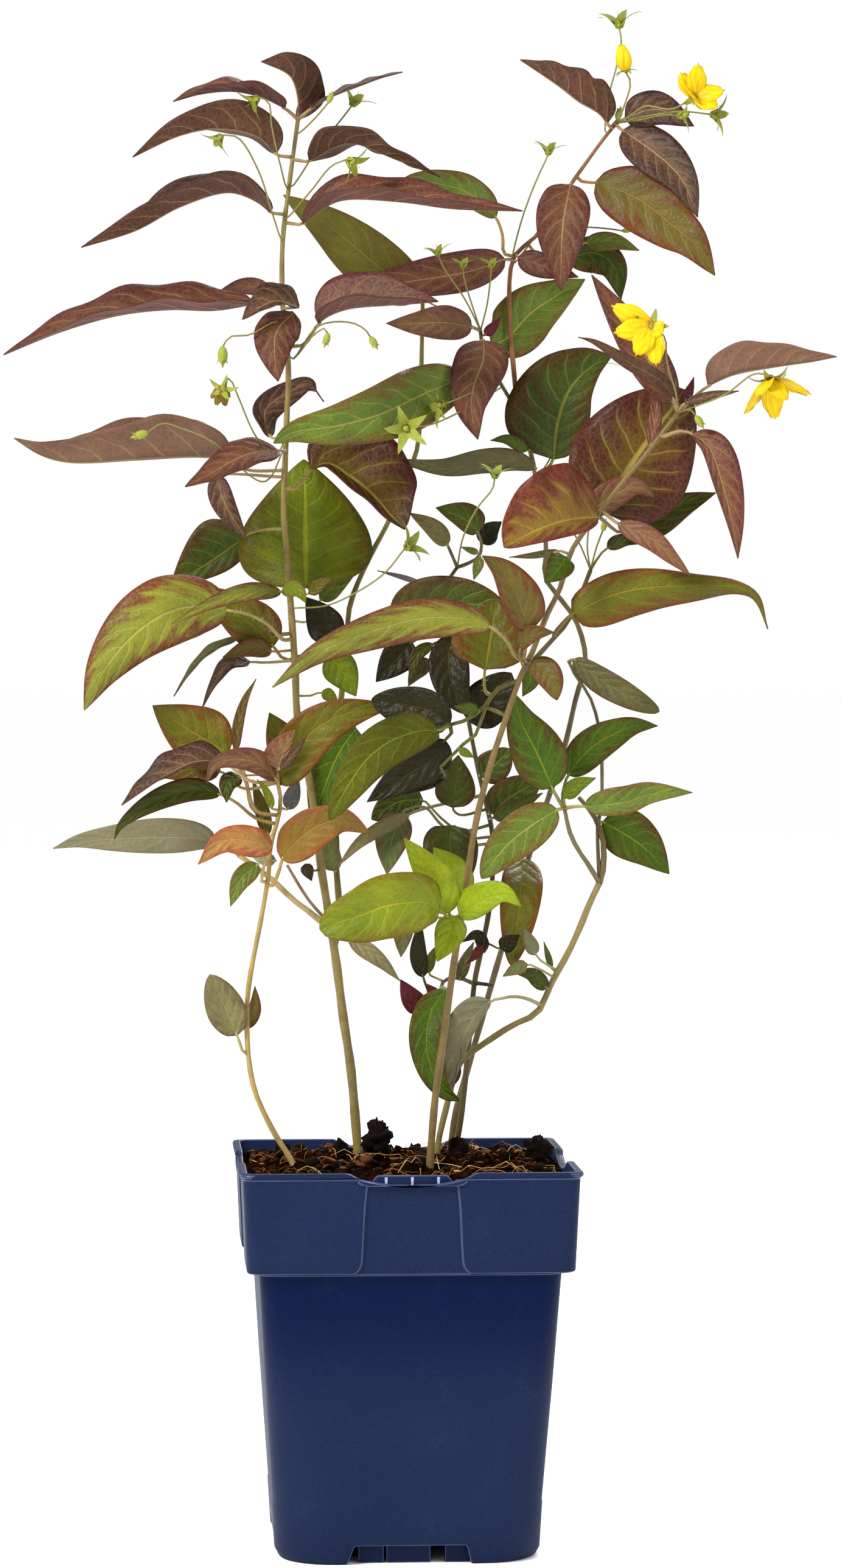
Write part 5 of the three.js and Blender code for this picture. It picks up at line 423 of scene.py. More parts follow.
# Leaf tints, three numbers of 255 to a colour: the blade along its veins, between them and
# outwards, the veins, the underside. Last comes how far the outer tint spreads over the blade.
TINTS = {
    "plum": (92,62,38, 59,33,28, 174,142,106, 93,60,44, 0.28),
    "wine": (106,65,41, 83,37,34, 166,134,94, 99,58,51, 0.2),
    "mauve": (133,98,73, 104,68,55, 170,143,101, 120,89,71, 0.2),
    "crimson": (92,26,34, 72,20,28, 130,60,54, 104,46,50, 0.2),
    "rose": (117,83,51, 103,51,41, 172,144,96, 112,76,56, 0.2),
    "bronze": (99,86,30, 101,40,23, 140,109,50, 109,77,43, 0.1),
    "orange": (172,122,62, 158,70,50, 204,162,104, 170,108,72, 0.12),
    "gold": (120,92,26, 134,68,28, 160,124,60, 122,84,40, 0.1),
    "rust": (96,29,21, 80,13,15, 115,39,35, 90,26,30, 0.15),
    "lime": (124,141,12, 110,119,7, 164,160,28, 129,131,22, 0),
    "limered": (125,131,38, 103,29,30, 171,154,80, 128,110,66, 0.14),
    "limeolive": (106,120,16, 105,83,11, 146,143,32, 114,111,27, 0.05),
    "winelime": (126,94,26, 98,28,26, 170,138,58, 110,60,38, 0.3),
    "wineveined": (84,62,14, 68,20,18, 152,130,54, 76,46,28, 0.3),
    "fresh": (96,115,7, 78,89,5, 151,144,23, 116,109,18, 0),
    "green": (92,116,36, 108,72,29, 178,168,84, 126,116,55, 0.1),
    "paleolive": (106,100,30, 95,79,27, 142,126,54, 114,102,46, 0.05),
    "olive": (93,94,15, 105,54,12, 145,120,32, 110,92,27, 0.12),
    "yellowolive": (91,105,2, 84,68,2, 139,140,9, 98,100,6, 0.05),
    "moss": (61,88,4, 76,46,3, 134,142,36, 80,85,5, 0.1),
    "dark": (54,71,10, 71,38,7, 128,124,46, 91,80,20, 0.15),
    "blackolive": (34,32,1, 30,21,1, 60,57,3, 49,45,3, 0.15),
    "brownolive": (56,65,3, 59,35,3, 85,85,8, 66,67,6, 0.15),
    "dusk": (128,122,74, 112,93,63, 159,156,106, 128,124,85, 0.15),
    "slate": (90,89,48, 82,67,38, 141,125,69, 113,100,57, 0.1),
    "slategreen": (96,113,58, 117,80,52, 161,150,89, 129,122,76, 0.1),
    "greyleaf": (124,124,86, 112,96,72, 163,158,114, 126,120,90, 0.1),
    "silver": (118,113,111, 111,98,95, 158,146,139, 127,115,108, 0.1),
    "pale": (148,150,118, 134,126,98, 178,180,142, 150,148,118, 0),
    "dead": (62,42,26, 52,34,22, 90,66,42, 70,50,34, 0.1),
}
STEM_TINTS = {
    "s2": (126,108,54), "s3": (171,149,93), "s3b": (130,104,70), "sb": (113,101,43),
    "s1": (162,135,74), "s4": (110,88,43), "s4b": (83,67,33), "s4c": (84,79,24), "s4d": (89,88,30),
    "s5": (89,76,41), "sk": (132,83,47), "s6": (124,109,60), "s6b": (98,82,44), "s6c": (105,95,60),
    "s7": (96,87,53), "s8": (71,61,20), "s8b": (97,75,43), "s8c": (110,98,66), "s8t": (78,60,29),
    "s8u": (53,38,21)
}


# Colours, places and lines.
def clip(value):
    return min(1.0, max(0.0, value))


def linear(rgb):
    """A colour as seen, of 255, to the paint that gives it in the studio."""
    parts = [channel / 255.0 for channel in rgb]
    return tuple(LIT * (c / 12.92 if c <= 0.04045 else ((c + 0.055) / 1.055) ** 2.4)
                 for c in parts) + (1.0,)


def tinted(rgb, rim=None):
    return {"tint": linear(rgb), "rim": linear(rim or rgb)}


def place(point):
    """Layout point in mm to a point of the frame in metres."""
    u, v, w = point[0], point[1], point[2] * DEPTH
    wide = u * (1 + w / EYE_OUT)
    high = v - BASE_UP + (v - EYE_UP) * w / EYE_OUT
    return Vector((TURN_COS * wide + TURN_SIN * w, -TURN_SIN * wide + TURN_COS * w, high)) * MM


def heading(direction):
    u, v, w = direction
    return Vector((TURN_COS * u + TURN_SIN * w, -TURN_SIN * u + TURN_COS * w, v)).normalized()


TO_EYE = heading((0, 0, -1))
UP = Vector((0, 0, 1))


def square_to(axis):
    """Two directions square to an axis and to each other."""
    side = axis.cross(TO_EYE if abs(axis.z) > 0.8 else UP).normalized()
    return side, axis.cross(side)


def spoke(side, other, angle):
    return side * math.cos(angle) + other * math.sin(angle)


def foot_of(name):
    parent = STEM_OF[name].parent
    return foot_of(parent) if parent else name


def length_of(line):
    return sum((b - a).length for a, b in zip(line, line[1:]))


def blend(a, b, low, high, t):
    return a * ((high - t) / (high - low)) + b * ((t - low) / (high - low))


def smooth_line(points, count):
    """count points spaced evenly on a centripetal curve through the given ones."""
    if len(points) == 2:
        return [points[0].lerp(points[1], i / (count - 1)) for i in range(count)]
    line = [points[0] * 2 - points[1]] + list(points) + [points[-1] * 2 - points[-2]]
    fine, steps = [], 12
    for four in zip(line, line[1:], line[2:], line[3:]):
        knots = [0.0]
        for a, b in zip(four, four[1:]):
            knots.append(knots[-1] + max((b - a).length, 1e-7) ** 0.5)
        for k in range(steps):
            t = knots[1] + (knots[2] - knots[1]) * k / steps
            first = [blend(four[i], four[i + 1], knots[i], knots[i + 1], t) for i in range(3)]
            second = [blend(first[i], first[i + 1], knots[i], knots[i + 2], t) for i in range(2)]
            fine.append(blend(second[0], second[1], knots[1], knots[2], t))
    fine.append(points[-1].copy())
    lengths = [0.0]
    for a, b in zip(fine, fine[1:]):
        lengths.append(lengths[-1] + (b - a).length)
    out, j = [], 0
    for i in range(count):
        goal = lengths[-1] * i / (count - 1)
        while j + 2 < len(fine) and lengths[j + 1] < goal:
            j += 1
        span = max(lengths[j + 1] - lengths[j], 1e-9)
        out.append(fine[j].lerp(fine[j + 1], clip((goal - lengths[j]) / span)))
    return out


def spaced_line(line, step, least):
    """A smooth line with a point about every step metres, and no fewer points than least."""
    return smooth_line(line, max(least, int(length_of(line) / step)))


def root_on(name, target):
    """Where a stalk leaves its stem: the spot on it that is nearest in the front view."""
    path, spots = STEM_OF[name].path, []
    for a, b in zip(path, path[1:]):
        du, dv = b[0] - a[0], b[1] - a[1]
        t = clip(((target[0] - a[0]) * du + (target[1] - a[1]) * dv) / (du * du + dv * dv))
        spots.append((a[0] + du * t, a[1] + dv * t, a[2] + (b[2] - a[2]) * t))
    return place(min(spots, key=lambda p: math.hypot(p[0] - target[0], p[1] - target[1])))


# Materials.
class Skin:
    """A material or a node group while its nodes are laid."""

    def __init__(self, name, group=None):
        self.material = None if group else bpy.data.materials.new(name)
        if self.material:
            self.material.use_nodes = True
        tree = group or self.material.node_tree
        self.nodes, self.links = tree.nodes, tree.links

    def feed(self, socket, value):
        """Links another node's output, or sets a plain number or colour."""
        if isinstance(value, bpy.types.NodeSocket):
            self.links.new(value, socket)
        elif value is not None:
            socket.default_value = value

    def node(self, kind, inputs=None, **settings):
        node = self.nodes.new("ShaderNode" + kind)
        for name, value in settings.items():
            setattr(node, name, value)
        for name, value in (inputs or {}).items():
            self.feed(node.inputs[name], value)
        return node

    def maths(self, operation, *values):
        return self.node("Math", dict(enumerate(values)), operation=operation).outputs[0]

    def plus(self, a, b):
        return self.maths("ADD", a, b)

    def minus(self, a, b):
        return self.maths("SUBTRACT", a, b)

    def times(self, a, b):
        return self.maths("MULTIPLY", a, b)

    def rest(self, a):
        return self.maths("SUBTRACT", 1.0, a)

    def mix(self, factor, a, b):
        return self.node("Mix", {0: factor, 6: a, 7: b}, data_type="RGBA").outputs[2]

    def ramp(self, value, low, high):
        """0 below low, 1 above high, smooth between."""
        return self.node("MapRange", {"From Min": low, "From Max": high, "Value": value},
                         interpolation_type="SMOOTHSTEP").outputs["Result"]

    def spot(self):
        return self.node("TexCoord").outputs["Object"]

    def attribute(self, name, output="Color"):
        return self.node("Attribute", attribute_name=name).outputs[output]

    def blade(self):
        """How far along and how far across a leaf or petal."""
        uv = self.node("UVMap", uv_map="blade").outputs["UV"]
        parts = self.node("SeparateXYZ", {0: uv})
        return uv, parts.outputs["X"], parts.outputs["Y"]

    def stretched(self, vector, scale):
        return self.node("Mapping", {"Scale": scale, "Vector": vector}).outputs[0]

    def noise(self, scale, detail, rough=0.5, vector=None):
        return self.node("TexNoise", {
            "Scale": scale, "Detail": detail, "Roughness": rough,
            "Vector": self.spot() if vector is None else vector}).outputs["Fac"]

    def grained(self, colour, scale, darkest, span):
        """A colour with fine grain over it, and the grain itself."""
        node = self.node("Group", node_tree=GRAIN)
        for name, value in (("Color", colour), ("Scale", scale), ("Darkest", darkest),
                            ("Span", span)):
            self.feed(node.inputs[name], value)
        return node.outputs["Color"], node.outputs["Grain"]

    def done(self, colour, rough, shine=None, relief=None, strength=None, distance=None):
        """Feeds the skin's shader; relief is raised by a bump of that strength and distance."""
        shader = self.nodes["Principled BSDF"]
        self.feed(shader.inputs["Base Color"], colour)
        self.feed(shader.inputs["Roughness"], rough)
        self.feed(shader.inputs["Specular IOR Level"], shine)
        if relief is not None:
            bump = self.node("Bump", {"Strength": strength, "Distance": distance,
                                      "Height": relief})
            self.feed(shader.inputs["Normal"], bump.outputs[0])
        return self.material


def make_grain_group():
    """Fine grain that lightens and darkens a colour, shared by the skins."""
    group = bpy.data.node_groups.new("fine grain", "ShaderNodeTree")
    for name, kind, value in (("Color", "NodeSocketColor", (1, 1, 1, 1)),
                              ("Scale", "NodeSocketFloat", 600),
                              ("Darkest", "NodeSocketFloat", 0.7),
                              ("Span", "NodeSocketFloat", 0.6)):
        socket = group.interface.new_socket(name, in_out="INPUT", socket_type=kind)
        socket.default_value = value
    for name, kind in (("Color", "NodeSocketColor"), ("Grain", "NodeSocketFloat")):
        group.interface.new_socket(name, in_out="OUTPUT", socket_type=kind)
    skin = Skin("fine grain", group)
    given, out = group.nodes.new("NodeGroupInput").outputs, group.nodes.new("NodeGroupOutput")
    grain = skin.noise(given["Scale"], 3.0)
    shade = skin.node("HueSaturation", {
        "Color": given["Color"],
        "Value": skin.maths("MULTIPLY_ADD", grain, given["Span"], given["Darkest"])})
    skin.feed(out.inputs["Color"], shade.outputs[0])
    skin.feed(out.inputs["Grain"], grain)
    return group


def leaf_material(name, below):
    """Leaf skin: a midrib and arching side veins, green along them, darker between and outwards.

    On the underside the veins stand out, and on the upper side they are sunk.
    """
    skin = Skin(name)
    plus, minus, times, rest, ramp = skin.plus, skin.minus, skin.times, skin.rest, skin.ramp
    _, along, across = skin.blade()
    off = skin.maths("ABSOLUTE", times(minus(across, 0.5), 2.0))
    patches, broad = skin.noise(70.0, 3.0), skin.noise(38.0, 2.0)
    drift = plus(times(minus(patches, 0.5), 0.11),
                 times(skin.maths("GREATER_THAN", across, 0.5), 0.06))
    sweep = plus(minus(along, times(skin.maths("POWER", off, VEIN_BEND), VEIN_SWEEP)), drift)
    phase = skin.maths("FRACT", plus(times(sweep, VEINS), 9.0))
    near = skin.maths("ABSOLUTE", minus(phase, 0.5))
    fade = rest(ramp(off, 0.6, 0.98))
    side = times(rest(ramp(near, 0.0, 0.085)), fade)
    side_halo = times(rest(ramp(near, 0.0, 0.42)), fade)
    rib, rib_halo = rest(ramp(off, 0.015, 0.06)), rest(ramp(off, 0.0, 0.3))
    cells = skin.node("TexVoronoi", {"Scale": 360.0, "Vector": skin.spot()},
                      feature="DISTANCE_TO_EDGE").outputs[0]
    net, pillow = rest(ramp(cells, 0.0, 0.16)), ramp(cells, 0.0, 0.5)
    halo = skin.maths("MAXIMUM", rib_halo, times(side_halo, 0.5))
    lane = skin.node("CombineXYZ", {0: times(sweep, 34.0), 1: times(across, 7.0)}).outputs[0]
    streaks = skin.noise(1.0, 2.0, vector=lane)
    cover = plus(times(off, 0.62), times(rest(halo), 0.42))
    cover = plus(cover, times(minus(patches, 0.5), 0.7))
    cover = plus(cover, times(minus(streaks, 0.5), 0.9))
    cover = ramp(plus(cover, skin.attribute("spread", "Fac")), 0.62, 1.18)
    veins = skin.maths("MAXIMUM", rib, times(side, 0.55))
    veins = skin.maths("MAXIMUM", veins, times(net, 0.12))
    if below:
        paint, outer, cover_share, vein_share = skin.attribute("under"), skin.mix(
            0.5, skin.attribute("under"), skin.attribute("rim")), 0.5, 0.8
        raised, rough, shine = 1, 0.5, 0.1
    else:
        paint, outer, cover_share, vein_share = skin.attribute("tint"), skin.attribute(
            "rim"), 0.92, 0.76
        raised, rough, shine = -1, 0.34, 0.13
    base = skin.mix(times(cover, cover_share), paint, outer)
    colour = skin.mix(times(veins, vein_share), base, skin.attribute("vein"))
    colour, fine = skin.grained(colour, scale=650.0, darkest=0.8, span=0.4)
    shade = skin.node("HueSaturation", {"Color": colour, "Value": plus(0.52, times(broad, 0.96)),
                                        "Hue": plus(0.478, times(patches, 0.044))})
    relief = plus(times(veins, 0.9 * raised), times(fine, 0.3))
    relief = plus(relief, times(side_halo, 0.55 * raised))
    relief = plus(relief, plus(times(pillow, 0.22), times(patches, 0.4)))
    return skin.done(shade.outputs[0], plus(rough, times(patches, 0.24)), shine, relief,
                     strength=0.7, distance=0.0006)


def stem_material():
    """Green to brown skin with a relief of fine lengthwise streaks."""
    skin = Skin("stem skin")
    patches = skin.noise(120.0, 4.0)
    streaks = skin.noise(1500.0, 2.0, vector=skin.stretched(skin.spot(), (1.0, 1.0, 0.08)))
    base = skin.mix(skin.ramp(patches, 0.4, 0.8), skin.attribute("tint"), skin.attribute("rim"))
    colour, _ = skin.grained(base, scale=900.0, darkest=0.72, span=0.56)
    return skin.done(colour, rough=0.5, shine=0.25, relief=streaks, strength=0.4,
                     distance=0.0003)


def petal_material():
    """Yellow petal with a rusty eye and fine lengthwise lines."""
    skin = Skin("yellow petal")
    uv, along, _ = skin.blade()
    eye = skin.rest(skin.ramp(along, 0.03, 0.2))
    lines = skin.noise(1.0, 2.0, vector=skin.stretched(uv, (2.0, 26.0, 1.0)))
    base = skin.mix(skin.ramp(lines, 0.4, 0.64), skin.attribute("tint"), skin.attribute("rim"))
    colour = skin.mix(skin.times(eye, 0.7), base, linear((150, 66, 20)))
    return skin.done(colour, rough=0.5, shine=0.12, relief=lines, strength=0.3,
                     distance=0.0002)


def pot_material():
    """Dark blue moulded plastic with fine grain and a little dust, with painted shade under the
    skirt.
    """
    skin = Skin("dark blue moulded plastic")
    broad = skin.noise(14.0, 4.0)
    dust = skin.ramp(skin.noise(60.0, 6.0, 0.7), 0.55, 0.85)
    base = skin.mix(broad, linear((19, 29, 56)), linear((26, 38, 68)))
    # Painted shade: below the skirt's foot the body is darkened towards a deep blue, most just
    # under the skirt and fading out further down.
    shade_from, shade_full, skirt_foot = 0.062, 0.118, 0.1286
    height = skin.node("SeparateXYZ", {0: skin.spot()}).outputs["Z"]
    painted_skirt_shade = skin.times(skin.ramp(height, shade_from, shade_full),
                        skin.maths("LESS_THAN", height, skirt_foot))
    base = skin.mix(skin.times(painted_skirt_shade, 0.92), base, linear((1, 17, 53)))
    colour = skin.mix(skin.times(dust, 0.05), base, linear((110, 112, 120)))
    colour, grain = skin.grained(colour, scale=1500.0, darkest=0.5, span=1.0)
    rough = skin.plus(0.42, skin.times(broad, 0.12))
    return skin.done(colour, rough, shine=0.04, relief=grain, strength=0.25, distance=0.0001)


def edge_highlight_material():
    """The same plastic on its bevelled edges, painted a lighter blue as a highlight where light
    catches them.
    """
    skin = Skin("pot edge painted highlight")
    colour = skin.mix(skin.noise(40.0, 3.0), linear((24, 38, 72)), linear((62, 80, 118)))
    return skin.done(colour, rough=0.4, shine=0.3)


def soil_material():
    """Dark peat in lumps and crumbs, with straw-coloured flecks."""
    skin = Skin("dark peat")
    lumps, crumbs = skin.noise(160.0, 8.0, 0.65), skin.noise(900.0, 4.0, 0.7)
    bits = skin.node("TexVoronoi", {"Scale": 620.0, "Vector": skin.spot()}).outputs["Distance"]
    base = skin.mix(skin.ramp(lumps, 0.38, 0.74), linear((7, 3, 1)), linear((58, 29, 11)))
    flecks = skin.times(skin.rest(skin.ramp(bits, 0.1, 0.2)), skin.ramp(crumbs, 0.56, 0.66))
    colour = skin.mix(flecks, base, linear((150, 112, 70)))
    return skin.done(colour, rough=0.95, shine=0.0, relief=skin.plus(crumbs, lumps),
                     strength=1.0, distance=0.0018)


def tinted_material(name, rough):
    """Small dry or woody pieces, tinted one by one."""
    skin = Skin(name)
    colour, _ = skin.grained(skin.attribute("tint"), scale=900.0, darkest=0.65, span=0.7)
    return skin.done(colour, rough, shine=0.06)


def plain_material(name, scale, one, two, rough):
    """Two near tones that drift into each other."""
    skin = Skin(name)
    return skin.done(skin.mix(skin.noise(scale, 2.0), one, two), rough)


GRAIN = make_grain_group()
LEAF_TOP = leaf_material("leaf upper skin", False)
LEAF_BELOW = leaf_material("leaf under skin", True)
STEM_SKIN = stem_material()
PETAL_SKIN = petal_material()
POT_SKIN = pot_material()
POT_EDGE_HIGHLIGHT = edge_highlight_material()
PEAT = soil_material()
DRY_BITS = tinted_material("dry bits", 0.8)
CALYX_SKIN = tinted_material("calyx and bud", 0.5)
HAIR = plain_material("pale leaf hair", 300.0, linear((196, 198, 180)),
                      linear((232, 232, 220)), 0.6)


# Mesh makers.
def new_piece(name, points, faces):
    mesh = bpy.data.meshes.new(name)
    mesh.from_pydata(points, [], faces)
    piece = bpy.data.objects.new(name, mesh)
    bpy.context.scene.collection.objects.link(piece)
    return piece


def pick(piece):
    """Selects one piece alone, for an operator."""
    bpy.ops.object.select_all(action="DESELECT")
    piece.select_set(True)
    bpy.context.view_layer.objects.active = piece


def apply(piece, kind, **settings):
    """Gives a piece a modifier and applies it."""
    pick(piece)
    step = piece.modifiers.new(kind.lower(), kind)
    for name, value in settings.items():
        setattr(step, name, value)
    bpy.ops.object.modifier_apply(modifier=step.name)


def thicken(piece, thickness, below=0):
    """Gives skins their thickness, and their underside its own finish."""
    apply(piece, "SOLIDIFY", thickness=thickness, offset=0.0, material_offset=below,
          material_offset_rim=0)


def grid_faces(rows, wide, closed=False, start=0):
    """Quads between rows of points, wide points to a row; closed rows are rings."""
    faces = []
    for i in range(rows):
        for k in range(wide if closed else wide - 1):
            a, b = start + i * wide + k, start + i * wide + (k + 1) % wide
            faces.append((a, b, b + wide, a + wide))
    return faces


def ring_faces(rows, sides):
    """Quads between rings, and a cap at each end."""
    end = rows * sides
    return grid_faces(rows, sides, True) + [
        tuple(range(sides - 1, -1, -1)), tuple(range(end, end + sides))]


class Heap:
    """Faces and their tints gathered for one piece."""

    def __init__(self):
        self.points, self.faces, self.slots, self.uvs, self.spread = [], [], [], [], []
        self.tints = {key: [] for key in TINT_KEYS}

    def add(self, points, faces, tints, slot=0, uvs=None, spread=0.0):
        start, count = len(self.points), len(points)
        self.points.extend(points)
        self.faces.extend([start + i for i in face] for face in faces)
        self.slots.extend([slot] * len(faces))
        self.spread.extend([spread] * count)
        self.uvs.extend(uvs or [(0.5, 0.5)] * count)
        for key, values in self.tints.items():
            values.extend([tints.get(key, tints["tint"])] * count)

    def build(self, name, *materials):
        piece = new_piece(name, self.points, self.faces)
        mesh = piece.data
        for material in materials:
            mesh.materials.append(material)
        mesh.polygons.foreach_set("material_index", self.slots)
        mesh.polygons.foreach_set("use_smooth", [True] * len(mesh.polygons))
        mesh.uv_layers.new(name="blade").data.foreach_set(
            "uv", [c for loop in mesh.loops for c in self.uvs[loop.vertex_index]])
        for key, values in self.tints.items():
            mesh.attributes.new(key, "FLOAT_COLOR", "POINT").data.foreach_set(
                "color", [c for value in values for c in value])
        mesh.attributes.new("spread", "FLOAT", "POINT").data.foreach_set("value", self.spread)
        return piece


def tube(heap, line, radii, sides, tints, slot=0):
    """A closed round tube along a line of points."""
    points = []
    side, _ = square_to((line[1] - line[0]).normalized())
    for i, spot in enumerate(line):
        ahead = (line[min(i + 1, len(line) - 1)] - line[max(i - 1, 0)]).normalized()
        side = (side - ahead * side.dot(ahead)).normalized()
        other = ahead.cross(side)
        for k in range(sides):
            points.append(spot + spoke(side, other, 2 * math.pi * k / sides) * radii[i])
    heap.add(points, ring_faces(len(line) - 1, sides), tints, slot)


def ball(heap, centre, axis, wide, high, tints, slot=0, sides=8, rings=6, point=0.0):
    """A closed ball along an axis, drawn out to a point as far as point says."""
    side, other = square_to(axis)
    points = [centre - axis * high]
    for i in range(1, rings):
        a = math.pi * i / rings
        reach = wide * math.sin(a) * (1 - point * max(0.0, -math.cos(a)) ** 2)
        for k in range(sides):
            points.append(centre - axis * (high * math.cos(a))
                          + spoke(side, other, 2 * math.pi * k / sides) * reach)
    points.append(centre + axis * high * (1 + point * 0.6))
    last = len(points) - 1
    faces = []
    for k in range(sides):
        after = (k + 1) % sides
        faces += [(0, 1 + after, 1 + k), (last, last - sides + k, last - sides + after)]
    heap.add(points, faces + grid_faces(rings - 2, sides, True, 1), tints, slot)


# Leaves and stems.
def blade_outline(t, bulge, fullness):
    return max(0.0, math.sin(math.pi * clip(t) ** bulge)) ** fullness


def leaf_grid(length):
    """Rows along a blade and cells across each half: small blades need fewer."""
    return (10, 3) if length < 0.014 else (20, 4) if length < 0.036 else (40, 6)


def vein_pace(length):
    """Short leaves have fewer side veins."""
    return 0.5 + 0.5 * min(1.0, length / 0.06)


def shape_leaf(leaf, upper, chance):
    """Rows of points across a blade from base to tip, the way each row rises, its vein pace.

    upper is 1 where the blade's upper side shows and -1 where its underside does.
    """
    ribs = [place(p) for p in leaf.midrib]
    length = length_of(ribs)
    rows, cells = leaf_grid(length)
    centre = smooth_line(ribs, rows + 1)
    chord = (centre[-1] - centre[0]).normalized()
    if leaf.lie == "t":
        across = chord.cross(UP)
        if across.dot(TO_EYE) < 0:
            across.negate()
    else:
        across = TO_EYE.cross(chord)
    across.normalize()
    lift = across.cross(chord)
    hand = -1 if (lift.z if leaf.lie == "t" else lift.dot(TO_EYE)) < 0 else 1
    grid, rises = [], []
    ripple = chance.uniform(0, 6.28)
    wavy, turns = chance.uniform(0.03, 0.09), chance.uniform(12, 24)
    fold = chance.uniform(4, 14) if max(abs(tilt) for tilt in leaf.tilts) < 5 else 0
    pace = vein_pace(length)
    thinnest, bowed, quilted = 0.25, 0.16, 0.008
    for i, rib in enumerate(centre):
        t = i / rows
        along = (centre[min(rows, i + 1)] - centre[max(0, i - 1)]).normalized()
        side = (across - along * across.dot(along)).normalized()
        rise = side.cross(along).normalized() * hand
        shape = blade_outline(t, *leaf.outline)
        line = []
        for k in range(-cells, cells + 1):
            x, right = abs(k / cells), k >= 0
            half = max(thinnest, leaf.halves[0 if right else 1] * shape) * MM
            at_base, at_tip = leaf.tilts[:2] if right else leaf.tilts[2:]
            tilt = math.radians(at_base + (at_tip - at_base) * t + fold)
            wave = wavy * math.sin(ripple + turns * t + (2.3 if k > 0 else 0)) * x ** 1.6
            bow = bowed * (x - x * x)
            sweep = t * pace - VEIN_SWEEP * x ** VEIN_BEND
            quilt = quilted * abs(math.cos(math.pi * sweep * VEINS))
            quilt = quilt * (1 - x ** 3) * min(1, 5 * x)
            flat = math.cos(tilt) * (1 if right else -1)
            line.append(rib + side * (flat * (half * x)) + rise * (
                math.sin(tilt) * (half * x) + half * (wave + bow + quilt * upper)))
        grid.append(line)
        rises.append(rise)
    return grid, rises, pace


def add_leaf(heap, leaf, chance):
    """One blade, its faces turned so that its upper side looks up; gives back its tints."""
    upper = -1 if leaf.lie == "b" else 1
    grid, rises, pace = shape_leaf(leaf, upper, chance)
    rows, wide = len(grid) - 1, len(grid[0])
    cells, middle = (wide - 1) // 2, rows // 2
    points = [spot for line in grid for spot in line]
    uvs = [(i / rows * pace, 0.5 + 0.5 * (k - cells) / cells)
           for i in range(rows + 1) for k in range(wide)]
    faces = grid_faces(rows, wide)
    facing = -(grid[middle][0] - grid[middle][-1]).cross(
        grid[middle + 1][cells] - grid[middle - 1][cells])
    if facing.dot(rises[middle]) * upper < 0:
        faces = [face[::-1] for face in faces]
    palette = TINTS[leaf.tint]
    shift = chance.uniform(0.88, 1.12)
    tints = {}
    for key, rgb in zip(TINT_KEYS, threes(palette[:12])):
        red, green, blue = (BLADE_LIT * c for c in linear(rgb)[:3])
        tints[key] = (red * shift, green * shift * chance.uniform(0.96, 1.04),
                      blue * shift, 1.0)
    heap.add(points, faces, tints, 0, uvs, palette[12])
    return tints


def leaf_piece(name, foot, chance):
    """All leaf blades of one shoot, as thin two-sided skins."""
    heap = Heap()
    leaves = [(leaf, add_leaf(heap, leaf, chance)) for leaf in LEAVES
              if foot_of(leaf.stem) == foot]
    piece = heap.build(name, LEAF_TOP, LEAF_BELOW)
    thicken(piece, LEAF_THICK, 1)
    return piece, leaves


def add_hairs(heap, line, radii, chance):
    """Pale hairs along both edges of a leaf stalk."""
    white = {"tint": (0.8, 0.8, 0.72, 1.0)}
    hairs, thin, short, long = 3, 0.00006, 0.0012, 0.0024
    for a, b, radius in zip(line, line[1:], radii[1:]):
        way = (b - a).normalized()
        side = way.cross(TO_EYE)
        if side.length < 0.1:
            side = way.cross(UP)
        side.normalize()
        for _ in range(hairs):
            spot = a.lerp(b, chance.random())
            lean = side * chance.choice((-1, 1)) + TO_EYE * chance.uniform(-0.5, 0.5)
            tip = spot + (lean.normalized() + way * chance.uniform(-0.2, 0.6)) * (
                chance.uniform(short, long) + radius)
            heap.add([spot + way * thin, spot - way * thin, spot + TO_EYE * thin, tip],
                     [(0, 1, 3), (1, 2, 3), (2, 0, 3), (0, 2, 1)], white)


def stem_piece(name, foot, leaves, chance):
    """The stems of one shoot with its leaf stalks, and the hairs along the stalks."""
    heap, hairs = Heap(), Heap()
    stem_step, stalk_step, into_blade, rim_shade = 0.006, 0.003, 0.0015, 0.78
    for stem in STEMS:
        if foot_of(stem.name) != foot:
            continue
        line = [place(p) for p in stem.path]
        if stem.parent:
            root = root_on(stem.parent, stem.path[0])
            line = [root] + (line if (root - line[0]).length > 0.0008 else line[1:])
        smooth = spaced_line(line, stem_step, 8)
        radii = []
        for i in range(len(smooth)):
            radius = stem.foot + (stem.top - stem.foot) * (i / (len(smooth) - 1))
            radii.append(radius * MM * (0.97 + 0.06 * math.sin(i * 1.7)))
        skin = STEM_TINTS[stem.name]
        tube(heap, smooth, radii, 8, tinted(skin, [c * rim_shade for c in skin]))
    for leaf, tints in leaves:
        way = [place(p) for p in leaf.stalk + leaf.midrib[:1]]
        root = root_on(leaf.stem, (leaf.stalk + leaf.midrib)[0])
        base, ahead, tip = (place(leaf.midrib[i]) for i in (0, 1, -1))
        line = [root] + [p for p in way if (p - root).length > 0.001]
        line.append(base + (ahead - base).normalized() * into_blade)
        if len(line) < 3:
            line.insert(1, root.lerp(line[-1], 0.5))
        smooth = spaced_line(line, stalk_step, 4)
        size = min(1.0, max(0.62, 0.5 + 0.012 * (tip - base).length / MM))
        radii = [size * MM * (0.95 - 0.3 * i / (len(smooth) - 1)) for i in range(len(smooth))]
        tone = tuple(0.55 * vein + 0.6 * skin for vein, skin in zip(
            tints["vein"], linear(STEM_TINTS[leaf.stem])))
        tube(heap, smooth, radii, 6, {"tint": tone, "rim": tuple(0.7 * c for c in tone)})
        add_hairs(hairs, smooth, radii, chance)
    return heap.build(name + "_stems", STEM_SKIN), hairs.build(name + "_hairs", HAIR)


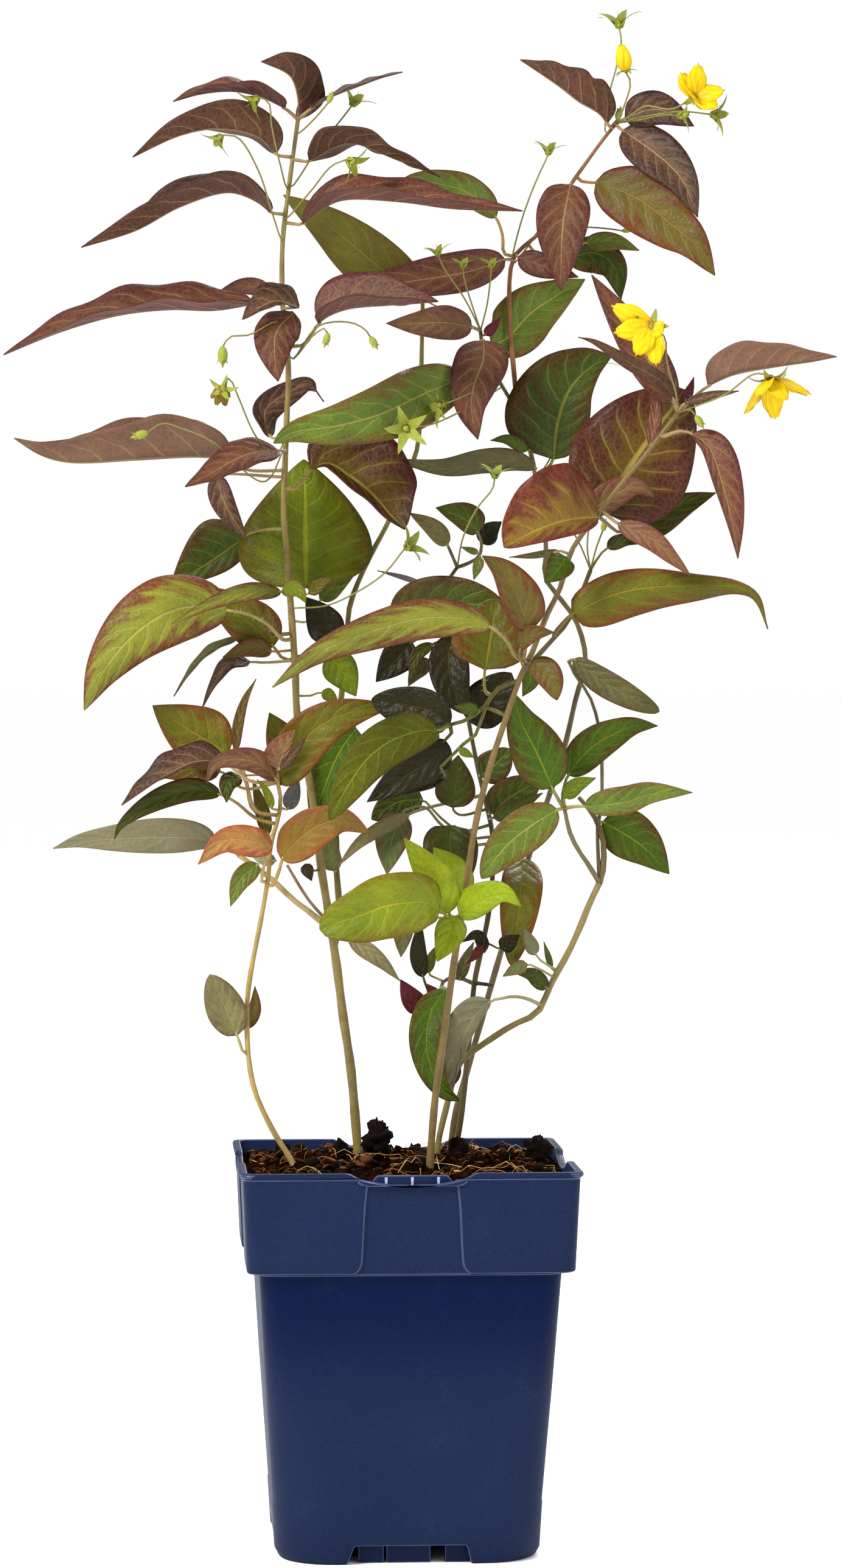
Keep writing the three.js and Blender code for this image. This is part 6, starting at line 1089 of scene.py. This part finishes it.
# Flowers.
def add_sepals(heap, centre, axis, size, open_out, tints):
    """Five narrow pointed sepals, two skins each, round a small green ovary."""
    side, other = square_to(axis)
    steps, thick, slender = 7, 0.0003, 0.19
    for petal in range(PETALS):
        out = spoke(side, other, 2 * math.pi * petal / PETALS)
        wide = axis.cross(out).normalized()
        points = []
        for i in range(steps + 1):
            t = i / steps
            tilt = open_out * (0.4 + 0.6 * t)
            spot = centre + (axis * math.cos(tilt) + out * math.sin(tilt)) * (size * MM * t)
            half = slender * size * MM * blade_outline(0.06 + 0.94 * t, 0.6, 0.8)
            lift = (axis * math.sin(tilt) - out * math.cos(tilt)) * (
                thick * blade_outline(t, 0.7, 1))
            points += [spot + wide * (half * x) - lift * (1 - abs(x)) for x in (-1, 0, 1)]
        faces = [(a, d, c, b) for a, b, c, d in grid_faces(steps, 3)]
        under = [p - (axis * 0.3 + out * 0.5) * thick for p in points]
        heap.add(points, faces, tints, 1)
        heap.add(under, [face[::-1] for face in faces], tints, 1)
    ovary_up, ovary_wide, ovary_high = 0.14, 0.13, 0.18
    ball(heap, centre + axis * (size * MM * ovary_up), axis, ovary_wide * size * MM,
         ovary_high * size * MM, tints, 1)


def open_stalk_near(centre):
    return min((stalk for stalk in STALKS if stalk.bears == "open"),
               key=lambda stalk: (place(stalk.path[-1]) - centre).length)


def corolla_frame(bloom):
    """Middle of a corolla, the tips of its petals and the way it faces."""
    centre, depth = place(bloom.middle), bloom.middle[2]
    spots = [place((u, v, depth + (w - depth) / DEPTH)) for u, v, w in bloom.tips]
    normal = Vector((0, 0, 0))
    for a, b in zip(spots, spots[1:] + spots[:1]):
        normal += (a - centre).cross(b - centre).normalized()
    normal.normalize()
    if normal.dot(heading(open_stalk_near(centre).aim)) < 0:
        normal.negate()
    return centre, spots, normal


# Calyx: its sepals' length to the flower's size, and how far they open, in radians.
SEPALS = {"bud": (1.9, 0.36), "open": (1.2, 1.7), "calyx": (1.5, 1.05)}
# Bud: its middle above the stalk and half its width and height, to the flower's size.
BUD_UP, BUD_WIDE, BUD_HIGH = 0.9, 0.55, 1.05


def flower_piece(name, foot):
    """Flower stalks, buds and spent flowers of one shoot."""
    heap, stalk_radius, below_bloom = Heap(), 0.0004, 0.0013
    green = tinted((140, 146, 58), (104, 112, 48))
    for stalk in STALKS:
        if foot_of(stalk.stem) != foot:
            continue
        line = [place(p) for p in stalk.path]
        root = root_on(stalk.stem, stalk.path[1])
        line = [root] + (line[1:] if (root - line[0]).length < 0.004 else line)
        way = heading(stalk.aim)
        for bloom in COROLLAS:
            if open_stalk_near(place(bloom.middle)) is stalk:
                centre, _, way = corolla_frame(bloom)
                line[-1] = centre - way * below_bloom
        smooth = spaced_line(line, 0.003, 6)
        skin = tinted((118, 106, 52) if stalk.bears == "bud" else (122, 118, 56))
        tube(heap, smooth, [stalk_radius] * len(smooth), 5, skin)
        tip, size = smooth[-1], stalk.size
        if stalk.bears == "bud":
            ball(heap, tip + way * (BUD_UP * size * MM), way, BUD_WIDE * size * MM,
                 BUD_HIGH * size * MM, green, 1, sides=10, rings=7, point=0.5)
        longer, open_out = SEPALS[stalk.bears]
        add_sepals(heap, tip, way, size * longer, open_out, green)
        if stalk.bears == "calyx":
            style = [tip + way * 0.001, tip + way * (size * MM * 0.9)]
            tube(heap, style, [0.00018, 0.0001], 5, green, 1)
    return heap.build(name, STEM_SKIN, CALYX_SKIN)


def petals_skin(bloom, centre, spots, normal, faded, chance):
    """Petals narrowed to a claw, broad and toothed beyond; faded ones hang half shut."""
    heap = Heap()
    if faded:
        skin, half, more_bend = tinted((96, 88, 30), (136, 84, 24)), bloom.half * 0.66, 1.5
    else:
        skin, half, more_bend = tinted((222, 192, 8), (196, 148, 4)), bloom.half, 0
    rows, cells, hanging = 12, 4, 0.45
    for tip in spots:
        way = tip - centre
        if faded:
            way = way.lerp(normal * way.length, hanging)
        wide = normal.cross(way).normalized()
        points, uvs = [], []
        bend = chance.uniform(0.8, 2.2) + more_bend
        for i in range(rows + 1):
            t = i / rows
            shape = 0.16 + 0.84 * blade_outline(0.1 + 0.82 * t, 1.15, 0.75)
            for k in range(-cells, cells + 1):
                x = k / cells
                tooth = 0.05 * math.cos(x * 9.5) * max(0.0, t - 0.7) / 0.3
                reach = t * (1 - 0.14 * x * x * t) + tooth
                cup = 0.0011 * (1 - (2 * t - 0.9) ** 2) * bend * 0.5 - 0.0008 * x * x * t
                crumple = 0.0004 * math.sin(x * 7 + i) * t
                points.append(centre + way * reach + wide * (half * MM * shape * x)
                              - normal * (cup - crumple))
                uvs.append((t, 0.5 + 0.5 * x))
        heap.add(points, grid_faces(rows, 2 * cells + 1), skin, 0, uvs)
    piece = heap.build(bloom.node + "_skin", PETAL_SKIN)
    thicken(piece, PETAL_THICK)
    return piece


def stamens(name, centre, normal):
    """Five stamens with their anthers, round a small pistil."""
    heap, first_turn = Heap(), 0.4
    anther, thread = tinted((206, 158, 40)), tinted((178, 96, 30))
    side, other = square_to(normal)
    for k in range(PETALS):
        out = spoke(side, other, 2 * math.pi * k / PETALS + first_turn)
        end = centre + out * 0.0014 + normal * 0.0034
        tube(heap, [centre + out * 0.0006, end], [0.0003, 0.0002], 5, thread)
        ball(heap, end, (out * 0.5 + normal).normalized(), 0.00045, 0.0011, anther, 0, 6, 5)
    ball(heap, centre + normal * 0.0006, normal, 0.0009, 0.001, tinted((150, 150, 50)))
    return heap.build(name, CALYX_SKIN)


def corolla_pieces(bloom, chance):
    centre, spots, normal = corolla_frame(bloom)
    faded = bloom.node == "petals_faded"
    pieces = [petals_skin(bloom, centre, spots, normal, faded, chance)]
    if not faded:
        pieces.append(stamens(bloom.node + "_stamens", centre, normal))
    return pieces


def closed_bloom_piece():
    """A bloom still rolled shut: petals wound round each other."""
    stalk = open_stalk_near(place((100.2, 667, 27.8)))
    axis, above_stalk = heading(stalk.aim), 0.0005
    foot_spot = place(stalk.path[-1]) + axis * above_stalk
    side = axis.cross(UP).normalized()
    other = axis.cross(side)
    heap = Heap()
    rows, cells, high, wrap, twist = 12, 8, 0.0125, 1.9, 0.7
    for petal in range(PETALS):
        start = 2 * math.pi * petal / PETALS
        points, uvs = [], []
        for i in range(rows + 1):
            t = i / rows
            swell = (1.2 + 2.5 * math.sin(math.pi * min(1.0, t * 0.92) ** 0.8)) * MM
            for k in range(cells + 1):
                x = k / cells
                reach = swell * (0.86 + 0.14 * x)
                points.append(foot_spot + axis * (high * t * (1 - 0.06 * x))
                              + spoke(side, other, start + x * wrap + t * twist) * reach)
                uvs.append((0.3 + 0.7 * t, x))
        heap.add(points, grid_faces(rows, cells + 1), tinted((226, 194, 16), (206, 156, 10)),
                 0, uvs)
    piece = heap.build("petals_closed_skin", PETAL_SKIN)
    thicken(piece, CLOSED_THICK)
    return piece


# Pot, all measures in mm.
POT_HIGH, SKIRT_HIGH = 173.0, 44.0
SKIRT_Z = POT_HIGH - SKIRT_HIGH
RIM_WIDE, RIM_THICK = 150, 2.4
FOOT_WIDE, BODY_WIDE, FOOT_CORNER, BODY_CORNER = 117, 133, 26, 7
SKIRT_FOOT_WIDE, SKIRT_SPREAD = 143.7, 3.9
WALL, SKIRT_WALL, FLOOR_TOP, FLOOR_UNDER = 1.6, 2.3, 10.6, 9
DIP_HALF, LIP_HALF, BOWL_HALF = 28.6, 23.5, 23
TAB_Y, TAB_THICK = 0.25, 2.4
# Bars seen through a notch: their middle from the pot's, and width. Then width, depth and height
# of what is cut into the floor or stands under it, and the height of a foot's middle.
NOTCH_BARS = ((-17, 11.2), (-0.6, 19.4), (22, 13))
DRAIN_SLOT, CORNER_FOOT, MIDDLE_FOOT, FOOT_MIDDLE = (14, 4, 6), (14, 14, 9.5), (19, 19, 9.5), 4.75
EDGE_ROUND, EDGE_FROM, SMOOTH_BELOW = 0.4, 40, 32


def body_half(z):
    return (FOOT_WIDE + (BODY_WIDE - FOOT_WIDE) * z / SKIRT_Z) / 2


def body_corner(z):
    return FOOT_CORNER - (FOOT_CORNER - BODY_CORNER) * z / SKIRT_Z


def skirt_half(z):
    return (SKIRT_FOOT_WIDE + SKIRT_SPREAD * (z - SKIRT_Z) / SKIRT_HIGH) / 2


def square_ring(half, corner, z):
    """Points round a square with rounded corners."""
    ring, steps = [], 8
    for side in range(4):
        turn = side * math.pi / 2
        for k in range(steps + 1):
            angle = k / steps * math.pi / 2
            x = half - corner + corner * math.cos(angle)
            y = half - corner + corner * math.sin(angle)
            ring.append(Vector((x * math.cos(turn) - y * math.sin(turn),
                                x * math.sin(turn) + y * math.cos(turn), z)) * MM)
    return ring


def loft(name, *squares):
    """A closed body through rounded squares, each given by half its width, corner and height."""
    rings = [square_ring(*square) for square in squares]
    return new_piece(name, [p for ring in rings for p in ring],
                     ring_faces(len(rings) - 1, len(rings[0])))


def cut(piece, tool, operation="DIFFERENCE"):
    apply(piece, "BOOLEAN", operation=operation, solver="EXACT", object=tool)
    bpy.data.objects.remove(tool)


def prism(outline, y, thickness, quarter, lean=0.0):
    """A flat outline in the X-Z plane, pushed along Y and turned to one of the four sides."""
    count = len(outline)
    points = [Vector((x, deep, z)) for deep in (y, y + thickness) for x, z in outline]
    if lean:
        hinge = Matrix.Translation((0, 0, SKIRT_Z))
        turn = hinge @ Matrix.Rotation(lean, 4, "X") @ Matrix.Translation((0, 0, -SKIRT_Z))
        points = [turn @ p for p in points]
    spin = Matrix.Rotation(quarter * math.pi / 2, 4, "Z")
    faces = [tuple(range(count)), tuple(range(2 * count - 1, count - 1, -1))]
    for k in range(count):
        n = (k + 1) % count
        faces.append((n, k, k + count, n + count))
    tool = new_piece("tool", [(spin @ p) * MM for p in points], faces)
    clean = bmesh.new()
    clean.from_mesh(tool.data)
    bmesh.ops.recalc_face_normals(clean, faces=clean.faces)
    clean.to_mesh(tool.data)
    clean.free()
    return tool


def slab(width, depth, height, x, y, z, quarter=0):
    outline = [(x - width / 2, z - height / 2), (x + width / 2, z - height / 2),
               (x + width / 2, z + height / 2), (x - width / 2, z + height / 2)]
    return prism(outline, y - depth / 2, depth, quarter)


def rounded(corners, radius):
    """A closed outline with its corners rounded."""
    out, steps = [], 4
    for i, corner in enumerate(corners):
        here = Vector(corner)
        before = Vector(corners[i - 1]) - here
        after = Vector(corners[(i + 1) % len(corners)]) - here
        cutback = min(radius, before.length * 0.45, after.length * 0.45)
        a, b = here + before.normalized() * cutback, here + after.normalized() * cutback
        for k in range(steps + 1):
            t = k / steps
            out.append(tuple(a.lerp(here, t).lerp(here.lerp(b, t), t)))
    return out


def dip_depth(x):
    """How far the rim drops at x mm from the middle of a side: soft shoulders, then a bowl."""
    shoulder = clip((28.5 - abs(x)) / 6.5)
    bowl = max(0.0, 1 - (x / BOWL_HALF) ** 2)
    return 2.6 * shoulder * shoulder * (3 - 2 * shoulder) + 3.0 * bowl


def dip_outline():
    """What is cut off the rim, and the lip that is set on below it."""
    steps, above = 44, POT_HIGH + 3
    dip = [(38, above)]
    for k in range(steps + 1):
        x = DIP_HALF - 2 * DIP_HALF * k / steps
        dip.append((x, POT_HIGH + 0.05 - dip_depth(x)))
    dip.append((-38, above))
    lip = [(x, z - 0.1) for x, z in dip if abs(x) < LIP_HALF]
    lip += [(x, z - 3.1 + 1.3 * (x / BOWL_HALF) ** 2) for x, z in reversed(lip)]
    return dip, lip


def panel_outline():
    """The sunk middle of the skirt between its raised panels, curved out at the foot."""
    top = POT_HIGH
    edge = [(19.8, top - 2.4), (20.8, top - 12), (21.4, top - 24), (21.9, top - 34)]
    edge += [(28.5 - 6.4 * math.cos(a) if a < 1.6 else 28.5, top - 35.6 - 6.0 * math.sin(a))
             for a in (0.15, 0.45, 0.75, 1.05, 1.35, 1.57)]
    edge += [(30.5, top - 41.7), (31.5, SKIRT_Z - 1)]
    return edge + [(-x, z) for x, z in reversed(edge)]


def pot_piece():
    """The pot: a tapered body, a leaning skirt with panels, dips, notches and feet."""
    top, seam = POT_HIGH, SKIRT_Z
    pot = loft(
        "pot_shell",
        # the rounded foot, and the slight step above it
        (body_half(0) - 3, 23, 0), (body_half(0) - 1.4, 24, 0.8), (body_half(4), 25, 4),
        (body_half(23.6), body_corner(23.6) + 3, 23.6),
        (body_half(24) - 0.3, body_corner(24) + 2.7, 24.2),
        # the body up to the seam, where the skirt stands out
        (body_half(80), body_corner(80) + 1.5, 80), (body_half(seam - 1) - 0.1, 8, seam - 1.1),
        (skirt_half(seam) - 1.0, 7, seam - 0.3), (skirt_half(seam) - 0.3, 7, seam),
        # the skirt, and the bead round the rim
        (skirt_half(seam + 1), 7, seam + 0.9), (skirt_half(top - 2.6), 5.5, top - 2.8),
        (74.6, 5.8, top - 2.2), (75, 6, top - 1.7), (75, 6, top - 0.7), (74.5, 5.8, top - 0.1),
        (74.1, 5.4, top))
    cut(pot, loft(
        "pot_inside",
        (body_half(FLOOR_TOP) - WALL, 23, FLOOR_TOP), (body_half(seam) - WALL, 7, seam + 1.4),
        (skirt_half(seam + 2.4) - SKIRT_WALL, 5.5, seam + 2.8),
        (skirt_half(top - 1) - SKIRT_WALL, 4.6, top - 0.8),
        (skirt_half(top) - 1.9, 4.6, top + 1)))
    cut(pot, loft("pot_under", (body_half(0) - 4.6, 20, -1),
                  (body_half(FLOOR_UNDER) - 2.2, 21, FLOOR_UNDER)))
    lean = math.atan((RIM_WIDE - RIM_THICK - SKIRT_FOOT_WIDE) / 2 / SKIRT_HIGH)
    dip, lip = dip_outline()
    panel = panel_outline()
    notch = rounded([(-28, -1), (27, -1), (24.6, 8.5), (-24.6, 8.5)], 1.2)
    for quarter in range(4):
        cut(pot, prism(dip, -77, 8, quarter))
        cut(pot, prism(lip, -skirt_half(top) - 1.1, 1.8, quarter), "UNION")
        cut(pot, prism(panel, -SKIRT_FOOT_WIDE / 2 - 3.0, 4.6, quarter, lean))
        cut(pot, prism(notch, -body_half(0) - 2, 7, quarter))
        for x, width in NOTCH_BARS:
            cut(pot, slab(width, 4, 9.6, x, -50.5, 4.8, quarter), "UNION")
        cut(pot, slab(*DRAIN_SLOT, 0, -24, 10, quarter))
        cut(pot, slab(*CORNER_FOOT, 30, -30, FOOT_MIDDLE, quarter), "UNION")
    cut(pot, slab(*MIDDLE_FOOT, 0, 0, FOOT_MIDDLE), "UNION")
    tab_low, tab_top = top - 17, top - 1.2
    tab = rounded([(-17.5, tab_low), (17.5, tab_low), (17.2, tab_top - 2.2), (15.2, tab_top),
                   (-15.2, tab_top), (-17.2, tab_top - 2.2)], 0.5)
    cut(pot, prism(tab, tab_face(), TAB_THICK, 0), "UNION")
    pot.data.materials.clear()
    for material in (POT_SKIN, POT_EDGE_HIGHLIGHT):
        pot.data.materials.append(material)
    # The bevelled edges take the second slot, the lighter blue that paints a highlight along them.
    apply(pot, "BEVEL", width=EDGE_ROUND * MM, use_clamp_overlap=False, segments=2,
          limit_method="ANGLE", angle_limit=math.radians(EDGE_FROM), material=1)
    bpy.ops.object.shade_smooth_by_angle(angle=math.radians(SMOOTH_BELOW))
    return pot


def tab_face():
    """Where the label tab's front lies, just inside the skirt's wall."""
    return -(skirt_half(POT_HIGH) - SKIRT_WALL) + TAB_Y


def tab_ribs():
    """Three ribs, wider at the top, on the front of the label tab, painted pale as highlights on
    the blue plastic.
    """
    heap = Heap()
    high, low = POT_HIGH - 1.9, POT_HIGH - 9
    for middle in (-11.4, 0, 11.4):
        points = [Vector((middle + x, y, z)) * MM
                  for y in (tab_face() - 0.35, tab_face() + 0.3)
                  for x, z in ((-0.35, low), (0.35, low), (0.65, high), (-0.65, high))]
        faces = [(0, 1, 2, 3), (7, 6, 5, 4), (0, 4, 5, 1), (1, 5, 6, 2), (2, 6, 7, 3),
                 (3, 7, 4, 0)]
        # The pale tint is a painted highlight where light catches the ribs.
        heap.add(points, faces, tinted((150, 158, 186)))
    return heap.build("pot_tab_ribs", tinted_material("rib painted highlight", 0.6))


# Soil.
SMALL_CLODS, ROOTLETS, CHIPS, ROOT_JOINTS = 260, 150, 50, 7
CLOD_TINTS = ((14, 8, 4), (36, 20, 10), (84, 48, 22), (24, 14, 7))
ROOT_TINTS = ((190, 134, 78), (150, 96, 48), (222, 184, 134), (96, 56, 26))
CHIP_TINTS = ((120, 78, 44), (150, 100, 58), (96, 66, 40), (176, 130, 84))
# Large clods: place in the layout with the depth in mm, half their width, half their height.
LARGE_CLODS = ((-11, 185, -6, 5.8, 7.5), (61, 180, 8, 6.0, 5.0), (-28, 180, 18, 3, 4),
               (25, 180, 20, 4.5, 5), (-54, 179, 24, 3.2, 4), (5, 178, 20, 3.5, 4))


def noise_at(x, y, layer, scale):
    return noise.noise(Vector((x, y, layer)) * scale)


def soil_height(x, y):
    """Height of the rough, slightly mounded peat at a place in the pot."""
    far = max(abs(x), abs(y)) / 70
    mound = 5.5 * max(0.0, 1 - far * far)
    rough = (1.3 * math.sin(x * 0.21 + 1.3) * math.cos(y * 0.17 - 0.4)
             + 0.9 * math.sin(x * 0.47 + y * 0.39) + 0.5 * math.cos(x * 0.9 - y * 0.7))
    lumps = 1.5 * noise_at(x, y, 3, 0.22) + 0.9 * noise_at(x, y, 9, 0.55)
    crumbs = 0.55 * noise_at(x, y, 5, 1.3)
    return POT_HIGH - 6.4 + mound + rough * min(1.0, (1.02 - far) * 5 + 0.35) + lumps + crumbs


def on_square(way, half, corner, z):
    """Where a ray from the axis meets a rounded square."""
    low, high = 0.0, 2.0 * half
    halvings = 24
    for _ in range(halvings):
        reach = (low + high) / 2
        x, y = abs(way.x) * reach, abs(way.y) * reach
        dx, dy = max(0.0, x - half + corner), max(0.0, y - half + corner)
        inside = max(x, y) <= half and math.hypot(dx, dy) <= corner
        low, high = (reach, high) if inside else (low, reach)
    return Vector((way.x * low, way.y * low, z)) * MM


def soil_piece():
    """A rough peat top, cut back behind the label tab, on a plain block that fills the pot."""
    cells, round_off, tab_half, tab_room = 150, 5, 18.4, 3.2
    half = skirt_half(POT_HIGH - 7) - 2.75
    wide = cells + 1
    points = []
    for i in range(wide):
        for k in range(wide):
            x, y = (2 * k / cells - 1) * half, (2 * i / cells - 1) * half
            z = soil_height(x, y)
            if abs(x) < tab_half and y < -half + tab_room:
                y = -half + tab_room
            if i in (0, cells) or k in (0, cells):
                z = min(z, POT_HIGH - 6)
            past_x, past_y = abs(x) - half + round_off, abs(y) - half + round_off
            corner = math.hypot(max(0.0, past_x), max(0.0, past_y))
            if corner > round_off:
                pull = round_off / corner
                x = math.copysign(half - round_off + past_x * pull, x)
                y = math.copysign(half - round_off + past_y * pull, y)
            points.append(Vector((x, y, z)) * MM)
    heap = Heap()
    brown = tinted((45, 32, 22))
    heap.add(points, grid_faces(cells, wide), brown)
    rim = list(range(wide)) + [i * wide + cells for i in range(1, wide)]
    rim += [cells * wide + k for k in range(cells - 1, -1, -1)]
    rim += [i * wide for i in range(cells - 1, 0, -1)]
    side = [points[i] for i in rim]
    ways = [Vector((p.x, p.y, 0)).normalized() for p in side]
    levels = ((skirt_half(SKIRT_Z + 6) - 2.9, 5, SKIRT_Z + 6),
              (body_half(SKIRT_Z) - 2.1, 7, SKIRT_Z + 1.6),
              (body_half(72) - 2.1, body_corner(72), 72), (body_half(11) - 2.1, 24, 11))
    for level in levels:
        side += [on_square(way, *level) for way in ways]
    end = len(levels) * len(rim)
    faces = [face[::-1] for face in grid_faces(len(levels), len(rim), True)]
    faces.append(tuple(range(end + len(rim) - 1, end - 1, -1)))
    heap.add(side, faces, brown)
    return heap.build("soil_block", PEAT)


def lump(heap, centre, size, tints, chance, stretch):
    """A rough clod from a jittered ball."""
    rings, sides = (22, 28) if size > 0.0028 else (9, 12)
    points = []
    seed = Vector((chance.random() * 50, chance.random() * 50, 0))
    for i in range(rings + 1):
        a = math.pi * i / rings
        for k in range(sides):
            b = 2 * math.pi * k / sides
            way = Vector((math.sin(a) * math.cos(b), math.sin(a) * math.sin(b), -math.cos(a)))
            reach = size * (1 + 0.5 * noise.noise(way * 1.7 + seed)
                            + 0.34 * noise.noise(way * 4 + seed)
                            + 0.24 * noise.noise(way * 10 + seed))
            points.append(centre + Vector([c * s for c, s in zip(way, stretch)]) * reach)
    heap.add(points, ring_faces(rings, sides), tints)


def on_soil(x, y, above):
    return Vector((x, y, soil_height(x, y) + above)) * MM


def clods_piece(chance):
    """Large clods laid one by one and many small ones strewn about."""
    clods = Heap()
    black = tinted((17, 10, 6))
    for u, v, w, wide, high in LARGE_CLODS:
        lump(clods, place((u, v, w / DEPTH)), wide * MM, black, chance, (1, 1, high / wide))
    for _ in range(SMALL_CLODS):
        x, y = chance.uniform(-67, 67), chance.uniform(-66, 67)
        size = chance.uniform(0.5, 1.9) if chance.random() < 0.9 else chance.uniform(2, 3.2)
        shade = chance.choice(CLOD_TINTS)
        lump(clods, on_soil(x, y, size * 0.2), size * MM, tinted(shade), chance,
             (1, chance.uniform(0.7, 1.3), 0.7))
    return clods.build("soil_clods", tinted_material("peat clods", 0.95))


def rootlets_piece(chance):
    """Straw-coloured rootlets, every other one nearly straight, and short bark chips."""
    bits, reach, last = Heap(), 68, ROOT_JOINTS - 1
    for number in range(ROOTLETS):
        straight = number % 2 == 0
        x, y = chance.uniform(-66, 66), chance.uniform(-66, 66)
        angle = chance.uniform(0, 6.28)
        length = chance.uniform(14, 36) if straight else chance.uniform(5, 22)
        curl = chance.uniform(-0.012, 0.012) if straight else chance.uniform(-0.05, 0.05)
        lift = chance.uniform(0.6, 4.2) if straight else chance.uniform(0.2, 1.6)
        line = []
        for i in range(ROOT_JOINTS):
            line.append(on_soil(min(reach, max(-reach, x)), min(reach, max(-66, y)),
                                0.3 + lift * math.sin(math.pi * (i / last))))
            angle += curl * length / 3
            x += math.cos(angle) * length / last
            y += math.sin(angle) * length / last
        shade = chance.choice(ROOT_TINTS)
        radius = (chance.uniform(0.09, 0.15) if straight else chance.uniform(0.05, 0.1)) * MM
        radii = [radius * 0.7] + [radius] * (ROOT_JOINTS - 2) + [radius * 0.5]
        tube(bits, line, radii, 5, tinted(shade))
    for _ in range(CHIPS):
        x, y = chance.uniform(-64, 64), chance.uniform(-64, 64)
        angle = chance.uniform(0, 6.28)
        size = chance.uniform(1.5, 4.5)
        shade = chance.choice(CHIP_TINTS)
        way = Vector((math.cos(angle), math.sin(angle), chance.uniform(-0.3, 0.3))).normalized()
        spot = on_soil(x, y, 0.5)
        half = way * size * MM * 0.5
        tube(bits, [spot - half, spot, spot + half],
             [size * 0.1 * MM, size * 0.2 * MM, size * 0.12 * MM], 5, tinted(shade))
    return bits.build("soil_rootlets", DRY_BITS)


# The object.
def settle(piece, slot, *nodes):
    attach(piece, "root")
    if nodes:
        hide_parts(*nodes)


settle(pot_piece(), "pot", "pot")
settle(tab_ribs(), "pot", "pot")
settle(soil_piece(), "soil", "soil")
chance = random.Random(SEED)
for make in (clods_piece, rootlets_piece):
    settle(make(chance), "soil", "soil")

for number, (node, (foot, slot)) in enumerate(SHOOTS.items()):
    chance = random.Random(SEED + 10 * number)
    blades, leaves = leaf_piece(node + "_leaves", foot, chance)
    for piece in (blades, *stem_piece(node, foot, leaves, chance)):
        settle(piece, slot, node)
    if any(foot_of(stalk.stem) == foot for stalk in STALKS):
        settle(flower_piece(node + "_flowers", foot), slot, node)

for number, bloom in enumerate(COROLLAS):
    for piece in corolla_pieces(bloom, random.Random(SEED + 100 + number)):
        settle(piece, "petals", bloom.node)
settle(closed_bloom_piece(), "petals", "petals_closed")

# Studio.
scene = bpy.context.scene
bpy.ops.mesh.primitive_plane_add(size=60, location=(0, 20, 0))
floor = bpy.context.object
floor.name = "floor"
floor.data.materials.append(plain_material("pale floor", 0.6, (0.98, 0.98, 0.98, 1),
                                           (0.99, 0.99, 0.99, 1), 0.9))

world = bpy.data.worlds.new("studio")
world.use_nodes = True
sky = world.node_tree.nodes["Background"]
sky.inputs["Color"].default_value = (1, 1, 1, 1)
sky.inputs["Strength"].default_value = 1.0
scene.world = world


def soft_light(name, spot, aim, size, power):
    data = bpy.data.lights.new(name, "AREA")
    data.shape = "DISK"
    data.size = size
    data.energy = power
    lamp = bpy.data.objects.new(name, data)
    lamp.location = spot
    lamp.rotation_euler = (Vector(aim) - Vector(spot)).to_track_quat("-Z", "Y").to_euler()
    scene.collection.objects.link(lamp)


soft_light("key", (-1.5, -1.3, 1.7), (0, 0, 0.35), 0.7, 84)
soft_light("fill", (1.7, -1.2, 0.9), (0, 0, 0.35), 0.9, 16)
soft_light("back", (0.6, 1.6, 1.6), (0, 0, 0.4), 1.0, 34)

# The camera looks level, and its lens is shifted down to the middle of the picture, in mm.
PICTURE_HIGH, PICTURE_RIGHT, PICTURE_MIDDLE, SENSOR = 705.4, 8.0, 344.0, 36
lens = bpy.data.cameras.new("camera")
lens.sensor_fit = "AUTO"
lens.sensor_width = SENSOR
lens.lens = SENSOR * EYE_OUT / PICTURE_HIGH
lens.shift_x = PICTURE_RIGHT / PICTURE_HIGH
lens.shift_y = (PICTURE_MIDDLE - EYE_UP) / PICTURE_HIGH
lens.clip_end = 90
camera = bpy.data.objects.new("camera", lens)
camera.location = (-EYE_OUT * TURN_SIN * MM, -EYE_OUT * TURN_COS * MM, (EYE_UP - BASE_UP) * MM)
camera.rotation_euler = (math.radians(90), 0, -EYE_TURN)
scene.collection.objects.link(camera)
scene.camera = camera
scene.view_settings.view_transform = "Standard"

bpy.context.view_layer.update()
